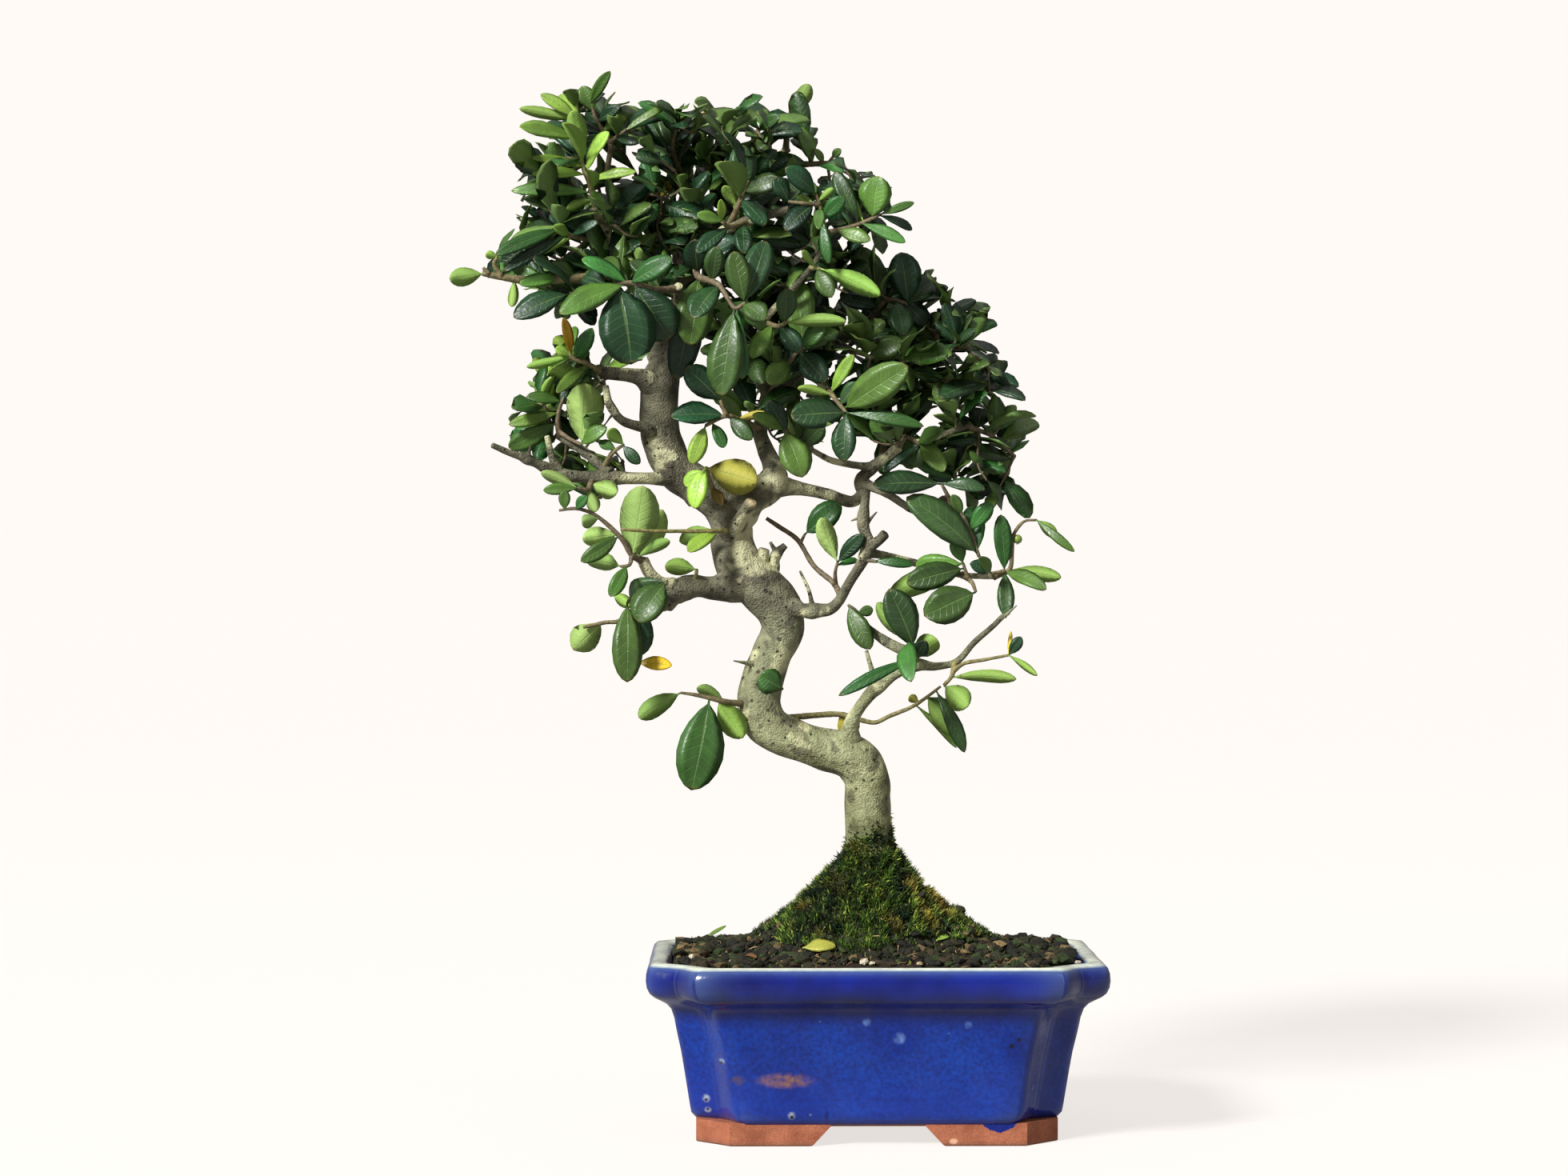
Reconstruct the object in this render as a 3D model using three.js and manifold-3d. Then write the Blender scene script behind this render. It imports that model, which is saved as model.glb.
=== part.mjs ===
// Pyracantha bonsai in a blue glazed pot. Millimetres, +Z up, the front of the tree faces -Y.
// The tree is modelled round the middle of the pot, then the whole is moved so that the origin
// lies under the middle of its box, on the surface that it stands on.
import * as THREE from "three";
import { mergeVertices } from "three/addons/utils/BufferGeometryUtils.js";
import Module from "manifold-3d";

const wasm = await Module();
wasm.setup();

// Driving dimensions of the pot
const POT_WIDTH = 200;
const POT_DEPTH = 150;
const POT_HEIGHT = 78.5;
const FOOT_HEIGHT = 8.5;
const FOOT_INSET = 21.5;
const FOOT_WALL = 15;
const FOOT_SUNK = 1.5;
const GAP_MARGIN = 0.02;
const FRONT_GAP = { top: 41, floor: 57 };
const SIDE_GAP = { top: 30, floor: 46 };
const FLOOR_TOP = 14;
const DRAIN_RADIUS = 9;
const DRAIN_SPREAD = 42;
const MESH_SIDE = 36;
const MESH_THICKNESS = 1.2;
const MESH_HOLE = 6;
const CAVITY_CORNER = 30;

// Driving dimensions of the soil, the moss and the tree
const CLEARANCE = 0.3;
const SOIL_EDGE = 76.5;
const MOUND = { centre: [-2, 0], height: 45, reach: 34, power: 1.5, squash: 1.2 };
const MOSS_RADIUS = 50;
const MOSS_DEPTH = 4.5;
const MOSS_COLLAR = { height: 5, reach: 15 };
const MOSS_EDGE = 0.8;
const WALL_GAP = 1.3 * CLEARANCE;
const KEEL_DEPTH = 0.7;
const STALK_BREADTH = 0.6;
const FOLD = 0.16;
const BOW = 0.07;

// Colours, read off the photograph
const GLAZE = { color: 0x1e41a5, roughness: 0.15, metalness: 0 };
const SOIL = { color: 0x2c2119, roughness: 0.95, metalness: 0 };
const MOSS = { color: 0x2f4218, roughness: 0.95, metalness: 0 };
const DRAIN_MESH = { color: 0x1c1c1c, roughness: 0.6, metalness: 0 };
const BARK = { color: 0x7d7d64, roughness: 0.8, metalness: 0 };
const LEAF = { color: 0x2f5a2c, roughness: 0.4, metalness: 0 };

// Places on the tree are sighted from the front, as [across, down, depth]: across and down are
// counted in pixels of the photograph's 1960 x 1470 frame, depth in mm behind the pot's middle.
const FRAME_CENTRE = [980, 735];
const FOCAL_LENGTH = 4392;
const EYE = [-56, -1563, 240];
const EYE_TURN = 0.01024;

// Wood: [name, sides, [across, down, depth, radius in mm], ...]. All of it grew as one piece.
const WOOD = [
  ["trunk", 8, [
    [1088, 1195, 0, 13], [1088, 1120, 0, 13], [1087, 1080, 0, 11.8], [1086, 1045, 0, 10.3],
    [1084, 1000, 0, 10], [1082, 970, 0, 10.2], [1066, 948, -2, 10.2], [1030, 937, -3, 9],
    [995, 925, -3, 9], [962, 909, -2, 9.6], [949, 882, 0, 9.6], [953, 850, 1, 9.2], [964, 818, 2, 9],
    [978, 788, 1, 9.3], [974, 760, 0, 10.6], [953, 735, -1, 11], [929, 712, -1, 11], [917, 682, 0, 10],
    [914, 655, 1, 9.2], [900, 628, 2, 9], [870, 606, 3, 9], [842, 583, 3, 9], [828, 548, 2, 9],
    [824, 510, 1, 8.7], [826, 475, 0, 8.3], [834, 450, 3, 6.5], [845, 405, 8, 5], [856, 350, 8, 4],
  ]],
  ["shoulder", 5, [[1072, 950, -2, 7], [1084, 934, -3, 5.2]]],
  ["branch_low_left", 5, [
    [925, 728, -3, 6.5], [895, 735, -6, 4.7], [868, 733, -10, 4.2], [843, 742, -14, 3.8],
    [833, 757, -17, 3.0],
  ]],
  ["stub_low_left", 4, [
    [850, 737, -12, 3], [825, 728, -18, 2.8], [812, 716, -20, 2.7], [804, 701, -21, 2.6],
  ]],
  ["branch_left", 5, [
    [872, 616, 0, 5], [850, 601, -6, 3.2], [800, 598, -12, 2.6], [750, 597, -17, 2.5],
    [700, 594, -22, 2.3], [681, 587, -25, 2.0],
  ]],
  ["snag_left", 4, [
    [700, 593, -22, 2.0], [657, 573, -30, 1.7], [637, 566, -34, 1.5], [616, 557, -38, 1.2],
  ]],
  ["branch_left_up", 4, [[762, 592, -16, 2.3], [728, 563, -12, 2.0], [698, 545, -8, 1.6]]],
  ["branch_left_up_2", 4, [[699, 592, -22, 1.9], [690, 571, -25, 1.6], [684, 546, -28, 1.2]]],
  ["cut_stub", 4, [[912, 668, -5, 4], [926, 648, -13, 2.9], [939, 628, -19, 2.7]]],
  ["snag_1", 4, [[950, 706, -2, 2.6], [955, 687, -3, 2.0]]],
  ["snag_2", 4, [[965, 712, 0, 2.4], [970, 694, -2, 1.8], [981, 682, -2, 1.4]]],
  ["snag_3", 4, [[971, 692, -2, 1.2], [963, 678, -3, 0.7]]],
  ["branch_right", 4, [
    [982, 757, -4, 3.6], [1005, 763, -9, 2.8], [1035, 762, -12, 2.5], [1048, 752, -13, 2.3],
    [1063, 726, -14, 2.2], [1079, 700, -14, 2.1], [1085, 678, -14, 2.1], [1079, 655, -14, 2.0],
    [1083, 613, -13, 1.8],
  ]],
  ["knob_right", 4, [[1084, 684, -14, 2.1], [1098, 676, -16, 2.0], [1106, 668, -18, 2.2]]],
  ["twig_right_bare", 4, [[1016, 760, -10, 1.1], [1011, 738, -12, 0.9], [1000, 714, -13, 0.6]]],
  ["branch_low_right", 5, [
    [1060, 940, -4, 4.6], [1065, 902, -8, 3.0], [1082, 875, -12, 2.5], [1100, 856, -15, 2.3],
    [1123, 840, -18, 2.2], [1146, 831, -20, 2.1], [1170, 833, -22, 1.7], [1196, 827, -24, 1.5],
    [1217, 804, -26, 1.3], [1240, 784, -28, 1.1], [1255, 769, -29, 0.8],
  ]],
  ["branch_low_right_up", 4, [
    [1143, 831, -20, 2.1], [1133, 816, -18, 2.4], [1111, 804, -16, 2.3], [1091, 790, -14, 1.8],
    [1074, 773, -12, 1.0],
  ]],
  ["stub_low_right", 4, [[1098, 858, -15, 1.7], [1090, 838, -17, 1.2], [1083, 814, -18, 0.9]]],
  ["snag_dark", 4, [
    [820, 543, -2, 2.6], [806, 535, -8, 2.3], [778, 526, -14, 2.0], [762, 506, -18, 1.8],
    [757, 483, -18, 1.4],
  ]],
  ["fork_left", 5, [[822, 484, -2, 5], [800, 472, -7, 3.3], [775, 468, -10, 2.9], [752, 466, -12, 2.5]]],
  ["crown_front", 4, [
    [856, 350, 8, 3.8], [875, 315, -4, 3.2], [903, 290, -16, 2.7], [938, 275, -25, 2.3],
    [985, 262, -31, 1.8],
  ]],
  ["crown_left", 5, [
    [832, 455, 4, 5], [812, 405, 7, 3.7], [792, 355, 4, 3.2], [771, 312, -2, 2.8], [750, 278, -9, 2.4],
    [742, 262, -14, 2.0],
  ]],
  ["crown_up", 4, [
    [856, 352, 8, 3.8], [862, 290, 26, 3.0], [868, 240, 39, 2.5], [882, 195, 45, 2.0],
    [888, 178, 47, 1.7],
  ]],
  ["crown_up_right", 4, [
    [859, 320, 17, 3.0], [915, 252, 26, 2.6], [950, 215, 35, 2.1], [985, 186, 37, 1.7],
  ]],
  ["crown_back", 4, [[848, 395, 8, 4], [850, 360, 38, 2.9], [846, 300, 60, 2.3], [850, 255, 68, 1.7]]],
  ["crown_back_left", 4, [
    [826, 440, 6, 3.5], [798, 408, 34, 2.8], [765, 370, 56, 2.2], [748, 335, 64, 1.6],
  ]],
  ["crown_forward", 4, [[846, 400, 6, 3.6], [848, 378, -22, 2.6], [848, 358, -34, 2.0]]],
  ["right_limb", 5, [
    [908, 655, 0, 7], [938, 626, -3, 5.6], [963, 606, -4, 5.0], [968, 588, -1, 4.1], [957, 562, 5, 3.6],
    [950, 538, 8, 3.2], [964, 500, 15, 2.9], [1000, 460, 22, 2.6], [1040, 430, 27, 2.3],
    [1085, 405, 29, 2.0], [1118, 386, 30, 1.6],
  ]],
  ["right_limb_low", 5, [
    [960, 606, -4, 4.6], [1002, 611, 2, 2.9], [1035, 618, 4, 2.6], [1064, 627, 5, 2.5],
    [1078, 617, 5, 2.3], [1077, 600, 5, 2.2], [1090, 585, 4, 2.0], [1123, 559, 1, 1.6],
  ]],
  ["right_limb_cross", 4, [[1092, 585, 4, 1.7], [1041, 576, -6, 1.5], [1014, 562, -11, 1.2]]],
  ["right_limb_mid", 4, [[998, 462, 21, 2.2], [1020, 474, -8, 1.8], [1036, 488, -24, 1.3]]],
  ["right_diagonal", 4, [
    [962, 505, 15, 2.4], [946, 450, 0, 2.0], [957, 400, -20, 1.6], [988, 365, -26, 1.4],
    [1017, 330, -30, 1.2], [1032, 300, -32, 1.1], [1030, 282, -34, 1.0],
  ]],
  ["right_far", 4, [[1112, 390, 30, 1.7], [1160, 402, 20, 1.5], [1195, 428, 11, 1.2]]],
  ["right_far_low", 4, [[1120, 561, 1, 1.7], [1170, 546, -1, 1.5], [1212, 532, 3, 1.2]]],
  ["right_back", 4, [[1040, 430, 27, 2.3], [1060, 424, 60, 1.8], [1082, 432, 74, 1.4]]],
  ["right_reach", 4, [
    [1077, 603, 5, 2.2], [1110, 618, -6, 1.8], [1150, 640, -14, 1.6], [1180, 622, -18, 1.2],
  ]],
  ["right_edge_limb", 4, [
    [1083, 690, -14, 2.0], [1130, 700, -2, 1.7], [1199, 718, -8, 1.4], [1244, 721, -13, 1.2],
  ]],
  ["thorn_1", 3, [[660, 575, -30, 1.2], [663, 557, -32, 0.3]]],
  ["thorn_2", 3, [[1082, 655, -13, 1.0], [1096, 640, -15, 0.3]]],
  ["thorn_3", 3, [[1080, 645, -14, 1.0], [1064, 651, -15, 0.3]]],
  ["thorn_4", 3, [[946, 831, -2, 1.4], [917, 826, -12, 0.3]]],
  ["thorn_5", 3, [[1255, 771, -29, 0.8], [1271, 757, -30, 0.3]]],
];

// Sprays: [name, twigs, leaves, more]. A twig is a list of points like those of the wood.
// A leaf is [base across, base down, tip across, tip down, breadth, side that shows (1 is the
// upper), tone, how far its tip lies behind its base]. More is [count, shortest, longest, tone]
// of the leaves that the rule below adds, in mm.
const SPRAYS = [
  ["shoot_upper_left", [
    [
      [744, 272, -12, 1.6], [739, 235, -16, 1.4], [728, 205, -18, 1.2], [723, 175, -19, 1.0],
      [724, 150, -20, 0.7],
    ],
  ], [
    [723, 200, 716, 138, 25, -1, "young", -8], [712, 145, 649, 136, 15, -1, "young", -4],
    [722, 141, 675, 116, 17, 1, "young", -6], [700, 178, 651, 163, 27, 1, "young", -8],
    [719, 199, 684, 148, 24, 1, "dark", 2], [727, 221, 665, 218, 16, 1, "young", -8],
    [716, 246, 639, 239, 19, 1, "mid", -6], [706, 218, 666, 201, 13, 1, "young", -4],
    [745, 223, 796, 215, 15, 1, "young", -8], [738, 250, 708, 262, 13, -1, "young", -8],
    [730, 240, 756, 262, 14, 1, "mid", -10], [724, 180, 752, 170, 12, 1, "mid", 6],
  ], [5, 14, 24, "young"]],
  ["top_left", [
    [
      [757, 289, -4, 1.6], [766, 250, -3, 1.5], [760, 215, -4, 1.4], [763, 178, -4, 1.2],
      [748, 155, -6, 1.0], [738, 130, -8, 0.7],
    ],
    [[763, 178, -4, 1.1], [776, 168, -8, 0.8], [783, 162, -10, 0.6]],
  ], [
    [750, 166, 782, 147, 20, -1, "young", -4], [740, 156, 776, 137, 18, 1, "dark", 2],
    [732, 145, 727, 108, 22, 1, "dark", -2], [738, 128, 764, 93, 15, 1, "olive", -4],
    [779, 168, 833, 133, 12, 1, "olive", -2], [742, 140, 705, 128, 16, 1, "dark", 2],
    [740, 135, 752, 112, 16, 1, "dark", 4], [768, 172, 800, 178, 15, 1, "dark", -8],
  ], [4, 14, 24, "dark"]],
  ["left_upper", [
    [[772, 318, -2, 1.6], [742, 302, -10, 1.3], [712, 294, -16, 1.1], [699, 282, -18, 0.8]],
  ], [
    [697, 278, 638, 303, 22, -1, "olive", -6], [700, 290, 621, 322, 20, 1, "mid", -4],
    [705, 300, 630, 341, 17, 1, "dark", -6], [712, 318, 668, 318, 12, -1, "young", -4],
    [706, 303, 692, 285, 15, 1, "young", -6], [700, 284, 690, 266, 16, 1, "dark", 2],
    [715, 295, 748, 278, 18, 1, "dark", -8],
  ], [5, 16, 28, "dark"]],
  ["far_left", [
    [
      [782, 342, 2, 2.3], [740, 346, -8, 2.0], [690, 350, -14, 1.9], [650, 350, -18, 1.8],
      [625, 346, -20, 1.6], [603, 342, -21, 1.2],
    ],
    [[628, 346, -20, 1.2], [618, 331, -21, 1.0], [622, 321, -22, 0.7]],
    [[612, 343, -21, 1.0], [604, 335, -22, 0.8]],
  ], [
    [603, 352, 562, 349, 24, -1, "young", -4], [643, 352, 640, 384, 14, -1, "young", -4],
    [621, 318, 607, 318, 11, -1, "young", -2], [698, 347, 650, 357, 19, 1, "mid", -6],
    [680, 350, 640, 335, 18, 1, "mid", 2], [720, 346, 690, 330, 20, 1, "dark", -2],
  ], [5, 14, 26, "mid"]],
  ["left_front", [
    [
      [848, 366, -33, 1.8], [815, 362, -40, 1.5], [790, 354, -43, 1.2], [768, 356, -45, 1.0],
      [740, 360, -43, 0.9], [712, 367, -41, 0.7],
    ],
  ], [
    [773, 359, 789, 456, 73, 1, "dark", -4], [790, 362, 838, 424, 58, 1, "dark", 4],
    [783, 353, 700, 394, 34, 1, "mid", -8], [708, 368, 642, 397, 33, 1, "dark", -4],
    [784, 350, 727, 324, 26, 1, "mid", -4], [787, 348, 841, 323, 28, 1, "mid", -8],
    [770, 352, 760, 318, 24, 1, "dark", 4],
  ], [4, 16, 28, "dark"]],
  ["front_middle", [
    [
      [870, 322, -5, 2.0], [872, 345, -31, 1.6], [898, 356, -43, 1.3], [918, 385, -49, 1.0],
      [932, 378, -51, 0.8],
    ],
  ], [
    [870, 346, 862, 432, 48, 1, "dark", -6], [862, 372, 844, 474, 40, 1, "dark", 2],
    [919, 389, 901, 496, 45, 1, "dark", -2], [925, 390, 928, 474, 34, 1, "mid", 8],
    [930, 378, 917, 314, 32, 1, "dark", -4], [934, 376, 958, 300, 36, 1, "dark", 2],
    [930, 384, 957, 400, 30, 1, "dark", -6], [890, 352, 896, 308, 26, 1, "dark", -8],
  ], [4, 16, 28, "dark"]],
  ["top_middle_left", [
    [[866, 258, 33, 1.6], [850, 215, 19, 1.3], [841, 185, 10, 1.0], [846, 160, 6, 0.7]],
  ], [
    [822, 232, 803, 262, 17, 1, "yellow", -4], [843, 178, 866, 160, 14, 1, "dark", -4],
    [848, 168, 830, 142, 14, 1, "dark", -2],
  ], [5, 16, 28, "dark"]],
  ["top_middle", [
    [[887, 183, 48, 1.5], [893, 162, 38, 1.2], [904, 147, 30, 0.8]],
  ], [
    [903, 172, 880, 136, 17, 1, "yellow", -4], [868, 158, 880, 129, 10, 1, "olive", -2],
    [898, 158, 925, 140, 15, 1, "mid", -6],
  ], [5, 16, 26, "dark"]],
  ["top_round", [
    [[928, 238, 27, 1.6], [936, 198, 11, 1.3], [945, 168, 2, 1.0], [954, 152, 0, 0.7]],
  ], [
    [948, 162, 975, 145, 20, 1, "mid", -10], [945, 160, 918, 140, 20, 1, "mid", -10],
    [950, 158, 956, 132, 20, 1, "olive", -6],
  ], [5, 16, 26, "mid"]],
  ["top_right", [
    [[984, 190, 36, 1.5], [984, 166, 29, 1.3], [988, 149, 26, 1.1], [993, 138, 25, 0.6]],
  ], [
    [994, 137, 1012, 105, 22, -1, "young", -2], [988, 165, 1012, 172, 16, 1, "mid", -6],
  ], []],
  ["right_stub", [
    [[955, 212, 32, 1.7], [1000, 206, 26, 1.5], [1053, 204, 20, 1.3]],
    [[1036, 204, 22, 0.8], [1041, 196, 21, 0.6]],
  ], [
    [1040, 198, 1051, 186, 11, 1, "mid", -2], [1030, 203, 1018, 186, 11, 1, "young", -2],
    [1010, 205, 968, 196, 16, 1, "dark", -6], [1016, 205, 998, 159, 26, 1, "mid", -6],
  ], []],
  ["inner_left", [
    [[864, 276, 27, 1.6], [835, 252, 40, 1.3], [805, 236, 48, 0.9]],
    [[835, 252, 40, 1.2], [812, 290, 30, 1.0], [790, 318, 22, 0.8]],
    [[805, 236, 48, 0.9], [790, 210, 32, 0.9], [778, 188, 20, 0.7]],
  ], [
  ], [11, 16, 28, "dark"]],
  ["centre_top", [
    [[905, 286, -20, 1.7], [924, 255, -28, 1.3], [935, 225, -32, 0.8]],
  ], [
    [937, 277, 918, 208, 9, -1, "young", -2], [926, 262, 905, 232, 17, -1, "young", -6],
    [928, 250, 957, 282, 26, 1, "dark", -6], [930, 240, 975, 225, 28, 1, "dark", -8],
  ], [4, 20, 30, "dark"]],
  ["centre_knobs", [
    [[930, 277, -27, 1.5], [912, 284, -35, 1.2], [902, 276, -39, 0.9]],
  ], [
    [903, 278, 871, 268, 16, 1, "mid", -4], [900, 274, 901, 252, 11, 1, "young", -2],
    [912, 284, 870, 316, 22, 1, "dark", -8], [940, 276, 930, 318, 24, 1, "dark", -10],
  ], []],
  ["right_sprig", [
    [[1030, 286, -36, 1.0], [1026, 262, -36, 0.9], [1020, 243, -36, 0.7]],
    [[1024, 256, -36, 0.9], [1005, 254, -40, 0.8], [985, 252, -40, 0.7]],
  ], [
    [985, 253, 968, 222, 24, 1, "dark", -4], [987, 252, 1003, 222, 24, 1, "dark", -2],
    [1018, 255, 981, 288, 27, 1, "dark", -6], [1020, 240, 981, 212, 28, 1, "dark", -6],
    [1030, 298, 1036, 330, 15, 1, "mid", -4], [1018, 252, 995, 241, 9, -1, "young", -4],
    [1027, 250, 1042, 235, 10, -1, "young", -2], [1030, 280, 1055, 246, 21, 1, "mid", -6],
    [1024, 262, 1022, 290, 15, 1, "mid", -8], [1020, 246, 1014, 226, 12, 1, "olive", -2],
  ], []],
  ["right_out", [
    [[1033, 292, -35, 1.1], [1058, 285, -34, 1.0], [1084, 276, -34, 0.9], [1100, 268, -34, 0.7]],
  ], [
    [1090, 272, 1098, 220, 41, 1, "mid", -2], [1070, 268, 1044, 212, 23, 1, "dark", -2],
    [1101, 263, 1143, 253, 11, 1, "olive", -2], [1102, 276, 1142, 284, 13, 1, "dark", -2],
    [1078, 284, 1132, 303, 17, 1, "mid", -6], [1045, 287, 1088, 301, 20, 1, "dark", -8],
    [1076, 266, 1052, 226, 13, -1, "young", -6], [1090, 270, 1110, 244, 18, 1, "dark", 4],
  ], []],
  ["right_middle", [
    [[1085, 408, 26, 1.6], [1096, 388, 12, 1.3], [1112, 374, 6, 1.0], [1135, 380, 2, 0.8]],
  ], [
    [1111, 371, 1067, 309, 37, 1, "dark", -4], [1138, 378, 1126, 315, 43, 1, "dark", -4],
    [1118, 385, 1130, 420, 34, 1, "dark", -10], [1135, 382, 1165, 350, 34, 1, "dark", 2],
    [1100, 385, 1050, 372, 24, 1, "dark", -8], [1128, 384, 1160, 405, 28, 1, "dark", -8],
  ], [4, 16, 28, "dark"]],
  ["diagonal_leaf", [
    [[1014, 336, -30, 1.0], [1026, 336, -34, 0.7]],
  ], [
    [1032, 336, 1101, 369, 25, -1, "young", -4], [1020, 334, 1003, 314, 10, -1, "young", -4],
    [1018, 338, 1040, 372, 24, 1, "dark", -6],
  ], []],
  ["centre_right", [
    [[958, 408, -20, 1.4], [974, 408, -30, 1.1], [984, 402, -34, 0.8]],
  ], [
    [980, 402, 1058, 402, 18, -1, "young", -4], [976, 410, 1000, 440, 26, 1, "dark", -6],
    [965, 410, 940, 448, 24, 1, "olive", -8], [978, 402, 985, 360, 26, 1, "dark", -4],
  ], []],
  ["mass_upper", [
    [[1003, 460, 18, 1.6], [1020, 425, 36, 1.3], [1040, 396, 48, 0.9]],
  ], [
    [1035, 402, 1010, 352, 24, 1, "dark", -6], [1040, 396, 1075, 372, 26, 1, "dark", -4],
  ], [4, 22, 34, "dark"]],
  ["mass_right", [
    [[1050, 428, 23, 1.5], [1066, 438, 5, 1.2], [1088, 446, -5, 0.9]],
  ], [
    [1085, 445, 1130, 428, 30, 1, "dark", -6], [1080, 448, 1095, 495, 32, 1, "dark", -8],
  ], [4, 22, 34, "dark"]],
  ["mass_centre", [
    [[962, 496, 13, 1.7], [975, 470, -7, 1.4], [992, 446, -19, 1.0], [1005, 432, -23, 0.8]],
  ], [
    [1000, 440, 1032, 478, 34, 1, "dark", -8], [990, 452, 960, 480, 30, 1, "dark", -8],
    [1002, 434, 1030, 410, 24, 1, "mid", -6],
  ], [5, 22, 34, "dark"]],
  ["mass_far", [
    [[1100, 577, 3, 1.6], [1110, 535, 18, 1.3], [1114, 490, 30, 1.0], [1124, 460, 38, 0.7]],
  ], [
    [1122, 500, 1148, 470, 26, 1, "dark", -8], [1118, 510, 1098, 540, 28, 1, "dark", -10],
  ], [4, 22, 34, "dark"]],
  ["mass_low", [
    [[1037, 486, -24, 1.3], [1045, 500, -34, 1.1], [1058, 516, -40, 0.8]],
  ], [
    [1041, 493, 997, 485, 13, -1, "young", -4], [1041, 489, 1067, 443, 17, 1, "young", -6],
    [1048, 508, 1073, 478, 20, 1, "dark", -4], [1058, 508, 1134, 459, 45, 1, "dark", -8],
    [1056, 524, 988, 520, 41, 1, "dark", -8], [1070, 535, 1055, 577, 31, 1, "dark", -4],
    [1062, 525, 1155, 533, 17, 1, "mid", -6],
  ], []],
  ["under_right", [
    [[1013, 564, -14, 1.3], [992, 548, -20, 1.1], [979, 537, -24, 0.8]],
  ], [
    [980, 538, 1003, 597, 41, 1, "dark", -6], [985, 540, 960, 500, 26, 1, "dark", -4],
    [1005, 556, 1030, 530, 26, 1, "dark", -8], [978, 536, 940, 520, 18, 1, "olive", -6],
  ], []],
  ["under_right_2", [
    [[1124, 556, -2, 1.3], [1133, 546, -12, 1.0], [1150, 556, -18, 0.7]],
  ], [
    [1134, 546, 1149, 584, 31, 1, "dark", -6], [1140, 576, 1105, 590, 13, 1, "dark", -2],
    [1150, 556, 1180, 590, 26, 1, "dark", -8], [1148, 552, 1178, 540, 22, 1, "mid", -6],
  ], []],
  ["right_hanging", [
    [[1180, 620, -20, 1.3], [1200, 640, -22, 1.1], [1214, 668, -22, 1.0], [1224, 696, -22, 0.8]],
    [[1192, 632, -21, 1.0], [1184, 618, -24, 0.9], [1177, 605, -26, 0.7]],
  ], [
    [1174, 603, 1091, 606, 33, 1, "dark", -6], [1222, 694, 1133, 621, 43, 1, "dark", -8],
    [1226, 690, 1215, 632, 30, 1, "mid", 4], [1178, 601, 1232, 612, 19, 1, "dark", -4],
    [1212, 640, 1190, 618, 15, 1, "dark", -4], [1214, 662, 1240, 628, 22, 1, "mid", -2],
  ], []],
  ["right_edge", [
    [
      [1240, 721, -15, 1.4], [1262, 712, -15, 1.1], [1265, 690, -16, 1.0], [1267, 669, -16, 0.9],
      [1280, 652, -16, 0.7], [1296, 650, -15, 0.5],
    ],
    [[1256, 714, -15, 0.9], [1244, 716, -17, 0.8], [1238, 716, -18, 0.6]],
  ], [
    [1258, 720, 1251, 643, 24, 1, "mid", -6], [1257, 716, 1258, 771, 22, 1, "dark", -8],
    [1284, 717, 1327, 722, 20, -1, "young", -4], [1262, 728, 1306, 737, 22, 1, "olive", -6],
    [1296, 652, 1322, 672, 16, -1, "young", -2], [1312, 654, 1341, 690, 12, 1, "olive", 2],
    [1226, 727, 1212, 705, 18, 1, "dark", -4], [1238, 716, 1221, 697, 17, 1, "dark", -6],
  ], []],
  ["low_right_upper", [
    [[1200, 716, -12, 1.4], [1215, 728, -20, 1.0], [1220, 740, -22, 0.7]],
    [[1211, 725, -17, 1.0], [1207, 714, -18, 0.8], [1204, 704, -18, 0.7]],
  ], [
    [1221, 741, 1155, 770, 47, 1, "dark", -8], [1200, 712, 1133, 729, 35, 1, "dark", -6],
    [1205, 695, 1145, 708, 28, 1, "mid", 4], [1160, 706, 1110, 745, 32, -1, "young", 8],
    [1204, 700, 1192, 672, 20, 1, "mid", 4],
  ], []],
  ["low_right_middle", [
    [[1146, 826, -23, 1.5], [1143, 812, -26, 1.2], [1136, 800, -26, 0.8]],
  ], [
    [1143, 811, 1111, 736, 43, 1, "dark", -4], [1128, 806, 1096, 753, 24, -1, "young", 6],
    [1142, 838, 1155, 800, 22, 1, "dark", -6], [1137, 801, 1138, 852, 27, 1, "mid", -12],
    [1152, 836, 1170, 798, 32, -1, "young", 8], [1126, 838, 1048, 870, 16, 1, "mid", -6],
  ], []],
  ["low_right_inner", [
    [[1080, 779, -13, 1.2], [1070, 764, -14, 0.9], [1060, 756, -14, 0.6]],
  ], [
    [1058, 757, 1088, 812, 28, 1, "dark", -6], [1072, 768, 1092, 762, 14, 1, "dark", -4],
  ], []],
  ["low_right_end", [
    [[1193, 831, -27, 1.3], [1190, 845, -28, 1.0], [1180, 857, -28, 0.8]],
    [[1192, 838, -28, 1.0], [1206, 829, -29, 0.9], [1229, 825, -29, 0.8], [1261, 819, -29, 0.6]],
  ], [
    [1190, 848, 1271, 849, 18, -1, "young", -2], [1177, 860, 1210, 884, 33, -1, "young", -4],
    [1270, 818, 1277, 796, 15, 1, "dark", -2], [1262, 821, 1297, 845, 10, -1, "young", -2],
    [1265, 800, 1266, 789, 6, -1, "yellow", 0],
  ], []],
  ["twig_behind", [
    [
      [980, 893, 8, 1.5], [1020, 894, 11, 1.4], [1050, 893, 13, 1.3], [1080, 901, 13, 1.1],
      [1095, 903, 13, 1.0], [1112, 895, 13, 1.0], [1137, 885, 12, 0.9], [1155, 874, 11, 0.8],
      [1176, 858, 10, 0.6],
    ],
  ], [
    [1162, 876, 1193, 918, 26, -1, "young", -2], [1149, 889, 1197, 936, 10, -1, "young", -2],
    [1180, 876, 1206, 941, 20, 1, "dark", -4], [1049, 894, 1070, 918, 30, -1, "yellow", 2],
    [1150, 880, 1136, 871, 12, -1, "yellow", -2], [1160, 872, 1190, 890, 24, 1, "mid", 4],
  ], []],
  ["twig_dark", [
    [
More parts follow.
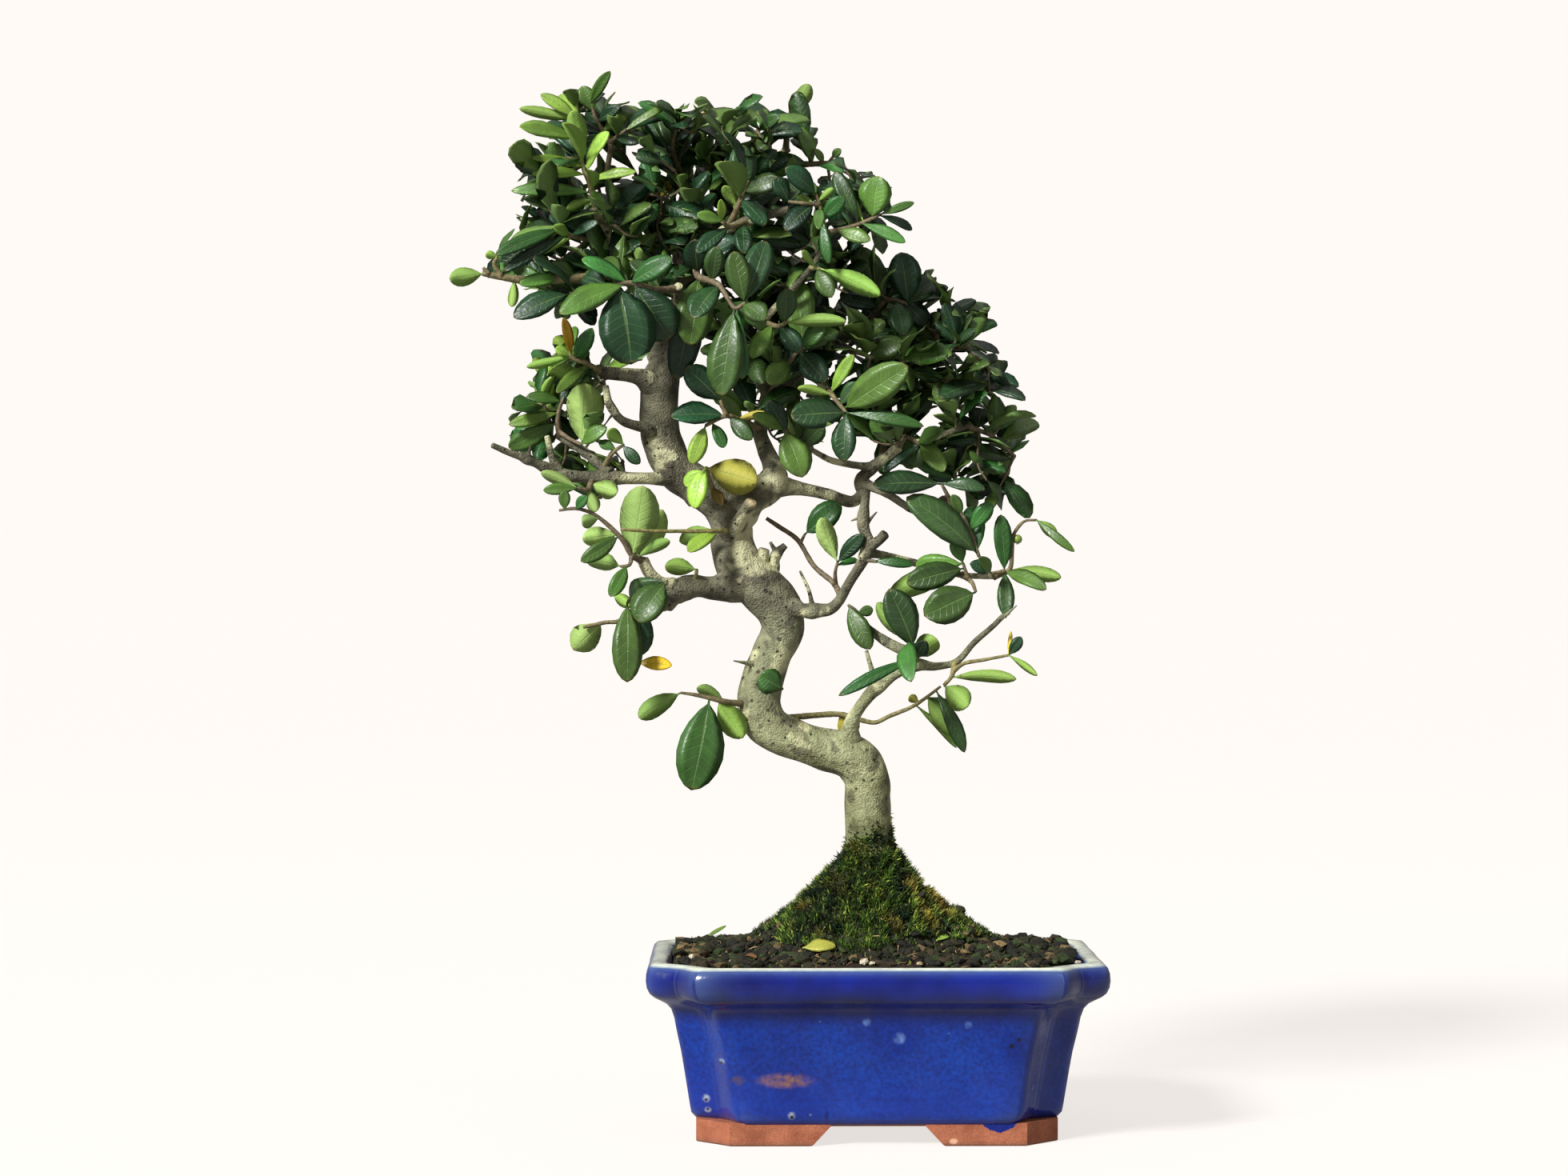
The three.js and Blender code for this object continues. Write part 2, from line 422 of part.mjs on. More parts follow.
      [1050, 744, -10, 1.4], [1041, 728, -4, 1.3], [1017, 707, 2, 1.2], [997, 675, 4, 1.1],
      [973, 658, 4, 1.1], [958, 648, 3, 0.9],
    ],
    [[1044, 731, -6, 1.0], [1044, 715, -10, 0.8], [1047, 703, -12, 0.6]],
    [[1000, 680, 4, 0.8], [1006, 668, 0, 0.6]],
  ], [
    [1007, 665, 1051, 629, 34, 1, "mid", -4], [1047, 703, 1026, 647, 25, -1, "pale", -6],
    [1048, 700, 1079, 668, 20, 1, "dark", 4], [1050, 708, 1072, 700, 10, 1, "mid", 4],
  ], []],
  ["bare_leaf", [
    [[1086, 702, -16, 1.0], [1096, 702, -18, 0.7]],
  ], [
    [1090, 702, 1143, 706, 13, 1, "mid", -2],
  ], []],
  ["trunk_leaf", [
    [[974, 868, -9, 1.0], [978, 861, -18, 0.7]],
  ], [
    [979, 861, 949, 844, 34, 1, "mid", -4],
  ], []],
  ["low_left", [
    [
      [936, 884, -8, 1.8], [906, 877, -12, 1.4], [886, 872, -15, 1.1], [866, 868, -17, 0.8],
      [851, 866, -18, 0.6],
    ],
  ], [
    [886, 876, 864, 988, 60, 1, "mid", -4], [851, 866, 798, 897, 27, -1, "olive", -4],
    [906, 874, 871, 859, 18, -1, "olive", -4], [896, 880, 929, 922, 34, -1, "young", 8],
  ], []],
  ["left_cluster", [
    [[834, 755, -20, 1.9], [818, 762, -25, 1.5], [800, 752, -28, 1.2], [784, 752, -29, 1.0]],
    [[800, 754, -28, 1.1], [774, 776, -28, 1.0], [757, 778, -28, 0.9], [729, 784, -28, 0.8]],
    [[800, 754, -27, 0.9], [796, 790, -22, 0.8], [797, 828, -22, 0.6]],
    [[818, 762, -25, 1.1], [824, 744, -28, 0.9], [834, 726, -29, 0.7]],
  ], [
    [833, 729, 797, 778, 45, 1, "dark", -6], [834, 726, 786, 748, 40, 1, "dark", 2],
    [781, 752, 784, 853, 39, 1, "dark", -6], [800, 752, 799, 820, 36, 1, "dark", 2],
    [758, 803, 717, 813, 37, -1, "pale", 4], [798, 829, 840, 832, 18, 1, "yellow", -4],
    [790, 757, 768, 744, 16, -1, "young", 4],
  ], []],
  ["left_low", [
    [
      [803, 704, -24, 1.7], [790, 694, -27, 1.3], [776, 672, -30, 1.1], [746, 645, -33, 0.9],
      [722, 636, -34, 0.8], [699, 638, -35, 0.6],
    ],
    [[790, 694, -27, 1.0], [787, 706, -29, 0.9], [776, 708, -30, 0.6]],
  ], [
    [786, 698, 804, 607, 51, -1, "pale", -4], [790, 697, 829, 637, 38, -1, "pale", 4],
    [796, 695, 838, 676, 15, -1, "olive", -4], [772, 669, 728, 674, 25, -1, "pale", -2],
    [773, 671, 726, 702, 21, 1, "olive", -6], [774, 707, 733, 700, 26, -1, "pale", 2],
    [784, 707, 763, 746, 20, 1, "olive", -6], [706, 639, 706, 613, 15, 1, "olive", -2],
    [745, 652, 728, 654, 18, -1, "pale", -2], [720, 637, 734, 620, 14, 1, "mid", -4],
  ], []],
  ["left_under", [
    [[742, 601, -20, 1.4], [735, 612, -24, 1.1], [722, 610, -28, 0.8]],
  ], [
    [720, 609, 679, 613, 15, 1, "mid", -4], [735, 602, 772, 616, 24, -1, "pale", -4],
    [688, 592, 676, 590, 16, -1, "pale", -2], [738, 612, 745, 640, 18, -1, "pale", -4],
  ], []],
  ["left_middle", [
    [[698, 548, -10, 1.5], [697, 528, -12, 1.2], [700, 508, -13, 1.0], [706, 496, -13, 0.8]],
    [[699, 540, -11, 1.0], [713, 549, -15, 0.9], [727, 556, -18, 0.8]],
  ], [
    [727, 556, 731, 479, 48, -1, "pale", -4], [698, 500, 658, 496, 17, 1, "olive", -4],
    [692, 515, 636, 531, 17, 1, "olive", -4], [688, 530, 634, 559, 27, 1, "olive", -6],
    [694, 512, 647, 506, 20, -1, "pale", 4], [728, 556, 759, 534, 21, 1, "olive", -6],
    [700, 505, 712, 480, 16, 1, "dark", 2],
  ], []],
  ["left_inner", [
    [[752, 584, -18, 1.3], [766, 566, -22, 1.0], [780, 556, -24, 0.7]],
  ], [
    [795, 549, 761, 538, 17, -1, "young", -2], [778, 556, 800, 580, 16, 1, "dark", -2],
    [770, 562, 748, 552, 14, 1, "mid", -4],
  ], []],
  ["left_shoulder", [
    [[750, 462, -14, 1.7], [732, 454, -17, 1.3], [714, 446, -18, 1.1], [712, 428, -18, 0.8]],
  ], [
    [700, 458, 658, 459, 12, -1, "young", -4], [706, 460, 695, 436, 15, 1, "young", 2],
    [716, 442, 706, 399, 14, 1, "yellow", -4], [714, 440, 719, 407, 13, 1, "mid", 2],
    [722, 442, 742, 412, 21, 1, "mid", -4], [712, 463, 688, 469, 15, 1, "dark", -4],
    [744, 462, 722, 478, 15, 1, "mid", -6], [728, 470, 697, 493, 17, 1, "dark", -6],
  ], []],
  ["trunk_front", [
    [[898, 628, -9, 1.6], [888, 604, -17, 1.3], [882, 584, -21, 0.9]],
  ], [
    [885, 582, 947, 603, 45, -1, "yellow", -4], [880, 584, 868, 636, 27, 1, "young", -4],
    [882, 590, 855, 606, 22, 1, "young", -2], [892, 608, 902, 632, 15, 1, "brown", -6],
  ], []],
  ["thin_twig", [
    [
      [913, 668, -10, 1.3], [895, 664, -18, 1.1], [851, 664, -26, 0.9], [815, 664, -33, 0.8],
      [776, 662, -40, 0.6],
    ],
  ], [
    [896, 666, 849, 677, 25, -1, "young", 2], [898, 667, 860, 690, 22, 1, "young", -4],
  ], []],
  ["low_stub_leaf", [
    [[868, 722, -13, 1.3], [871, 712, -16, 0.8]],
  ], [
    [870, 711, 831, 708, 23, -1, "young", -2],
  ], []],
  ["centre_under", [
    [[950, 532, 6, 1.8], [930, 528, -12, 1.5], [908, 520, -22, 1.1], [882, 532, -24, 0.8]],
    [[908, 520, -22, 1.0], [900, 500, -24, 0.7]],
  ], [
    [908, 521, 838, 521, 32, 1, "dark", -6], [881, 535, 864, 580, 23, 1, "young", -4],
    [897, 502, 857, 460, 37, 1, "dark", -2], [928, 528, 898, 494, 23, 1, "dark", -4],
    [929, 500, 963, 519, 13, -1, "yellow", -4], [912, 520, 940, 550, 22, 1, "dark", -6],
    [890, 528, 905, 560, 18, 1, "mid", -4],
  ], []],
  ["hidden_upper", [
    [[1194, 430, 10, 1.3], [1215, 440, 6, 1.1], [1236, 462, 4, 0.8]],
    [[1215, 440, 6, 1.1], [1202, 480, 18, 0.9], [1190, 512, 26, 0.7]],
  ], [
  ], [8, 20, 32, "dark"]],
  ["hidden_middle", [
    [[1160, 405, 20, 1.4], [1178, 440, 25, 1.2], [1190, 478, 40, 0.9]],
  ], [
  ], [6, 22, 36, "dark"]],
  ["hidden_low", [
    [[1210, 534, 2, 1.3], [1240, 545, 14, 1.1], [1268, 570, 24, 0.8]],
  ], [
  ], [6, 22, 34, "dark"]],
  ["back_top", [
    [[850, 262, 68, 1.5], [858, 225, 66, 1.2], [875, 185, 54, 0.9]],
    [[858, 225, 66, 1.1], [830, 200, 44, 0.9], [815, 180, 28, 0.7]],
  ], [
  ], [8, 16, 28, "dark"]],
  ["back_left", [
    [[748, 340, 64, 1.5], [738, 300, 62, 1.2], [735, 262, 54, 0.9]],
    [[738, 300, 62, 1.2], [712, 318, 44, 1.0], [690, 332, 26, 0.8]],
    [[735, 262, 54, 0.9], [718, 238, 36, 0.9], [706, 215, 20, 0.7]],
  ], [
  ], [11, 18, 30, "dark"]],
  ["back_middle", [
    [[847, 312, 58, 1.6], [885, 300, 68, 1.3], [920, 285, 70, 0.9]],
    [[885, 300, 68, 1.3], [900, 330, 46, 1.0], [905, 362, 28, 0.8]],
    [[920, 285, 70, 0.9], [950, 310, 48, 0.9], [975, 335, 30, 0.7]],
  ], [
  ], [11, 18, 30, "dark"]],
  ["back_right", [
    [[1080, 431, 74, 1.4], [1110, 420, 76, 1.1], [1135, 440, 72, 0.8]],
    [[1110, 420, 76, 1.1], [1090, 455, 54, 0.9], [1075, 490, 38, 0.7]],
  ], [
  ], [8, 20, 32, "dark"]],
];

// A green fruit on the right edge: [spray, across, down, depth, radius in mm].
const FRUIT = ["right_edge", 1272, 674, -16, 2.1];

// The outline of the crown, sighted from the front. Leaves placed by the rule keep inside it.
const CROWN = [
  [648, 128], [700, 108], [764, 92], [800, 130], [880, 126], [965, 124], [1014, 104], [1052, 186],
  [1098, 218], [1144, 252], [1140, 302], [1170, 318], [1235, 380], [1285, 470], [1310, 580],
  [1290, 650], [1240, 690], [1180, 640], [1090, 600], [1000, 602], [905, 600], [860, 540],
  [845, 470], [800, 460], [765, 500], [770, 590], [700, 600], [636, 560], [636, 500], [660, 440],
  [690, 410], [640, 402], [600, 362], [636, 300], [636, 235],
];

// The rule that adds leaves: each stands a golden turn from the last, leans towards the twig's
// end, and is as broad as a share of its length. Rolls are in radians.
const GOLDEN_TURN = 2.4;
const LEAN = [0.4, 1];
const LIFT = 0.2;
const BREADTH_SHARE = [0.42, 0.54];
const RULED_FACE = [0, -0.6, 0.9];
const RULED_ROLL = 0.8;
const TRIES = 16;
const NAMED_ROLL = 0.5;

// How a leaf may be bent clear of what is near it: [tip moved back in mm, roll in radians].
const BENDS = [
  [0, 0], [0, 0.3], [0, -0.3], [-5, 0], [5, 0], [-5, 0.35], [5, -0.35], [-10, 0.2], [10, -0.2],
  [-10, -0.4], [10, 0.4],
];

// Room in mm that a leaf keeps to other leaves and to wood. A leaf's foot stands this far off the
// bark, and a spray is seated on the bark in steps of this length.
const LEAF_ROOM = 2.4;
const WOOD_ROOM = 1.6;
const LEAF_OFF_BARK = 2;
const SEAT_STEP = 0.2;

// A seeded stream of even draws between 0 and 1.
function drawsFrom(seed) {
  let state = seed;
  return () => {
    state = (state + 0x6d2b79f5) | 0;
    let mixed = Math.imul(state ^ (state >>> 15), 1 | state);
    mixed = (mixed + Math.imul(mixed ^ (mixed >>> 7), 61 | mixed)) ^ mixed;
    return ((mixed ^ (mixed >>> 14)) >>> 0) / 4294967296;
  };
}

const lerp = THREE.MathUtils.lerp;
const vector = (x, y, z) => new THREE.Vector3(x, y, z);

// The place in mm of a point sighted from the front.
function sighted([across, down, depth]) {
  const reach = depth - EYE[1];
  return vector(
    EYE[0] + reach * ((across - FRAME_CENTRE[0]) / FOCAL_LENGTH + EYE_TURN),
    depth,
    EYE[2] - (reach * (down - FRAME_CENTRE[1])) / FOCAL_LENGTH,
  );
}

// Where a place in mm is sighted, in pixels.
function sightOf(point) {
  const reach = point.y - EYE[1];
  return [
    FRAME_CENTRE[0] + FOCAL_LENGTH * ((point.x - EYE[0]) / reach - EYE_TURN),
    FRAME_CENTRE[1] - (FOCAL_LENGTH * (point.z - EYE[2])) / reach,
  ];
}

// Whether a place in mm is sighted inside the crown's outline.
function insideCrown(point) {
  const [across, down] = sightOf(point);
  let inside = false;
  CROWN.forEach(([ax, ay], i) => {
    const [bx, by] = CROWN[(i + 1) % CROWN.length];
    if (ay > down !== by > down && across < ((bx - ax) * (down - ay)) / (by - ay) + ax) inside = !inside;
  });
  return inside;
}

// A closed geometry as a solid. Its faces may point either way in the geometry.
function solidOf(geometry) {
  const bare = geometry.clone();
  bare.deleteAttribute("normal");
  bare.deleteAttribute("uv");
  const merged = mergeVertices(bare, 1e-4);
  const vertProperties = merged.attributes.position.array;
  const triVerts = new Uint32Array(merged.index.array);
  const made = new wasm.Manifold(new wasm.Mesh({ numProp: 3, vertProperties, triVerts }));
  if (made.volume() > 0) return made;
  for (let i = 0; i < triVerts.length; i += 3) {
    [triVerts[i + 1], triVerts[i + 2]] = [triVerts[i + 2], triVerts[i + 1]];
  }
  return new wasm.Manifold(new wasm.Mesh({ numProp: 3, vertProperties, triVerts }));
}

// A solid as a geometry.
function geometryOf(solid) {
  const { vertProperties, triVerts } = solid.getMesh();
  const geometry = new THREE.BufferGeometry();
  geometry.setAttribute("position", new THREE.BufferAttribute(vertProperties, 3));
  geometry.setIndex(new THREE.BufferAttribute(triVerts, 1));
  geometry.computeVertexNormals();
  return geometry;
}

// The largest of a solid's separate bodies.
function largest(solid) {
  return solid.decompose().reduce((a, b) => (b.volume() > a.volume() ? b : a));
}

// A geometry skinned over rings of as many points each, its two ends closed. Where the last ring
// is one point, the skin runs to that point.
function skin(rings) {
  const tip = rings.at(-1).length === 1 ? rings.at(-1)[0] : null;
  const full = tip ? rings.slice(0, -1) : rings;
  const count = full[0].length;
  const points = full.flat();
  const faces = [];
  for (let ring = 0; ring + 1 < full.length; ring += 1) {
    for (let i = 0; i < count; i += 1) {
      const a = ring * count + i;
      const b = ring * count + ((i + 1) % count);
      faces.push(a, b, b + count, a, b + count, a + count);
    }
  }
  const closings = [[full[0], 0, true]];
  const last = (full.length - 1) * count;
  if (tip) {
    for (let i = 0; i < count; i += 1) faces.push(last + i, last + ((i + 1) % count), points.length);
    points.push(tip);
  } else {
    closings.push([full.at(-1), last, false]);
  }
  for (const [ring, start, turned] of closings) {
    for (const [a, b, c] of closingFaces(ring)) {
      faces.push(...(turned ? [start + c, start + b, start + a] : [start + a, start + b, start + c]));
    }
  }
  const geometry = new THREE.BufferGeometry().setFromPoints(points);
  geometry.setIndex(faces);
  return geometry;
}

// The triangles that close a ring, in the ring's own turning sense.
function closingFaces(ring) {
  if (ring.length < 9) return ring.slice(2).map((_, i) => [0, i + 1, i + 2]);
  const flat = ring.map((p) => new THREE.Vector2(p.x, p.y));
  return THREE.ShapeUtils.triangulateShape(flat, []);
}

// A ring of corners round a point, square to a direction. The reference sets where it starts.
function ringRound(centre, direction, reference, radius, sides) {
  const across = reference.clone().projectOnPlane(direction).normalize();
  const other = direction.clone().cross(across);
  return Array.from({ length: sides }, (_, i) => {
    const turn = (2 * Math.PI * i) / sides;
    return centre
      .clone()
      .addScaledVector(across, radius * Math.cos(turn))
      .addScaledVector(other, radius * Math.sin(turn));
  });
}

// The direction of a route at one of its points.
function directionAt(route, i) {
  const before = route[Math.max(i - 1, 0)].at;
  const after = route[Math.min(i + 1, route.length - 1)].at;
  return after.clone().sub(before).normalize();
}

// A limb along a route of places with a radius each. Grow makes it larger all round.
function limb(route, sides, grow = 0) {
  let reference = vector(0.31, -0.87, 0.39);
  const rings = route.map(({ at, radius }, i) => {
    const direction = directionAt(route, i);
    reference = reference.clone().projectOnPlane(direction).normalize();
    const end = i === 0 ? -grow : i === route.length - 1 ? grow : 0;
    return ringRound(at.clone().addScaledVector(direction, end), direction, reference, radius + grow, sides);
  });
  return solidOf(skin(rings));
}

const stepsOf = (route) => route.slice(1).map(({ at }, i) => at.distanceTo(route[i].at));
const lengthOf = (route) => stepsOf(route).reduce((sum, step) => sum + step, 0);

// A route from a distance along it on.
function routeFrom(route, gone) {
  const { at, step, within } = alongRoute(route, gone / lengthOf(route));
  const radius = lerp(route[step].radius, route[step + 1].radius, within);
  return [{ at, radius }, ...route.slice(step + 1)];
}

// How far a place lies off the bark of the nearest wood.
function offBark(place, woodRoutes) {
  const line = new THREE.Line3();
  let least = Infinity;
  for (const wood of woodRoutes) {
    for (let i = 0; i + 1 < wood.length; i += 1) {
      line.set(wood[i].at, wood[i + 1].at);
      const share = line.closestPointToPointParameter(place, true);
      const radius = lerp(wood[i].radius, wood[i + 1].radius, share);
      least = Math.min(least, line.at(share, vector(0, 0, 0)).distanceTo(place) - radius);
    }
  }
  return least;
}

// The part of a twig that leaves may stand on: what lies clear of the wood.
function freePart(route, woodRoutes) {
  const length = lengthOf(route);
  let gone = 0;
  while (gone < length - 2 && offBark(alongRoute(route, gone / length).at, woodRoutes) < LEAF_OFF_BARK) {
    gone += SEAT_STEP;
  }
  return routeFrom(route, gone);
}

// A twig, three-cornered in section. Where it grows from the wood, its start is moved along it
// until it stands clear of the wood's space.
function seatedTwig(route, trunkSpace) {
  const length = lengthOf(route);
  for (let gone = 0; gone < length; gone += SEAT_STEP) {
    const twig = limb(routeFrom(route, gone), 3);
    if (twig.intersect(trunkSpace).isEmpty()) return twig;
  }
  throw new Error("a twig never clears the wood");
}

// The spray's main twig starts on the middle of the limb that lies nearest to its first point.
function rootOnWood([first, ...rest], woodRoutes) {
  let best = null;
  const line = new THREE.Line3();
  for (const wood of woodRoutes) {
    for (let i = 0; i + 1 < wood.length; i += 1) {
      const at = line.set(wood[i].at, wood[i + 1].at).closestPointToPoint(first.at, true, vector(0, 0, 0));
      const gap = at.distanceTo(first.at);
      if (!best || gap < best.gap) best = { gap, at };
    }
  }
  return [{ at: best.at, radius: first.radius }, ...rest];
}

const routeOf = (points) => points.map((point) => ({ at: sighted(point), radius: point[3] }));

// The place on a spray's twigs that is sighted nearest to a base.
function nearestOnTwigs(routes, [across, down]) {
  let best = null;
  for (const route of routes) {
    for (let i = 0; i + 1 < route.length; i += 1) {
      const [a, b] = [sightOf(route[i].at), sightOf(route[i + 1].at)];
      const run = [b[0] - a[0], b[1] - a[1]];
      const along = ((across - a[0]) * run[0] + (down - a[1]) * run[1]) / (run[0] ** 2 + run[1] ** 2);
      const share = THREE.MathUtils.clamp(along, 0, 1);
      const gap = Math.hypot(a[0] + run[0] * share - across, a[1] + run[1] * share - down);
      if (!best || gap < best.gap) best = { gap, at: route[i].at.clone().lerp(route[i + 1].at, share) };
    }
  }
  return best.at;
}

// The place at a share of a route's length, with the direction there, the step of the route that
// it lies on and its share of that step.
function alongRoute(route, share) {
  const steps = stepsOf(route);
  let left = share * lengthOf(route);
  let i = 0;
  while (i + 1 < steps.length && left > steps[i]) {
    left -= steps[i];
    i += 1;
  }
  const direction = route[i + 1].at.clone().sub(route[i].at).normalize();
  const at = route[i].at.clone().addScaledVector(direction, left);
  return { at, direction, step: i, within: left / steps[i] };
}

// A leaf sighted from the front, rooted on the nearest twig.
function namedLeaf(routes, row, draw) {
  const [baseAcross, baseDown, tipAcross, tipDown, breadth, side, , behind] = row;
  const base = nearestOnTwigs(routes, [baseAcross, baseDown]);
  const tip = sighted([tipAcross, tipDown, base.y + behind]);
  const face = vector(0, -side, 0.2);
  const roll = NAMED_ROLL * (draw() - 0.5);
  return { base, tip, breadth: (breadth * -EYE[1]) / FOCAL_LENGTH, face, roll };
}

// A leaf placed by the rule on a twig, its upper side turned up and to the front.
function ruledLeaf(route, order, [count, shortest, longest], draw) {
  const { at, direction } = alongRoute(route, (order + lerp(0.3, 1, draw())) / count);
  const turn = GOLDEN_TURN * order + 2 * Math.PI * draw();
  const length = lerp(shortest, longest, draw());
  const [outward] = ringRound(vector(0, 0, 0), direction, vector(Math.cos(turn), Math.sin(turn), 0.3), 1, 1);
  const lean = outward.addScaledVector(direction, lerp(...LEAN, draw())).add(vector(0, 0, LIFT)).normalize();
  const face = vector(...RULED_FACE).addScaledVector(direction, 0.4);
  const tip = at.clone().addScaledVector(lean, length);
  const breadth = length * lerp(...BREADTH_SHARE, draw());
  return { base: at, tip, breadth, face, roll: RULED_ROLL * (draw() - 0.5) };
}

// Half the breadth of a blade at a share of its length: a narrow foot, broadest past the middle.
const halfBreadth = (breadth, share) => 0.5 * breadth * Math.sin(Math.PI * share ** 1.2) ** 0.8;

// A place on a leaf: share 0 to 1 runs from base to tip, side -1 to 1 from edge to edge. The
// blade folds up along its rib and bows towards its upper face. Lift moves the place off the blade.
function onLeaf(leaf, [moved, rolled], share, side, lift = 0, half = halfBreadth(leaf.breadth, share)) {
  const axis = leaf.tip.clone().add(vector(0, moved, 0)).sub(leaf.base);
  const length = axis.length();
  axis.normalize();
  const up = leaf.face.clone().projectOnPlane(axis).normalize().applyAxisAngle(axis, leaf.roll + rolled);
  const across = axis.clone().cross(up);
  const rise = FOLD * Math.abs(side) * half + BOW * length * Math.sin(Math.PI * share) + lift;
  return leaf.base
    .clone()
    .addScaledVector(axis, share * length)
    .addScaledVector(across, side * half)
    .addScaledVector(up, rise);
}

// The blade's solid: three-cornered in section, its upper face across the two edges and a keel
// under the rib. Longer leaves have more sections, and those of the rule have one. Grow makes it
// larger all round, its foot aside.
function blade(leaf, bend, named, grow = 0) {
  const length = named ? leaf.tip.distanceTo(leaf.base) : 0;
  const shares = length > 30 ? [0.3, 0.6, 0.87] : length > 17 ? [0.38, 0.76] : [0.58];
  const section = (share, half) => [
    onLeaf(leaf, bend, share, -1, grow, half),
    onLeaf(leaf, bend, share, 1, grow, half),
    onLeaf(leaf, bend, share, 0, -KEEL_DEPTH - grow, half),
  ];
  const rings = shares.map((share) => section(share, 1.06 * halfBreadth(leaf.breadth, share) + grow));
  return solidOf(skin([section(0, STALK_BREADTH / 2), ...rings, [onLeaf(leaf, bend, 1, 0)]]));
}

// Places spread over a leaf, from its foot on, by which the room round it is judged. The first of
// them are its foot.
const MARK_SHARES = [0.2, 0.34, 0.48, 0.62, 0.76, 0.9, 1];
const MARK_SIDES = [-0.85, -0.4, 0, 0.4, 0.85];
const FOOT_MARKS = 3 * MARK_SIDES.length;
const MARK_STEP = 3;
const FAR_ROOM = 12;
const leafMarks = (leaf, bend) =>
  MARK_SHARES.flatMap((share) => MARK_SIDES.map((side) => onLeaf(leaf, bend, share, side)));

// Places spread along a route, with the radius there.
function routeMarks(route, spray) {
  return route.slice(1).flatMap((end, i) => {
    const start = route[i];
    const count = Math.ceil(start.at.distanceTo(end.at) / MARK_STEP);
    return Array.from({ length: count }, (_, k) => ({
      at: start.at.clone().lerp(end.at, (k + 0.5) / count),
      room: lerp(start.radius, end.radius, (k + 0.5) / count) + WOOD_ROOM,
      spray,
    }));
  });
}

// How much room a bent leaf keeps to what is there already. Its foot may lie on its own twig.
function roomRound(leaf, bend, spray, taken) {
  const marks = leafMarks(leaf, bend);
  const reach = leaf.tip.distanceTo(leaf.base) + FAR_ROOM;
  let least = Infinity;
  for (const other of taken) {
    if (other.at.distanceTo(leaf.base) > reach) continue;
    marks.forEach((mark, i) => {
      if (other.spray === spray && i < FOOT_MARKS) return;
      least = Math.min(least, mark.distanceTo(other.at) - other.room);
    });
  }
  return least;
}

// The first bend that leaves a leaf enough room, or else the roomiest.
function settle(leaf, spray, taken) {
  let best = null;
  for (const bend of BENDS) {
    const room = roomRound(leaf, bend, spray, taken);
    if (!best || room > best.room) best = { bend, room };
    if (room >= 0) break;
  }
  return best;
}

const marksOf = (leaf, bend) => leafMarks(leaf, bend).map((at) => ({ at, room: LEAF_ROOM, spray: -1 }));

// All leaves with their bends: the named ones first, then those of the rule.
function settledLeaves(sprays, woodRoutes) {
  const taken = woodRoutes.flatMap((route) => routeMarks(route, -1));
  sprays.forEach(({ routes }, spray) => taken.push(...routes.flatMap((route) => routeMarks(route, spray))));
  const settled = [];
  const keep = (leaf, bend, spray, named) => {
    taken.push(...marksOf(leaf, bend));
    settled.push({ leaf, bend, spray, named });
  };
  sprays.forEach(({ free, rows }, spray) => {
    rows.forEach((row, i) => {
      const leaf = namedLeaf(free, row, drawsFrom(1000 * spray + i));
      keep(leaf, settle(leaf, spray, taken).bend, spray, true);
    });
  });
  sprays.forEach(({ free, more }, spray) => {
    for (let order = 0; order < (more[0] ?? 0); order += 1) {
      const draw = drawsFrom(100000 + 1000 * spray + order);
      for (let turn = 0; turn < TRIES; turn += 1) {
        const leaf = ruledLeaf(free[order % free.length], order, more, draw);
        if (!insideCrown(leaf.tip)) continue;
        const { bend, room } = settle(leaf, spray, taken);
        if (room < 0) continue;
        keep(leaf, bend, spray, false);
        break;
      }
    }
  });
  return settled;
}

// Corner cuts of the pot's outlines, as [along the front, along the side] from the square corner.
const NOTCH = [[22, 0], [18.9, 2.4], [14.3, 10.6], [12.6, 12.6], [10.6, 14.3], [2.4, 18.9], [0, 22]];
const CHAMFER = [[14.5, 0], [12, 2.5], [9.6, 4.9], [7.25, 7.25], [4.9, 9.6], [2.5, 12], [0, 14.5]];
const ROUND = NOTCH.map((_, i) => {
  const turn = (Math.PI / 2) * (i / (NOTCH.length - 1));
  return [CAVITY_CORNER * (1 - Math.sin(turn)), CAVITY_CORNER * (1 - Math.cos(turn))];
});

// An outline of the pot, inset from the rim, with one of the corner cuts.
function potOutline(inset, cut) {
  const [halfWidth, halfDepth] = [POT_WIDTH / 2 - inset, POT_DEPTH / 2 - inset];
  return [[1, 1], [-1, 1], [-1, -1], [1, -1]].flatMap(([sx, sy]) => {
    const corner = cut.map(([u, v]) => new THREE.Vector2(sx * (halfWidth - u), sy * (halfDepth - v)));
    return sx * sy > 0 ? corner.reverse() : corner;
  });
}

const levelRing = (outline, height) => outline.map((p) => vector(p.x, p.y, height));

// Profiles of the pot, as [inset, height] from the underside up, over the rim and down the inside.
const OUTER_PROFILE = [
  [22.6, FOOT_HEIGHT], [19, 12], [13.4, 46], [12, 52.7], [10.7, 57.9], [7.2, 61.3], [2.1, 64.8],
  [0, 69.5], [0, 73.2], [0.9, 76.8], [4.8, POT_HEIGHT], [8, 78],
];
const INNER_PROFILE = [[10.6, 75.5], [12.5, 66], [19, 56], [26, 20], [29, FLOOR_TOP]];

// The inset of the cavity's wall at a height.
function cavityInset(height) {
  const above = INNER_PROFILE.findIndex(([, level]) => level <= height);
  if (above <= 0) return INNER_PROFILE[0][0];
  const [[topInset, top], [lowInset, low]] = [INNER_PROFILE[above - 1], INNER_PROFILE[above]];
  return lerp(lowInset, topInset, (height - low) / (top - low));
}

// A flat outline made solid between two heights.
function slab(shape, low, high) {
  const geometry = new THREE.ExtrudeGeometry(shape, { depth: high - low, bevelEnabled: false });
  return solidOf(geometry.translate(0, 0, low));
}

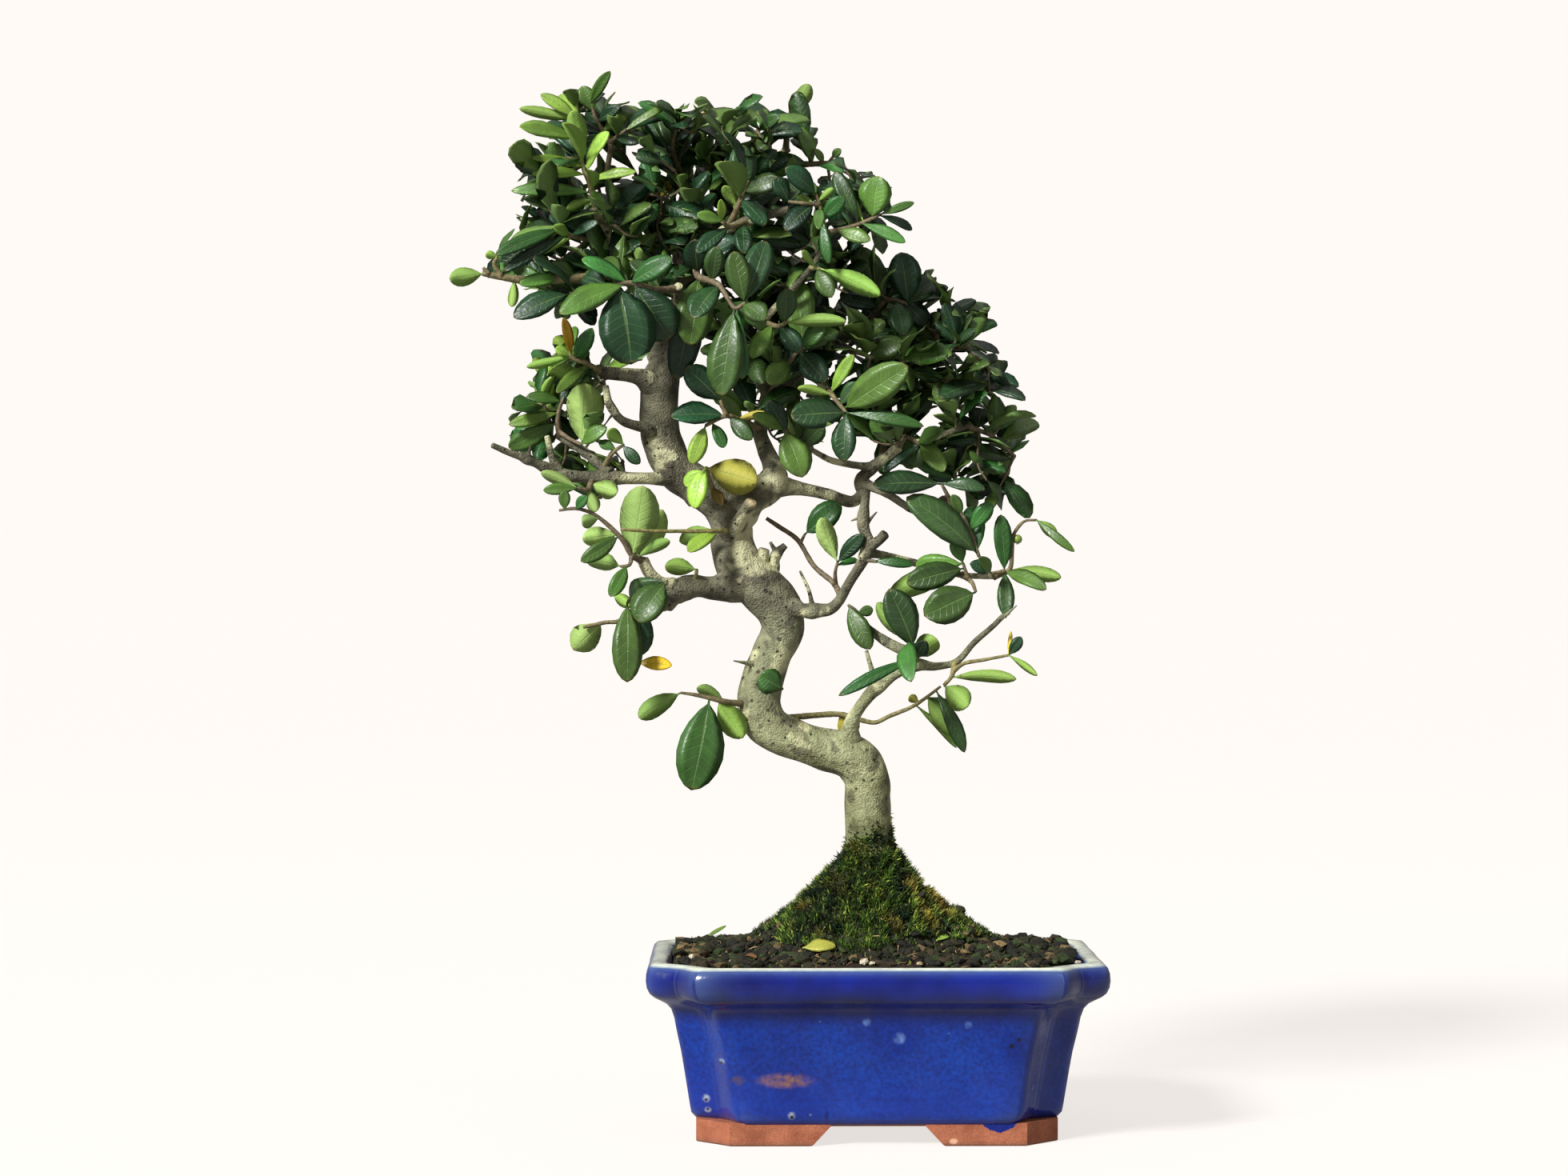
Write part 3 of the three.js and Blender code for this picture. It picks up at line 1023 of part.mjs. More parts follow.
// A wedge wider at the floor, along Y or X: what lies open between two feet. It stops just under
// the pot's floor.
function footGap({ top, floor }, along) {
  const slope = (floor - top) / 2 / FOOT_HEIGHT;
  const shape = new THREE.Shape();
  shape.moveTo(-floor / 2 - slope, -1);
  shape.lineTo(floor / 2 + slope, -1);
  shape.lineTo(top / 2, FOOT_HEIGHT - GAP_MARGIN);
  shape.lineTo(-top / 2, FOOT_HEIGHT - GAP_MARGIN);
  const geometry = new THREE.ExtrudeGeometry(shape, { depth: POT_WIDTH, bevelEnabled: false });
  geometry.translate(0, 0, -POT_WIDTH / 2).rotateX(Math.PI / 2);
  return solidOf(along === "y" ? geometry : geometry.rotateZ(Math.PI / 2));
}

// The four feet as one ring with gaps: its top is sunk into the pot's floor.
function feet() {
  const shape = new THREE.Shape(potOutline(FOOT_INSET, CHAMFER));
  shape.holes.push(new THREE.Path(potOutline(FOOT_INSET + FOOT_WALL, CHAMFER)));
  const ring = slab(shape, 0, FOOT_HEIGHT + FOOT_SUNK);
  return ring.subtract(footGap(FRONT_GAP, "y")).subtract(footGap(SIDE_GAP, "x"));
}

const drainPlaces = [-DRAIN_SPREAD, DRAIN_SPREAD];

function pot() {
  const outside = OUTER_PROFILE.map(([inset, height]) => levelRing(potOutline(inset, NOTCH), height));
  const inside = INNER_PROFILE.map(([inset, height]) => levelRing(potOutline(inset, ROUND), height));
  const shell = solidOf(skin([...outside, ...inside])).add(feet());
  return drainPlaces.reduce((body, x) => {
    const hole = new THREE.CylinderGeometry(DRAIN_RADIUS, DRAIN_RADIUS, FLOOR_TOP, 20);
    return body.subtract(solidOf(hole.rotateX(Math.PI / 2).translate(x, 0, FLOOR_TOP - 2)));
  }, shell);
}

// A square sheet of coarse mesh that keeps the soil in over a drain hole.
function drainSheet(x) {
  const low = FLOOR_TOP + CLEARANCE;
  const block = (side, cx, cy) => {
    const box = new THREE.BoxGeometry(side, side, MESH_THICKNESS * (side < MESH_SIDE ? 3 : 1));
    return solidOf(box.translate(cx, cy, low + MESH_THICKNESS / 2));
  };
  const pitch = MESH_SIDE / 4;
  const steps = [-pitch, 0, pitch];
  const holes = steps.flatMap((across) => steps.map((back) => block(MESH_HOLE, x + across, back)));
  return block(MESH_SIDE, x, 0).subtract(wasm.Manifold.union(holes));
}

// The room that a sheet takes up in the soil.
function drainSpace(x) {
  const side = MESH_SIDE + 2 * CLEARANCE;
  const box = new THREE.BoxGeometry(side, side, MESH_THICKNESS + 2 * CLEARANCE);
  return solidOf(box.translate(x, 0, FLOOR_TOP + CLEARANCE + MESH_THICKNESS / 2));
}

// Height of the soil: level at the wall, heaped up to the trunk.
function soilHeight(x, y) {
  const far = Math.hypot(x - MOUND.centre[0], (y - MOUND.centre[1]) * MOUND.squash);
  return SOIL_EDGE + MOUND.height * Math.exp(-((far / MOUND.reach) ** MOUND.power));
}

// How far a convex outline lies from the mound's middle in a direction.
function reachOf(outline, turn) {
  const middle = new THREE.Vector2(...MOUND.centre);
  const ray = new THREE.Vector2(Math.cos(turn), Math.sin(turn));
  const reaches = outline.map((start, i) => {
    const run = outline[(i + 1) % outline.length].clone().sub(start);
    const gap = start.clone().sub(middle);
    const slant = ray.cross(run);
    const along = gap.cross(ray) / slant;
    return along >= 0 && along <= 1 && gap.cross(run) / slant > 0 ? gap.cross(run) / slant : Infinity;
  });
  return Math.min(...reaches);
}

// The directions round the trunk in which the ground is measured, and the shares of the moss's
// reach. Beyond the moss the soil runs on to the wall.
const SECTORS = 20;
const TURNS = Array.from({ length: SECTORS }, (_, i) => (2 * Math.PI * (i + 0.5)) / SECTORS);
const MOSS_SHARES = [0.16, 0.33, 0.5, 0.68, 0.85, 1];
const BEYOND_SHARES = [0.92, 0.4];

// A point of the ground at a distance from the mound's middle, lifted off the soil.
function onGround(far, turn, lift = 0) {
  const x = MOUND.centre[0] + far * Math.cos(turn);
  const y = MOUND.centre[1] + far * Math.sin(turn);
  return vector(x, y, soilHeight(x, y) + lift);
}

// How far the moss reaches from the trunk in a direction: its edge is ragged.
function mossReach(turn) {
  const ragged = MOSS_RADIUS + 5 * Math.sin(3 * turn + 1) + 3 * Math.sin(7 * turn);
  return ragged / Math.hypot(Math.cos(turn), MOUND.squash * Math.sin(turn));
}

// Thickness of the moss: cushions that thin out at the edge, and a collar up the trunk.
function mossDepth(share, turn) {
  const far = share * mossReach(turn);
  const cushions = 1 + 0.25 * Math.sin(0.5 * far + 2 * turn) * Math.cos(5 * turn + 0.3 * far);
  const collar = MOSS_COLLAR.height * Math.exp(-((far / MOSS_COLLAR.reach) ** 4));
  return MOSS_EDGE + MOSS_DEPTH * cushions * (1 - share ** 3) + collar * (1 + 0.4 * Math.cos(turn));
}

// The soil: it fills the cavity clear of its wall, with a plain hole for the trunk.
function soil(trunkSpace) {
  const outlineAt = (height) => potOutline(cavityInset(height) + WALL_GAP, ROUND);
  const heights = INNER_PROFILE.slice(1, -1).map(([, height]) => height);
  const walls = [FLOOR_TOP + CLEARANCE, ...heights.reverse(), SOIL_EDGE - 1].map((height) =>
    TURNS.map((turn) => {
      const far = reachOf(outlineAt(height), turn);
      return vector(MOUND.centre[0] + far * Math.cos(turn), MOUND.centre[1] + far * Math.sin(turn), height);
    }),
  );
  const edge = outlineAt(SOIL_EDGE);
  const beyond = BEYOND_SHARES.map((share) =>
    TURNS.map((turn) => onGround(lerp(mossReach(turn), reachOf(edge, turn), share), turn)),
  );
  const heap = MOSS_SHARES.toReversed().map((share) =>
    TURNS.map((turn) => onGround(share * mossReach(turn), turn)),
  );
  const fill = solidOf(skin([...walls, ...beyond, ...heap, [onGround(0, 0)]]));
  return drainPlaces.reduce((body, x) => body.subtract(drainSpace(x)), fill.subtract(trunkSpace));
}

// The moss: a blanket over the mound, raised from the soil by the formula above.
function moss(trunkSpace) {
  const layer = (share, lift) =>
    TURNS.map((turn) => onGround(share * mossReach(turn), turn, 2 * CLEARANCE + lift(share, turn)));
  const under = MOSS_SHARES.map((share) => layer(share, () => 0));
  const over = MOSS_SHARES.toReversed().map((share) => layer(share, mossDepth));
  return solidOf(skin([...under, ...over])).subtract(trunkSpace);
}

// Builds the tree: one solid of wood, and one of each spray, a twig with its leaves. A spray sits
// 0.3 mm off the wood, and a leaf that would cross anything else is left out.
function tree() {
  const routes = WOOD.map(([, , points]) => routeOf(points));
  const sprays = SPRAYS.map(([name, [main, ...side], rows, more]) => {
    const twigs = [rootOnWood(routeOf(main), routes), ...side.map(routeOf)];
    return { name, routes: twigs, free: twigs.map((twig) => freePart(twig, routes)), rows, more };
  });
  const woodOf = (grow) => wasm.Manifold.union(WOOD.map(([, sides], i) => limb(routes[i], sides, grow)));
  const trunkSpace = woodOf(CLEARANCE);
  const bodies = sprays.map(({ name, routes: twigs }) => {
    return { name, body: wasm.Manifold.union(twigs.map((route) => seatedTwig(route, trunkSpace))) };
  });
  const placed = [{ body: trunkSpace, spray: -1 }, ...bodies.map(({ body }, spray) => ({ body, spray }))];
  placed.forEach((piece) => (piece.box = boxOf(piece.body)));
  const blades = sprays.map(() => []);
  for (const { leaf, bend, spray, named } of settledLeaves(sprays, routes)) {
    const wide = blade(leaf, bend, named, CLEARANCE);
    const box = boxOf(wide);
    const crossed = placed.some(
      (other) =>
        other.box.intersectsBox(box) &&
        !(other.spray === spray && (named || !other.leaf)) &&
        !wide.intersect(other.body).isEmpty(),
    );
    if (crossed) continue;
    const body = blade(leaf, bend, named);
    placed.push({ body, spray, box, leaf: true });
    blades[spray].push(body);
  }
  bodies.forEach((piece, spray) => {
    piece.body = largest(wasm.Manifold.union([piece.body, ...blades[spray]]));
  });
  return { wood: woodOf(0), trunkSpace, sprays: bodies };
}

function boxOf(solid) {
  const { min, max } = solid.boundingBox();
  return new THREE.Box3(vector(...min), vector(...max));
}

function fruit() {
  const [, across, down, depth, radius] = FRUIT;
  const place = sighted([across, down, depth]);
  return solidOf(new THREE.IcosahedronGeometry(radius, 1).translate(place.x, place.y, place.z));
}

function namedMesh(name, solid, look) {
  const mesh = new THREE.Mesh(geometryOf(solid), new THREE.MeshStandardMaterial(look));
  mesh.name = name;
  return mesh;
}

const { wood, trunkSpace, sprays } = tree();
const bonsai = new THREE.Group();
bonsai.add(namedMesh("pot", pot(), GLAZE));
bonsai.add(namedMesh("drain_mesh_left", drainSheet(-DRAIN_SPREAD), DRAIN_MESH));
bonsai.add(namedMesh("drain_mesh_right", drainSheet(DRAIN_SPREAD), DRAIN_MESH));
bonsai.add(namedMesh("soil", soil(trunkSpace), SOIL));
bonsai.add(namedMesh("moss", moss(trunkSpace), MOSS));
bonsai.add(namedMesh("trunk", wood, BARK));
for (const { name, body } of sprays) {
  const whole = name === FRUIT[0] ? largest(body.add(fruit())) : body;
  bonsai.add(namedMesh("spray_" + name, whole, LEAF));
}

// The origin lies under the middle of the whole object's box.
const whole = new THREE.Box3().setFromObject(bonsai);
const middle = whole.getCenter(vector(0, 0, 0));
bonsai.children.forEach((mesh) => mesh.geometry.translate(-middle.x, -middle.y, -whole.min.z));

export default bonsai;
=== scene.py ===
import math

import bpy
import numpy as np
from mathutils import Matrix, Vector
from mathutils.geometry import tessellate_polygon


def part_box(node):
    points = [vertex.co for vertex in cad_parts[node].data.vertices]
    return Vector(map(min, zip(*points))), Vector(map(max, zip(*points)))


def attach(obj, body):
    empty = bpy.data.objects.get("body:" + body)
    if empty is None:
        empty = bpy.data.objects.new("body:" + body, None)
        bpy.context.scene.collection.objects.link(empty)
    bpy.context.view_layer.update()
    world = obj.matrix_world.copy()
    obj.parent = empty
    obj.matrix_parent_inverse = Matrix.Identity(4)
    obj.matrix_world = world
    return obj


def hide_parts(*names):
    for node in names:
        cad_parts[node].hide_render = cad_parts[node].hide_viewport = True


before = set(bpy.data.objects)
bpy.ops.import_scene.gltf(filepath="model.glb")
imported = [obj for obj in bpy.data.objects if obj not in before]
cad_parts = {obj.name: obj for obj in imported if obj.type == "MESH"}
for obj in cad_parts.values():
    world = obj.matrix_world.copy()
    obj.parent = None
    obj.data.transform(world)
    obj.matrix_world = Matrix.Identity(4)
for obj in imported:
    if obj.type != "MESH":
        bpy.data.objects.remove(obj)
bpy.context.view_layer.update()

# Looks of the pyracantha bonsai in a blue glazed pot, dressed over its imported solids.
#
# Lengths here are millimetres round the middle of the pot, +Z up, the front of the tree facing -Y,
# as in the solids' own source; place() turns them into metres of the frame. A new piece is a numpy
# surface: arrays of points on rings, and the faces between them.

# Driving dimensions of the pot
POT_WIDTH, POT_DEPTH, POT_HEIGHT = 200, 150, 78.5
FOOT_HEIGHT, FOOT_INSET, FOOT_WALL, FOOT_SUNK, FOOT_EDGE = 8.5, 21.5, 15, 1.5, 0.7
FRONT_GAP = {"top": 41, "floor": 57}
SIDE_GAP = {"top": 30, "floor": 46}
FLOOR_TOP = 14
DRAIN_RADIUS, DRAIN_SPREAD = 9, 42
CAVITY_CORNER = 30

# Driving dimensions of the soil, the moss and the leaves
SOIL_EDGE, SOIL_FLOOR, WALL_GAP = 76.5, 14.3, 0.4
MOUND = {"centre": (-2, 0), "height": 45, "reach": 34, "power": 1.5, "squash": 1.2}
MOSS_RADIUS, MOSS_DEPTH, MOSS_EDGE, MOSS_LIFT = 50, 4.5, 0.8, 0.6
MOSS_COLLAR = {"height": 5, "reach": 15}
FOLD, BOW, STALK_HALF = 0.16, 0.07, 0.42

# Places on the tree are sighted from the front, as [across, down, depth]: across and down are
# counted in pixels of the photograph's 1960 x 1470 frame, depth in mm behind the pot's middle.
FRAME_SIZE = (1960, 1470)
FRAME_CENTRE = (980, 735)
FOCAL_LENGTH = 4392
SENSOR = 36
EYE = (-56, -1563, 240)
EYE_TURN = 0.01024

# Wood: [name, [[across, down, depth, radius in mm], ...]]. All of it grew as one piece.
WOOD = [
  ["trunk", [
    [1088, 1195, 0, 13], [1088, 1120, 0, 13], [1087, 1080, 0, 11.8], [1086, 1045, 0, 10.3],
    [1084, 1000, 0, 10], [1082, 970, 0, 10.2], [1066, 948, -2, 10.2], [1030, 937, -3, 9],
    [995, 925, -3, 9], [962, 909, -2, 9.6], [949, 882, 0, 9.6], [953, 850, 1, 9.2],
    [964, 818, 2, 9], [978, 788, 1, 9.3], [974, 760, 0, 10.6], [953, 735, -1, 11],
    [929, 712, -1, 11], [917, 682, 0, 10], [914, 655, 1, 9.2], [900, 628, 2, 9],
    [870, 606, 3, 9], [842, 583, 3, 9], [828, 548, 2, 9], [824, 510, 1, 8.7], [826, 475, 0, 8.3],
    [834, 450, 3, 6.5], [845, 405, 8, 5], [856, 350, 8, 4]]],
  ["shoulder", [[1072, 950, -2, 7], [1084, 934, -3, 5.2]]],
  ["branch_low_left", [
    [925, 728, -3, 6.5], [895, 735, -6, 4.7], [868, 733, -10, 4.2], [843, 742, -14, 3.8],
    [833, 757, -17, 3.0]]],
  ["stub_low_left", [
    [850, 737, -12, 3], [825, 728, -18, 2.8], [812, 716, -20, 2.7], [804, 701, -21, 2.6]]],
  ["branch_left", [
    [872, 616, 0, 5], [850, 601, -6, 3.2], [800, 598, -12, 2.6], [750, 597, -17, 2.5],
    [700, 594, -22, 2.3], [681, 587, -25, 2.0]]],
  ["snag_left", [
    [700, 593, -22, 2.0], [657, 573, -30, 1.7], [637, 566, -34, 1.5], [616, 557, -38, 1.2]]],
  ["branch_left_up", [[762, 592, -16, 2.3], [728, 563, -12, 2.0], [698, 545, -8, 1.6]]],
  ["branch_left_up_2", [[699, 592, -22, 1.9], [690, 571, -25, 1.6], [684, 546, -28, 1.2]]],
  ["cut_stub", [[912, 668, -5, 4], [926, 648, -13, 2.9], [939, 628, -19, 2.7]]],
  ["snag_1", [[950, 706, -2, 2.6], [955, 687, -3, 2.0]]],
  ["snag_2", [[965, 712, 0, 2.4], [970, 694, -2, 1.8], [981, 682, -2, 1.4]]],
  ["snag_3", [[971, 692, -2, 1.2], [963, 678, -3, 0.7]]],
  ["branch_right", [
    [982, 757, -4, 3.6], [1005, 763, -9, 2.8], [1035, 762, -12, 2.5], [1048, 752, -13, 2.3],
    [1063, 726, -14, 2.2], [1079, 700, -14, 2.1], [1085, 678, -14, 2.1], [1079, 655, -14, 2.0],
    [1083, 613, -13, 1.8]]],
  ["knob_right", [[1084, 684, -14, 2.1], [1098, 676, -16, 2.0], [1106, 668, -18, 2.2]]],
  ["twig_right_bare", [[1016, 760, -10, 1.1], [1011, 738, -12, 0.9], [1000, 714, -13, 0.6]]],
  ["branch_low_right", [
    [1060, 940, -4, 4.6], [1065, 902, -8, 3.0], [1082, 875, -12, 2.5], [1100, 856, -15, 2.3],
    [1123, 840, -18, 2.2], [1146, 831, -20, 2.1], [1170, 833, -22, 1.7], [1196, 827, -24, 1.5],
    [1217, 804, -26, 1.3], [1240, 784, -28, 1.1], [1255, 769, -29, 0.8]]],
  ["branch_low_right_up", [
    [1143, 831, -20, 2.1], [1133, 816, -18, 2.4], [1111, 804, -16, 2.3], [1091, 790, -14, 1.8],
    [1074, 773, -12, 1.0]]],
  ["stub_low_right", [[1098, 858, -15, 1.7], [1090, 838, -17, 1.2], [1083, 814, -18, 0.9]]],
  ["snag_dark", [
    [820, 543, -2, 2.6], [806, 535, -8, 2.3], [778, 526, -14, 2.0], [762, 506, -18, 1.8],
    [757, 483, -18, 1.4]]],
  ["fork_left", [
    [822, 484, -2, 5], [800, 472, -7, 3.3], [775, 468, -10, 2.9], [752, 466, -12, 2.5]]],
  ["crown_front", [
    [856, 350, 8, 3.8], [875, 315, -4, 3.2], [903, 290, -16, 2.7], [938, 275, -25, 2.3],
    [985, 262, -31, 1.8]]],
  ["crown_left", [[832, 455, 4, 5], [812, 405, 7, 3.7], [792, 355, 4, 3.2], [771, 312, -2, 2.8],
    [750, 278, -9, 2.4], [742, 262, -14, 2.0]]],
  ["crown_up", [[856, 352, 8, 3.8], [862, 290, 26, 3.0], [868, 240, 39, 2.5], [882, 195, 45, 2.0],
    [888, 178, 47, 1.7]]],
  ["crown_up_right", [
    [859, 320, 17, 3.0], [915, 252, 26, 2.6], [950, 215, 35, 2.1], [985, 186, 37, 1.7]]],
  ["crown_back", [[848, 395, 8, 4], [850, 360, 38, 2.9], [846, 300, 60, 2.3], [850, 255, 68, 1.7]]],
  ["crown_back_left", [
    [826, 440, 6, 3.5], [798, 408, 34, 2.8], [765, 370, 56, 2.2], [748, 335, 64, 1.6]]],
  ["crown_forward", [[846, 400, 6, 3.6], [848, 378, -22, 2.6], [848, 358, -34, 2.0]]],
  ["right_limb", [[908, 655, 0, 7], [938, 626, -3, 5.6], [963, 606, -4, 5.0], [968, 588, -1, 4.1],
    [957, 562, 5, 3.6], [950, 538, 8, 3.2], [964, 500, 15, 2.9], [1000, 460, 22, 2.6],
    [1040, 430, 27, 2.3], [1085, 405, 29, 2.0], [1118, 386, 30, 1.6]]],
  ["right_limb_low", [
    [960, 606, -4, 4.6], [1002, 611, 2, 2.9], [1035, 618, 4, 2.6], [1064, 627, 5, 2.5],
    [1078, 617, 5, 2.3], [1077, 600, 5, 2.2], [1090, 585, 4, 2.0], [1123, 559, 1, 1.6]]],
  ["right_limb_cross", [[1092, 585, 4, 1.7], [1041, 576, -6, 1.5], [1014, 562, -11, 1.2]]],
  ["right_limb_mid", [[998, 462, 21, 2.2], [1020, 474, -8, 1.8], [1036, 488, -24, 1.3]]],
  ["right_diagonal", [
    [962, 505, 15, 2.4], [946, 450, 0, 2.0], [957, 400, -20, 1.6], [988, 365, -26, 1.4],
    [1017, 330, -30, 1.2], [1032, 300, -32, 1.1], [1030, 282, -34, 1.0]]],
  ["right_far", [[1112, 390, 30, 1.7], [1160, 402, 20, 1.5], [1195, 428, 11, 1.2]]],
  ["right_far_low", [[1120, 561, 1, 1.7], [1170, 546, -1, 1.5], [1212, 532, 3, 1.2]]],
  ["right_back", [[1040, 430, 27, 2.3], [1060, 424, 60, 1.8], [1082, 432, 74, 1.4]]],
  ["right_reach", [
    [1077, 603, 5, 2.2], [1110, 618, -6, 1.8], [1150, 640, -14, 1.6], [1180, 622, -18, 1.2]]],
  ["right_edge_limb", [
    [1083, 690, -14, 2.0], [1130, 700, -2, 1.7], [1199, 718, -8, 1.4], [1244, 721, -13, 1.2]]],
  ["thorn_1", [[660, 575, -30, 1.2], [663, 557, -32, 0.3]]],
  ["thorn_2", [[1082, 655, -13, 1.0], [1096, 640, -15, 0.3]]],
  ["thorn_3", [[1080, 645, -14, 1.0], [1064, 651, -15, 0.3]]],
  ["thorn_4", [[946, 831, -2, 1.4], [917, 826, -12, 0.3]]],
  ["thorn_5", [[1255, 771, -29, 0.8], [1271, 757, -30, 0.3]]],
]

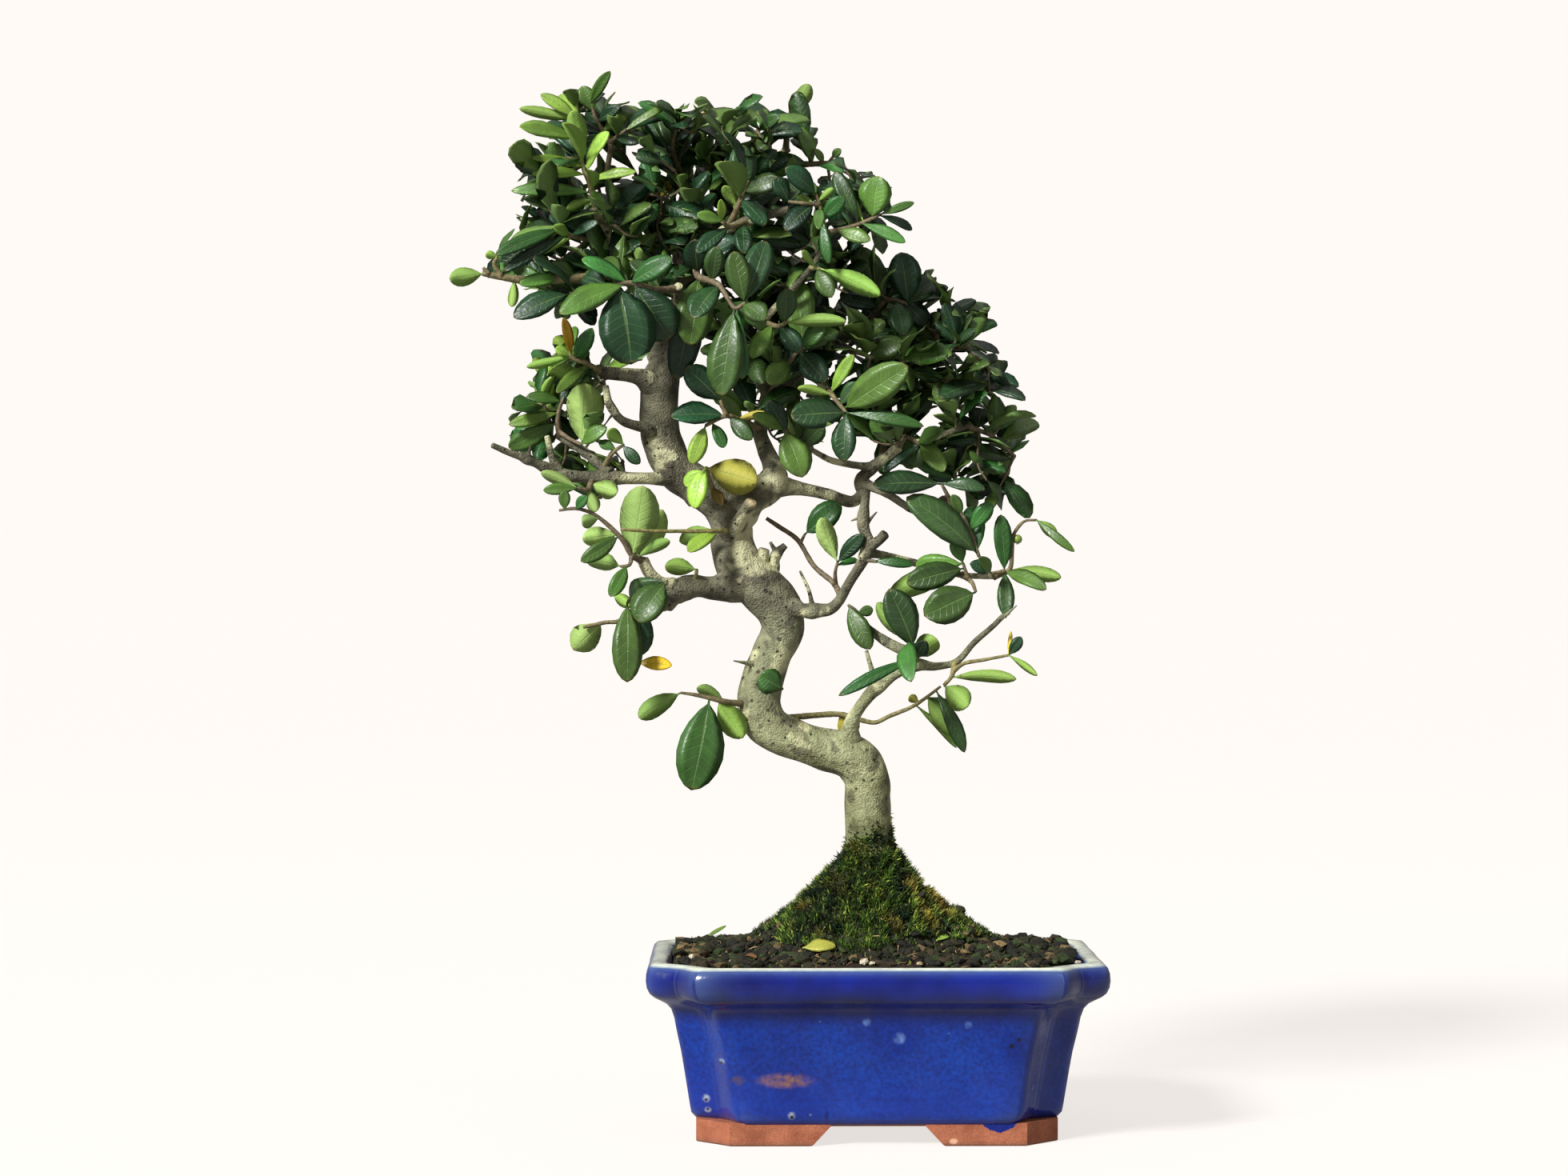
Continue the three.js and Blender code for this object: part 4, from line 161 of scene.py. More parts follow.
# Sprays: [name, twigs, leaves, more]. A twig is a list of points like those of the wood.
# A leaf is [base across, base down, tip across, tip down, breadth in pixels, side that shows (1
# is the upper), tone, how far in mm its tip lies behind its base]. More is [count, shortest,
# longest, tone] of the leaves that the rule below adds, in mm.
SPRAYS = [
  ["shoot_upper_left", [
    [[744, 272, -12, 1.6], [739, 235, -16, 1.4], [728, 205, -18, 1.2], [723, 175, -19, 1.0],
     [724, 150, -20, 0.7]]],
    [[723, 200, 716, 138, 25, -1, "young", -8], [712, 145, 649, 136, 15, -1, "young", -4],
     [722, 141, 675, 116, 17, 1, "young", -6], [700, 178, 651, 163, 27, 1, "young", -8],
     [719, 199, 684, 148, 24, 1, "dark", 2], [727, 221, 665, 218, 16, 1, "young", -8],
     [716, 246, 639, 239, 19, 1, "mid", -6], [706, 218, 666, 201, 13, 1, "young", -4],
     [745, 223, 796, 215, 15, 1, "young", -8], [738, 250, 708, 262, 13, -1, "young", -8],
     [730, 240, 756, 262, 14, 1, "mid", -10], [724, 180, 752, 170, 12, 1, "mid", 6]],
    [5, 14, 24, "young"]],
  ["top_left", [
    [[757, 289, -4, 1.6], [766, 250, -3, 1.5], [760, 215, -4, 1.4], [763, 178, -4, 1.2],
     [748, 155, -6, 1.0], [738, 130, -8, 0.7]],
    [[763, 178, -4, 1.1], [776, 168, -8, 0.8], [783, 162, -10, 0.6]]],
    [[750, 166, 782, 147, 20, -1, "young", -4], [740, 156, 776, 137, 18, 1, "dark", 2],
     [732, 145, 727, 108, 22, 1, "dark", -2], [738, 128, 764, 93, 15, 1, "olive", -4],
     [779, 168, 833, 133, 12, 1, "olive", -2], [742, 140, 705, 128, 16, 1, "dark", 2],
     [740, 135, 752, 112, 16, 1, "dark", 4], [768, 172, 800, 178, 15, 1, "dark", -8]],
    [4, 14, 24, "dark"]],
  ["left_upper", [
    [[772, 318, -2, 1.6], [742, 302, -10, 1.3], [712, 294, -16, 1.1], [699, 282, -18, 0.8]]],
    [[697, 278, 638, 303, 22, -1, "olive", -6], [700, 290, 621, 322, 20, 1, "mid", -4],
     [705, 300, 630, 341, 17, 1, "dark", -6], [712, 318, 668, 318, 12, -1, "young", -4],
     [706, 303, 692, 285, 15, 1, "young", -6], [700, 284, 690, 266, 16, 1, "dark", 2],
     [715, 295, 748, 278, 18, 1, "dark", -8]], [5, 16, 28, "dark"]],
  ["far_left", [
    [[782, 342, 2, 2.3], [740, 346, -8, 2.0], [690, 350, -14, 1.9], [650, 350, -18, 1.8],
     [625, 346, -20, 1.6], [603, 342, -21, 1.2]],
    [[628, 346, -20, 1.2], [618, 331, -21, 1.0], [622, 321, -22, 0.7]],
    [[612, 343, -21, 1.0], [604, 335, -22, 0.8]]],
    [[603, 352, 562, 349, 24, -1, "young", -4], [643, 352, 640, 384, 14, -1, "young", -4],
     [621, 318, 607, 318, 11, -1, "young", -2], [698, 347, 650, 357, 19, 1, "mid", -6],
     [680, 350, 640, 335, 18, 1, "mid", 2], [720, 346, 690, 330, 20, 1, "dark", -2]],
    [5, 14, 26, "mid"]],
  ["left_front", [
    [[848, 366, -33, 1.8], [815, 362, -40, 1.5], [790, 354, -43, 1.2], [768, 356, -45, 1.0],
     [740, 360, -43, 0.9], [712, 367, -41, 0.7]]],
    [[773, 359, 789, 456, 73, 1, "dark", -4], [790, 362, 838, 424, 58, 1, "dark", 4],
     [783, 353, 700, 394, 34, 1, "mid", -8], [708, 368, 642, 397, 33, 1, "dark", -4],
     [784, 350, 727, 324, 26, 1, "mid", -4], [787, 348, 841, 323, 28, 1, "mid", -8],
     [770, 352, 760, 318, 24, 1, "dark", 4]], [4, 16, 28, "dark"]],
  ["front_middle", [
    [[870, 322, -5, 2.0], [872, 345, -31, 1.6], [898, 356, -43, 1.3], [918, 385, -49, 1.0],
     [932, 378, -51, 0.8]]],
    [[870, 346, 862, 432, 48, 1, "dark", -6], [862, 372, 844, 474, 40, 1, "dark", 2],
     [919, 389, 901, 496, 45, 1, "dark", -2], [925, 390, 928, 474, 34, 1, "mid", 8],
     [930, 378, 917, 314, 32, 1, "dark", -4], [934, 376, 958, 300, 36, 1, "dark", 2],
     [930, 384, 957, 400, 30, 1, "dark", -6], [890, 352, 896, 308, 26, 1, "dark", -8]],
    [4, 16, 28, "dark"]],
  ["top_middle_left", [
    [[866, 258, 33, 1.6], [850, 215, 19, 1.3], [841, 185, 10, 1.0], [846, 160, 6, 0.7]]],
    [[822, 232, 803, 262, 17, 1, "yellow", -4], [843, 178, 866, 160, 14, 1, "dark", -4],
     [848, 168, 830, 142, 14, 1, "dark", -2]], [5, 16, 28, "dark"]],
  ["top_middle", [
    [[887, 183, 48, 1.5], [893, 162, 38, 1.2], [904, 147, 30, 0.8]]],
    [[903, 172, 880, 136, 17, 1, "yellow", -4], [868, 158, 880, 129, 10, 1, "olive", -2],
     [898, 158, 925, 140, 15, 1, "mid", -6]], [5, 16, 26, "dark"]],
  ["top_round", [
    [[928, 238, 27, 1.6], [936, 198, 11, 1.3], [945, 168, 2, 1.0], [954, 152, 0, 0.7]]],
    [[948, 162, 975, 145, 20, 1, "mid", -10], [945, 160, 918, 140, 20, 1, "mid", -10],
     [950, 158, 956, 132, 20, 1, "olive", -6]], [5, 16, 26, "mid"]],
  ["top_right", [
    [[984, 190, 36, 1.5], [984, 166, 29, 1.3], [988, 149, 26, 1.1], [993, 138, 25, 0.6]]],
    [[994, 137, 1012, 105, 22, -1, "young", -2], [988, 165, 1012, 172, 16, 1, "mid", -6]], []],
  ["right_stub", [
    [[955, 212, 32, 1.7], [1000, 206, 26, 1.5], [1053, 204, 20, 1.3]],
    [[1036, 204, 22, 0.8], [1041, 196, 21, 0.6]]],
    [[1040, 198, 1051, 186, 11, 1, "mid", -2], [1030, 203, 1018, 186, 11, 1, "young", -2],
     [1010, 205, 968, 196, 16, 1, "dark", -6], [1016, 205, 998, 159, 26, 1, "mid", -6]], []],
  ["inner_left", [
    [[864, 276, 27, 1.6], [835, 252, 40, 1.3], [805, 236, 48, 0.9]],
    [[835, 252, 40, 1.2], [812, 290, 30, 1.0], [790, 318, 22, 0.8]],
    [[805, 236, 48, 0.9], [790, 210, 32, 0.9], [778, 188, 20, 0.7]]],
    [], [11, 16, 28, "dark"]],
  ["centre_top", [
    [[905, 286, -20, 1.7], [924, 255, -28, 1.3], [935, 225, -32, 0.8]]],
    [[937, 277, 918, 208, 9, -1, "young", -2], [926, 262, 905, 232, 17, -1, "young", -6],
     [928, 250, 957, 282, 26, 1, "dark", -6], [930, 240, 975, 225, 28, 1, "dark", -8]],
    [4, 20, 30, "dark"]],
  ["centre_knobs", [
    [[930, 277, -27, 1.5], [912, 284, -35, 1.2], [902, 276, -39, 0.9]]],
    [[903, 278, 871, 268, 16, 1, "mid", -4], [900, 274, 901, 252, 11, 1, "young", -2],
     [912, 284, 870, 316, 22, 1, "dark", -8], [940, 276, 930, 318, 24, 1, "dark", -10]], []],
  ["right_sprig", [
    [[1030, 286, -36, 1.0], [1026, 262, -36, 0.9], [1020, 243, -36, 0.7]],
    [[1024, 256, -36, 0.9], [1005, 254, -40, 0.8], [985, 252, -40, 0.7]]],
    [[985, 253, 968, 222, 24, 1, "dark", -4], [987, 252, 1003, 222, 24, 1, "dark", -2],
     [1018, 255, 981, 288, 27, 1, "dark", -6], [1020, 240, 981, 212, 28, 1, "dark", -6],
     [1030, 298, 1036, 330, 15, 1, "mid", -4], [1018, 252, 995, 241, 9, -1, "young", -4],
     [1027, 250, 1042, 235, 10, -1, "young", -2], [1030, 280, 1055, 246, 21, 1, "mid", -6],
     [1024, 262, 1022, 290, 15, 1, "mid", -8], [1020, 246, 1014, 226, 12, 1, "olive", -2]], []],
  ["right_out", [
    [[1033, 292, -35, 1.1], [1058, 285, -34, 1.0], [1084, 276, -34, 0.9], [1100, 268, -34, 0.7]]],
    [[1090, 272, 1098, 220, 41, 1, "mid", -2], [1070, 268, 1044, 212, 23, 1, "dark", -2],
     [1101, 263, 1143, 253, 11, 1, "olive", -2], [1102, 276, 1142, 284, 13, 1, "dark", -2],
     [1078, 284, 1132, 303, 17, 1, "mid", -6], [1045, 287, 1088, 301, 20, 1, "dark", -8],
     [1076, 266, 1052, 226, 13, -1, "young", -6], [1090, 270, 1110, 244, 18, 1, "dark", 4]], []],
  ["right_middle", [
    [[1085, 408, 26, 1.6], [1096, 388, 12, 1.3], [1112, 374, 6, 1.0], [1135, 380, 2, 0.8]]],
    [[1111, 371, 1067, 309, 37, 1, "dark", -4], [1138, 378, 1126, 315, 43, 1, "dark", -4],
     [1118, 385, 1130, 420, 34, 1, "dark", -10], [1135, 382, 1165, 350, 34, 1, "dark", 2],
     [1100, 385, 1050, 372, 24, 1, "dark", -8], [1128, 384, 1160, 405, 28, 1, "dark", -8]],
    [4, 16, 28, "dark"]],
  ["diagonal_leaf", [
    [[1014, 336, -30, 1.0], [1026, 336, -34, 0.7]]],
    [[1032, 336, 1101, 369, 25, -1, "young", -4], [1020, 334, 1003, 314, 10, -1, "young", -4],
     [1018, 338, 1040, 372, 24, 1, "dark", -6]], []],
  ["centre_right", [
    [[958, 408, -20, 1.4], [974, 408, -30, 1.1], [984, 402, -34, 0.8]]],
    [[980, 402, 1058, 402, 18, -1, "young", -4], [976, 410, 1000, 440, 26, 1, "dark", -6],
     [965, 410, 940, 448, 24, 1, "olive", -8], [978, 402, 985, 360, 26, 1, "dark", -4]], []],
  ["mass_upper", [
    [[1003, 460, 18, 1.6], [1020, 425, 36, 1.3], [1040, 396, 48, 0.9]]],
    [[1035, 402, 1010, 352, 24, 1, "dark", -6], [1040, 396, 1075, 372, 26, 1, "dark", -4]],
    [4, 22, 34, "dark"]],
  ["mass_right", [
    [[1050, 428, 23, 1.5], [1066, 438, 5, 1.2], [1088, 446, -5, 0.9]]],
    [[1085, 445, 1130, 428, 30, 1, "dark", -6], [1080, 448, 1095, 495, 32, 1, "dark", -8]],
    [4, 22, 34, "dark"]],
  ["mass_centre", [
    [[962, 496, 13, 1.7], [975, 470, -7, 1.4], [992, 446, -19, 1.0], [1005, 432, -23, 0.8]]],
    [[1000, 440, 1032, 478, 34, 1, "dark", -8], [990, 452, 960, 480, 30, 1, "dark", -8],
     [1002, 434, 1030, 410, 24, 1, "mid", -6]], [5, 22, 34, "dark"]],
  ["mass_far", [
    [[1100, 577, 3, 1.6], [1110, 535, 18, 1.3], [1114, 490, 30, 1.0], [1124, 460, 38, 0.7]]],
    [[1122, 500, 1148, 470, 26, 1, "dark", -8], [1118, 510, 1098, 540, 28, 1, "dark", -10]],
    [4, 22, 34, "dark"]],
  ["mass_low", [
    [[1037, 486, -24, 1.3], [1045, 500, -34, 1.1], [1058, 516, -40, 0.8]]],
    [[1041, 493, 997, 485, 13, -1, "young", -4], [1041, 489, 1067, 443, 17, 1, "young", -6],
     [1048, 508, 1073, 478, 20, 1, "dark", -4], [1058, 508, 1134, 459, 45, 1, "dark", -8],
     [1056, 524, 988, 520, 41, 1, "dark", -8], [1070, 535, 1055, 577, 31, 1, "dark", -4],
     [1062, 525, 1155, 533, 17, 1, "mid", -6]], []],
  ["under_right", [
    [[1013, 564, -14, 1.3], [992, 548, -20, 1.1], [979, 537, -24, 0.8]]],
    [[980, 538, 1003, 597, 41, 1, "dark", -6], [985, 540, 960, 500, 26, 1, "dark", -4],
     [1005, 556, 1030, 530, 26, 1, "dark", -8], [978, 536, 940, 520, 18, 1, "olive", -6]], []],
  ["under_right_2", [
    [[1124, 556, -2, 1.3], [1133, 546, -12, 1.0], [1150, 556, -18, 0.7]]],
    [[1134, 546, 1149, 584, 31, 1, "dark", -6], [1140, 576, 1105, 590, 13, 1, "dark", -2],
     [1150, 556, 1180, 590, 26, 1, "dark", -8], [1148, 552, 1178, 540, 22, 1, "mid", -6]], []],
  ["right_hanging", [
    [[1180, 620, -20, 1.3], [1200, 640, -22, 1.1], [1214, 668, -22, 1.0], [1224, 696, -22, 0.8]],
    [[1192, 632, -21, 1.0], [1184, 618, -24, 0.9], [1177, 605, -26, 0.7]]],
    [[1174, 603, 1091, 606, 33, 1, "dark", -6], [1222, 694, 1133, 621, 43, 1, "dark", -8],
     [1226, 690, 1215, 632, 30, 1, "mid", 4], [1178, 601, 1232, 612, 19, 1, "dark", -4],
     [1212, 640, 1190, 618, 15, 1, "dark", -4], [1214, 662, 1240, 628, 22, 1, "mid", -2]], []],
  ["right_edge", [
    [[1240, 721, -15, 1.4], [1262, 712, -15, 1.1], [1265, 690, -16, 1.0], [1267, 669, -16, 0.9],
     [1280, 652, -16, 0.7], [1296, 650, -15, 0.5]],
    [[1256, 714, -15, 0.9], [1244, 716, -17, 0.8], [1238, 716, -18, 0.6]]],
    [[1258, 720, 1251, 643, 24, 1, "mid", -6], [1257, 716, 1258, 771, 22, 1, "dark", -8],
     [1284, 717, 1327, 722, 20, -1, "young", -4], [1262, 728, 1306, 737, 22, 1, "olive", -6],
     [1296, 652, 1322, 672, 16, -1, "young", -2], [1312, 654, 1341, 690, 12, 1, "olive", 2],
     [1226, 727, 1212, 705, 18, 1, "dark", -4], [1238, 716, 1221, 697, 17, 1, "dark", -6]], []],
  ["low_right_upper", [
    [[1200, 716, -12, 1.4], [1215, 728, -20, 1.0], [1220, 740, -22, 0.7]],
    [[1211, 725, -17, 1.0], [1207, 714, -18, 0.8], [1204, 704, -18, 0.7]]],
    [[1221, 741, 1155, 770, 47, 1, "dark", -8], [1200, 712, 1133, 729, 35, 1, "dark", -6],
     [1205, 695, 1145, 708, 28, 1, "mid", 4], [1160, 706, 1110, 745, 32, -1, "young", 8],
     [1204, 700, 1192, 672, 20, 1, "mid", 4]], []],
  ["low_right_middle", [
    [[1146, 826, -23, 1.5], [1143, 812, -26, 1.2], [1136, 800, -26, 0.8]]],
    [[1143, 811, 1111, 736, 43, 1, "dark", -4], [1128, 806, 1096, 753, 24, -1, "young", 6],
     [1142, 838, 1155, 800, 22, 1, "dark", -6], [1137, 801, 1138, 852, 27, 1, "mid", -12],
     [1152, 836, 1170, 798, 32, -1, "young", 8], [1126, 838, 1048, 870, 16, 1, "mid", -6]], []],
  ["low_right_inner", [
    [[1080, 779, -13, 1.2], [1070, 764, -14, 0.9], [1060, 756, -14, 0.6]]],
    [[1058, 757, 1088, 812, 28, 1, "dark", -6], [1072, 768, 1092, 762, 14, 1, "dark", -4]], []],
  ["low_right_end", [
    [[1193, 831, -27, 1.3], [1190, 845, -28, 1.0], [1180, 857, -28, 0.8]],
    [[1192, 838, -28, 1.0], [1206, 829, -29, 0.9], [1229, 825, -29, 0.8], [1261, 819, -29, 0.6]]],
    [[1190, 848, 1271, 849, 18, -1, "young", -2], [1177, 860, 1210, 884, 33, -1, "young", -4],
     [1270, 818, 1277, 796, 15, 1, "dark", -2], [1262, 821, 1297, 845, 10, -1, "young", -2],
     [1265, 800, 1266, 789, 6, -1, "yellow", 0]], []],
  ["twig_behind", [
    [[980, 893, 8, 1.5], [1020, 894, 11, 1.4], [1050, 893, 13, 1.3], [1080, 901, 13, 1.1],
     [1095, 903, 13, 1.0], [1112, 895, 13, 1.0], [1137, 885, 12, 0.9], [1155, 874, 11, 0.8],
     [1176, 858, 10, 0.6]]],
    [[1162, 876, 1193, 918, 26, -1, "young", -2], [1149, 889, 1197, 936, 10, -1, "young", -2],
     [1180, 876, 1206, 941, 20, 1, "dark", -4], [1049, 894, 1070, 918, 30, -1, "yellow", 2],
     [1150, 880, 1136, 871, 12, -1, "yellow", -2], [1160, 872, 1190, 890, 24, 1, "mid", 4]], []],
  ["twig_dark", [
    [[1050, 744, -10, 1.4], [1041, 728, -4, 1.3], [1017, 707, 2, 1.2], [997, 675, 4, 1.1],
     [973, 658, 4, 1.1], [958, 648, 3, 0.9]],
    [[1044, 731, -6, 1.0], [1044, 715, -10, 0.8], [1047, 703, -12, 0.6]],
    [[1000, 680, 4, 0.8], [1006, 668, 0, 0.6]]],
    [[1007, 665, 1051, 629, 34, 1, "mid", -4], [1047, 703, 1026, 647, 25, -1, "pale", -6],
     [1048, 700, 1079, 668, 20, 1, "dark", 4], [1050, 708, 1072, 700, 10, 1, "mid", 4]], []],
  ["bare_leaf", [
    [[1086, 702, -16, 1.0], [1096, 702, -18, 0.7]]],
    [[1090, 702, 1143, 706, 13, 1, "mid", -2]], []],
  ["trunk_leaf", [
    [[974, 868, -9, 1.0], [978, 861, -18, 0.7]]],
    [[979, 861, 949, 844, 34, 1, "mid", -4]], []],
  ["low_left", [
    [[936, 884, -8, 1.8], [906, 877, -12, 1.4], [886, 872, -15, 1.1], [866, 868, -17, 0.8],
     [851, 866, -18, 0.6]]],
    [[886, 876, 864, 988, 60, 1, "mid", -4], [851, 866, 798, 897, 27, -1, "olive", -4],
     [906, 874, 871, 859, 18, -1, "olive", -4], [896, 880, 929, 922, 34, -1, "young", 8]], []],
  ["left_cluster", [
    [[834, 755, -20, 1.9], [818, 762, -25, 1.5], [800, 752, -28, 1.2], [784, 752, -29, 1.0]],
    [[800, 754, -28, 1.1], [774, 776, -28, 1.0], [757, 778, -28, 0.9], [729, 784, -28, 0.8]],
    [[800, 754, -27, 0.9], [796, 790, -22, 0.8], [797, 828, -22, 0.6]],
    [[818, 762, -25, 1.1], [824, 744, -28, 0.9], [834, 726, -29, 0.7]]],
    [[833, 729, 797, 778, 45, 1, "dark", -6], [834, 726, 786, 748, 40, 1, "dark", 2],
     [781, 752, 784, 853, 39, 1, "dark", -6], [800, 752, 799, 820, 36, 1, "dark", 2],
     [758, 803, 717, 813, 37, -1, "pale", 4], [798, 829, 840, 832, 18, 1, "yellow", -4],
     [790, 757, 768, 744, 16, -1, "young", 4]], []],
  ["left_low", [
    [[803, 704, -24, 1.7], [790, 694, -27, 1.3], [776, 672, -30, 1.1], [746, 645, -33, 0.9],
     [722, 636, -34, 0.8], [699, 638, -35, 0.6]],
    [[790, 694, -27, 1.0], [787, 706, -29, 0.9], [776, 708, -30, 0.6]]],
    [[786, 698, 804, 607, 51, -1, "pale", -4], [790, 697, 829, 637, 38, -1, "pale", 4],
     [796, 695, 838, 676, 15, -1, "olive", -4], [772, 669, 728, 674, 25, -1, "pale", -2],
     [773, 671, 726, 702, 21, 1, "olive", -6], [774, 707, 733, 700, 26, -1, "pale", 2],
     [784, 707, 763, 746, 20, 1, "olive", -6], [706, 639, 706, 613, 15, 1, "olive", -2],
     [745, 652, 728, 654, 18, -1, "pale", -2], [720, 637, 734, 620, 14, 1, "mid", -4]], []],
  ["left_under", [
    [[742, 601, -20, 1.4], [735, 612, -24, 1.1], [722, 610, -28, 0.8]]],
    [[720, 609, 679, 613, 15, 1, "mid", -4], [735, 602, 772, 616, 24, -1, "pale", -4],
     [688, 592, 676, 590, 16, -1, "pale", -2], [738, 612, 745, 640, 18, -1, "pale", -4]], []],
  ["left_middle", [
    [[698, 548, -10, 1.5], [697, 528, -12, 1.2], [700, 508, -13, 1.0], [706, 496, -13, 0.8]],
    [[699, 540, -11, 1.0], [713, 549, -15, 0.9], [727, 556, -18, 0.8]]],
    [[727, 556, 731, 479, 48, -1, "pale", -4], [698, 500, 658, 496, 17, 1, "olive", -4],
     [692, 515, 636, 531, 17, 1, "olive", -4], [688, 530, 634, 559, 27, 1, "olive", -6],
     [694, 512, 647, 506, 20, -1, "pale", 4], [728, 556, 759, 534, 21, 1, "olive", -6],
     [700, 505, 712, 480, 16, 1, "dark", 2]], []],
  ["left_inner", [
    [[752, 584, -18, 1.3], [766, 566, -22, 1.0], [780, 556, -24, 0.7]]],
    [[795, 549, 761, 538, 17, -1, "young", -2], [778, 556, 800, 580, 16, 1, "dark", -2],
     [770, 562, 748, 552, 14, 1, "mid", -4]], []],
  ["left_shoulder", [
    [[750, 462, -14, 1.7], [732, 454, -17, 1.3], [714, 446, -18, 1.1], [712, 428, -18, 0.8]]],
    [[700, 458, 658, 459, 12, -1, "young", -4], [706, 460, 695, 436, 15, 1, "young", 2],
     [716, 442, 706, 399, 14, 1, "yellow", -4], [714, 440, 719, 407, 13, 1, "mid", 2],
     [722, 442, 742, 412, 21, 1, "mid", -4], [712, 463, 688, 469, 15, 1, "dark", -4],
     [744, 462, 722, 478, 15, 1, "mid", -6], [728, 470, 697, 493, 17, 1, "dark", -6]], []],
  ["trunk_front", [
    [[898, 628, -9, 1.6], [888, 604, -17, 1.3], [882, 584, -21, 0.9]]],
    [[885, 582, 947, 603, 45, -1, "yellow", -4], [880, 584, 868, 636, 27, 1, "young", -4],
     [882, 590, 855, 606, 22, 1, "young", -2], [892, 608, 902, 632, 15, 1, "brown", -6]], []],
  ["thin_twig", [
    [[913, 668, -10, 1.3], [895, 664, -18, 1.1], [851, 664, -26, 0.9], [815, 664, -33, 0.8],
     [776, 662, -40, 0.6]]],
    [[896, 666, 849, 677, 25, -1, "young", 2], [898, 667, 860, 690, 22, 1, "young", -4]], []],
  ["low_stub_leaf", [
    [[868, 722, -13, 1.3], [871, 712, -16, 0.8]]],
    [[870, 711, 831, 708, 23, -1, "young", -2]], []],
  ["centre_under", [
    [[950, 532, 6, 1.8], [930, 528, -12, 1.5], [908, 520, -22, 1.1], [882, 532, -24, 0.8]],
    [[908, 520, -22, 1.0], [900, 500, -24, 0.7]]],
    [[908, 521, 838, 521, 32, 1, "dark", -6], [881, 535, 864, 580, 23, 1, "young", -4],
     [897, 502, 857, 460, 37, 1, "dark", -2], [928, 528, 898, 494, 23, 1, "dark", -4],
     [929, 500, 963, 519, 13, -1, "yellow", -4], [912, 520, 940, 550, 22, 1, "dark", -6],
     [890, 528, 905, 560, 18, 1, "mid", -4]], []],
  ["hidden_upper", [
    [[1194, 430, 10, 1.3], [1215, 440, 6, 1.1], [1236, 462, 4, 0.8]],
    [[1215, 440, 6, 1.1], [1202, 480, 18, 0.9], [1190, 512, 26, 0.7]]],
    [], [8, 20, 32, "dark"]],
  ["hidden_middle", [
    [[1160, 405, 20, 1.4], [1178, 440, 25, 1.2], [1190, 478, 40, 0.9]]],
    [], [6, 22, 36, "dark"]],
  ["hidden_low", [
    [[1210, 534, 2, 1.3], [1240, 545, 14, 1.1], [1268, 570, 24, 0.8]]],
    [], [6, 22, 34, "dark"]],
  ["back_top", [
    [[850, 262, 68, 1.5], [858, 225, 66, 1.2], [875, 185, 54, 0.9]],
    [[858, 225, 66, 1.1], [830, 200, 44, 0.9], [815, 180, 28, 0.7]]],
    [], [8, 16, 28, "dark"]],
  ["back_left", [
    [[748, 340, 64, 1.5], [738, 300, 62, 1.2], [735, 262, 54, 0.9]],
    [[738, 300, 62, 1.2], [712, 318, 44, 1.0], [690, 332, 26, 0.8]],
    [[735, 262, 54, 0.9], [718, 238, 36, 0.9], [706, 215, 20, 0.7]]],
    [], [11, 18, 30, "dark"]],
  ["back_middle", [
    [[847, 312, 58, 1.6], [885, 300, 68, 1.3], [920, 285, 70, 0.9]],
    [[885, 300, 68, 1.3], [900, 330, 46, 1.0], [905, 362, 28, 0.8]],
    [[920, 285, 70, 0.9], [950, 310, 48, 0.9], [975, 335, 30, 0.7]]],
    [], [11, 18, 30, "dark"]],
  ["back_right", [
    [[1080, 431, 74, 1.4], [1110, 420, 76, 1.1], [1135, 440, 72, 0.8]],
    [[1110, 420, 76, 1.1], [1090, 455, 54, 0.9], [1075, 490, 38, 0.7]]],
    [], [8, 20, 32, "dark"]],
]

# A green fruit on the right edge: [spray, across, down, depth, radius in mm].
FRUIT = ["right_edge", 1272, 674, -16, 2.1]

# The outline of the crown, sighted from the front. Leaves placed by the rule keep inside it.
CROWN = np.array([
    [648, 128], [700, 108], [764, 92], [800, 130], [880, 126], [965, 124], [1014, 104], [1052, 186],
    [1098, 218], [1144, 252], [1140, 302], [1170, 318], [1235, 380], [1285, 470], [1310, 580],
    [1290, 650], [1240, 690], [1180, 640], [1090, 600], [1000, 602], [905, 600], [860, 540],
    [845, 470], [800, 460], [765, 500], [770, 590], [700, 600], [636, 560], [636, 500], [660, 440],
    [690, 410], [640, 402], [600, 362], [636, 300], [636, 235],
], float)

# The rule that adds leaves: each stands a golden turn from the last, leans towards the twig's
# end, and is as broad as a share of its length. Rolls are in radians.
GOLDEN_TURN = 2.4
LEAN = (0.4, 1)
LIFT = 0.2
BREADTH_SHARE = (0.42, 0.54)
RULED_FACE = (0, -0.6, 0.9)
RULED_ROLL = 0.8
NAMED_ROLL = 0.5
TRIES = 16

# How a leaf may be bent clear of what is near it: [tip moved back in mm, roll in radians].
BENDS = np.array([
    [0, 0], [0, 0.3], [0, -0.3], [-5, 0], [5, 0], [-5, 0.35], [5, -0.35], [-10, 0.2], [10, -0.2],
    [-10, -0.4], [10, 0.4],
])
LEAF_ROOM = 2.4
WOOD_ROOM = 1.6
LEAF_OFF_BARK = 2
SHORTEST_TWIG = 2
SEAT_STEP = 0.2


def place(points):
    """Millimetres round the pot's middle to metres of the frame, whose pot may stand off centre."""
    return np.asarray(points, float) / 1000 + POT_MIDDLE


def lerp(a, b, share):
    return a + (b - a) * share


def unit(vectors):
    return vectors / np.maximum(np.linalg.norm(vectors, axis=-1, keepdims=True), 1e-12)


def dot(a, b):
    return np.sum(a * b, axis=-1, keepdims=True)


def draws_from(seed):
    """A seeded stream of even draws between 0 and 1: a 32-bit counter, stirred by two products."""
    state, mask = seed, 0xFFFFFFFF
    while True:
        state = (state + 0x6D2B79F5) & mask
        stirred = ((state ^ state >> 15) * (1 | state)) & mask
        stirred = ((stirred + ((stirred ^ stirred >> 7) * (61 | stirred) & mask)) & mask) ^ stirred
        yield (stirred ^ stirred >> 14) / 4294967296


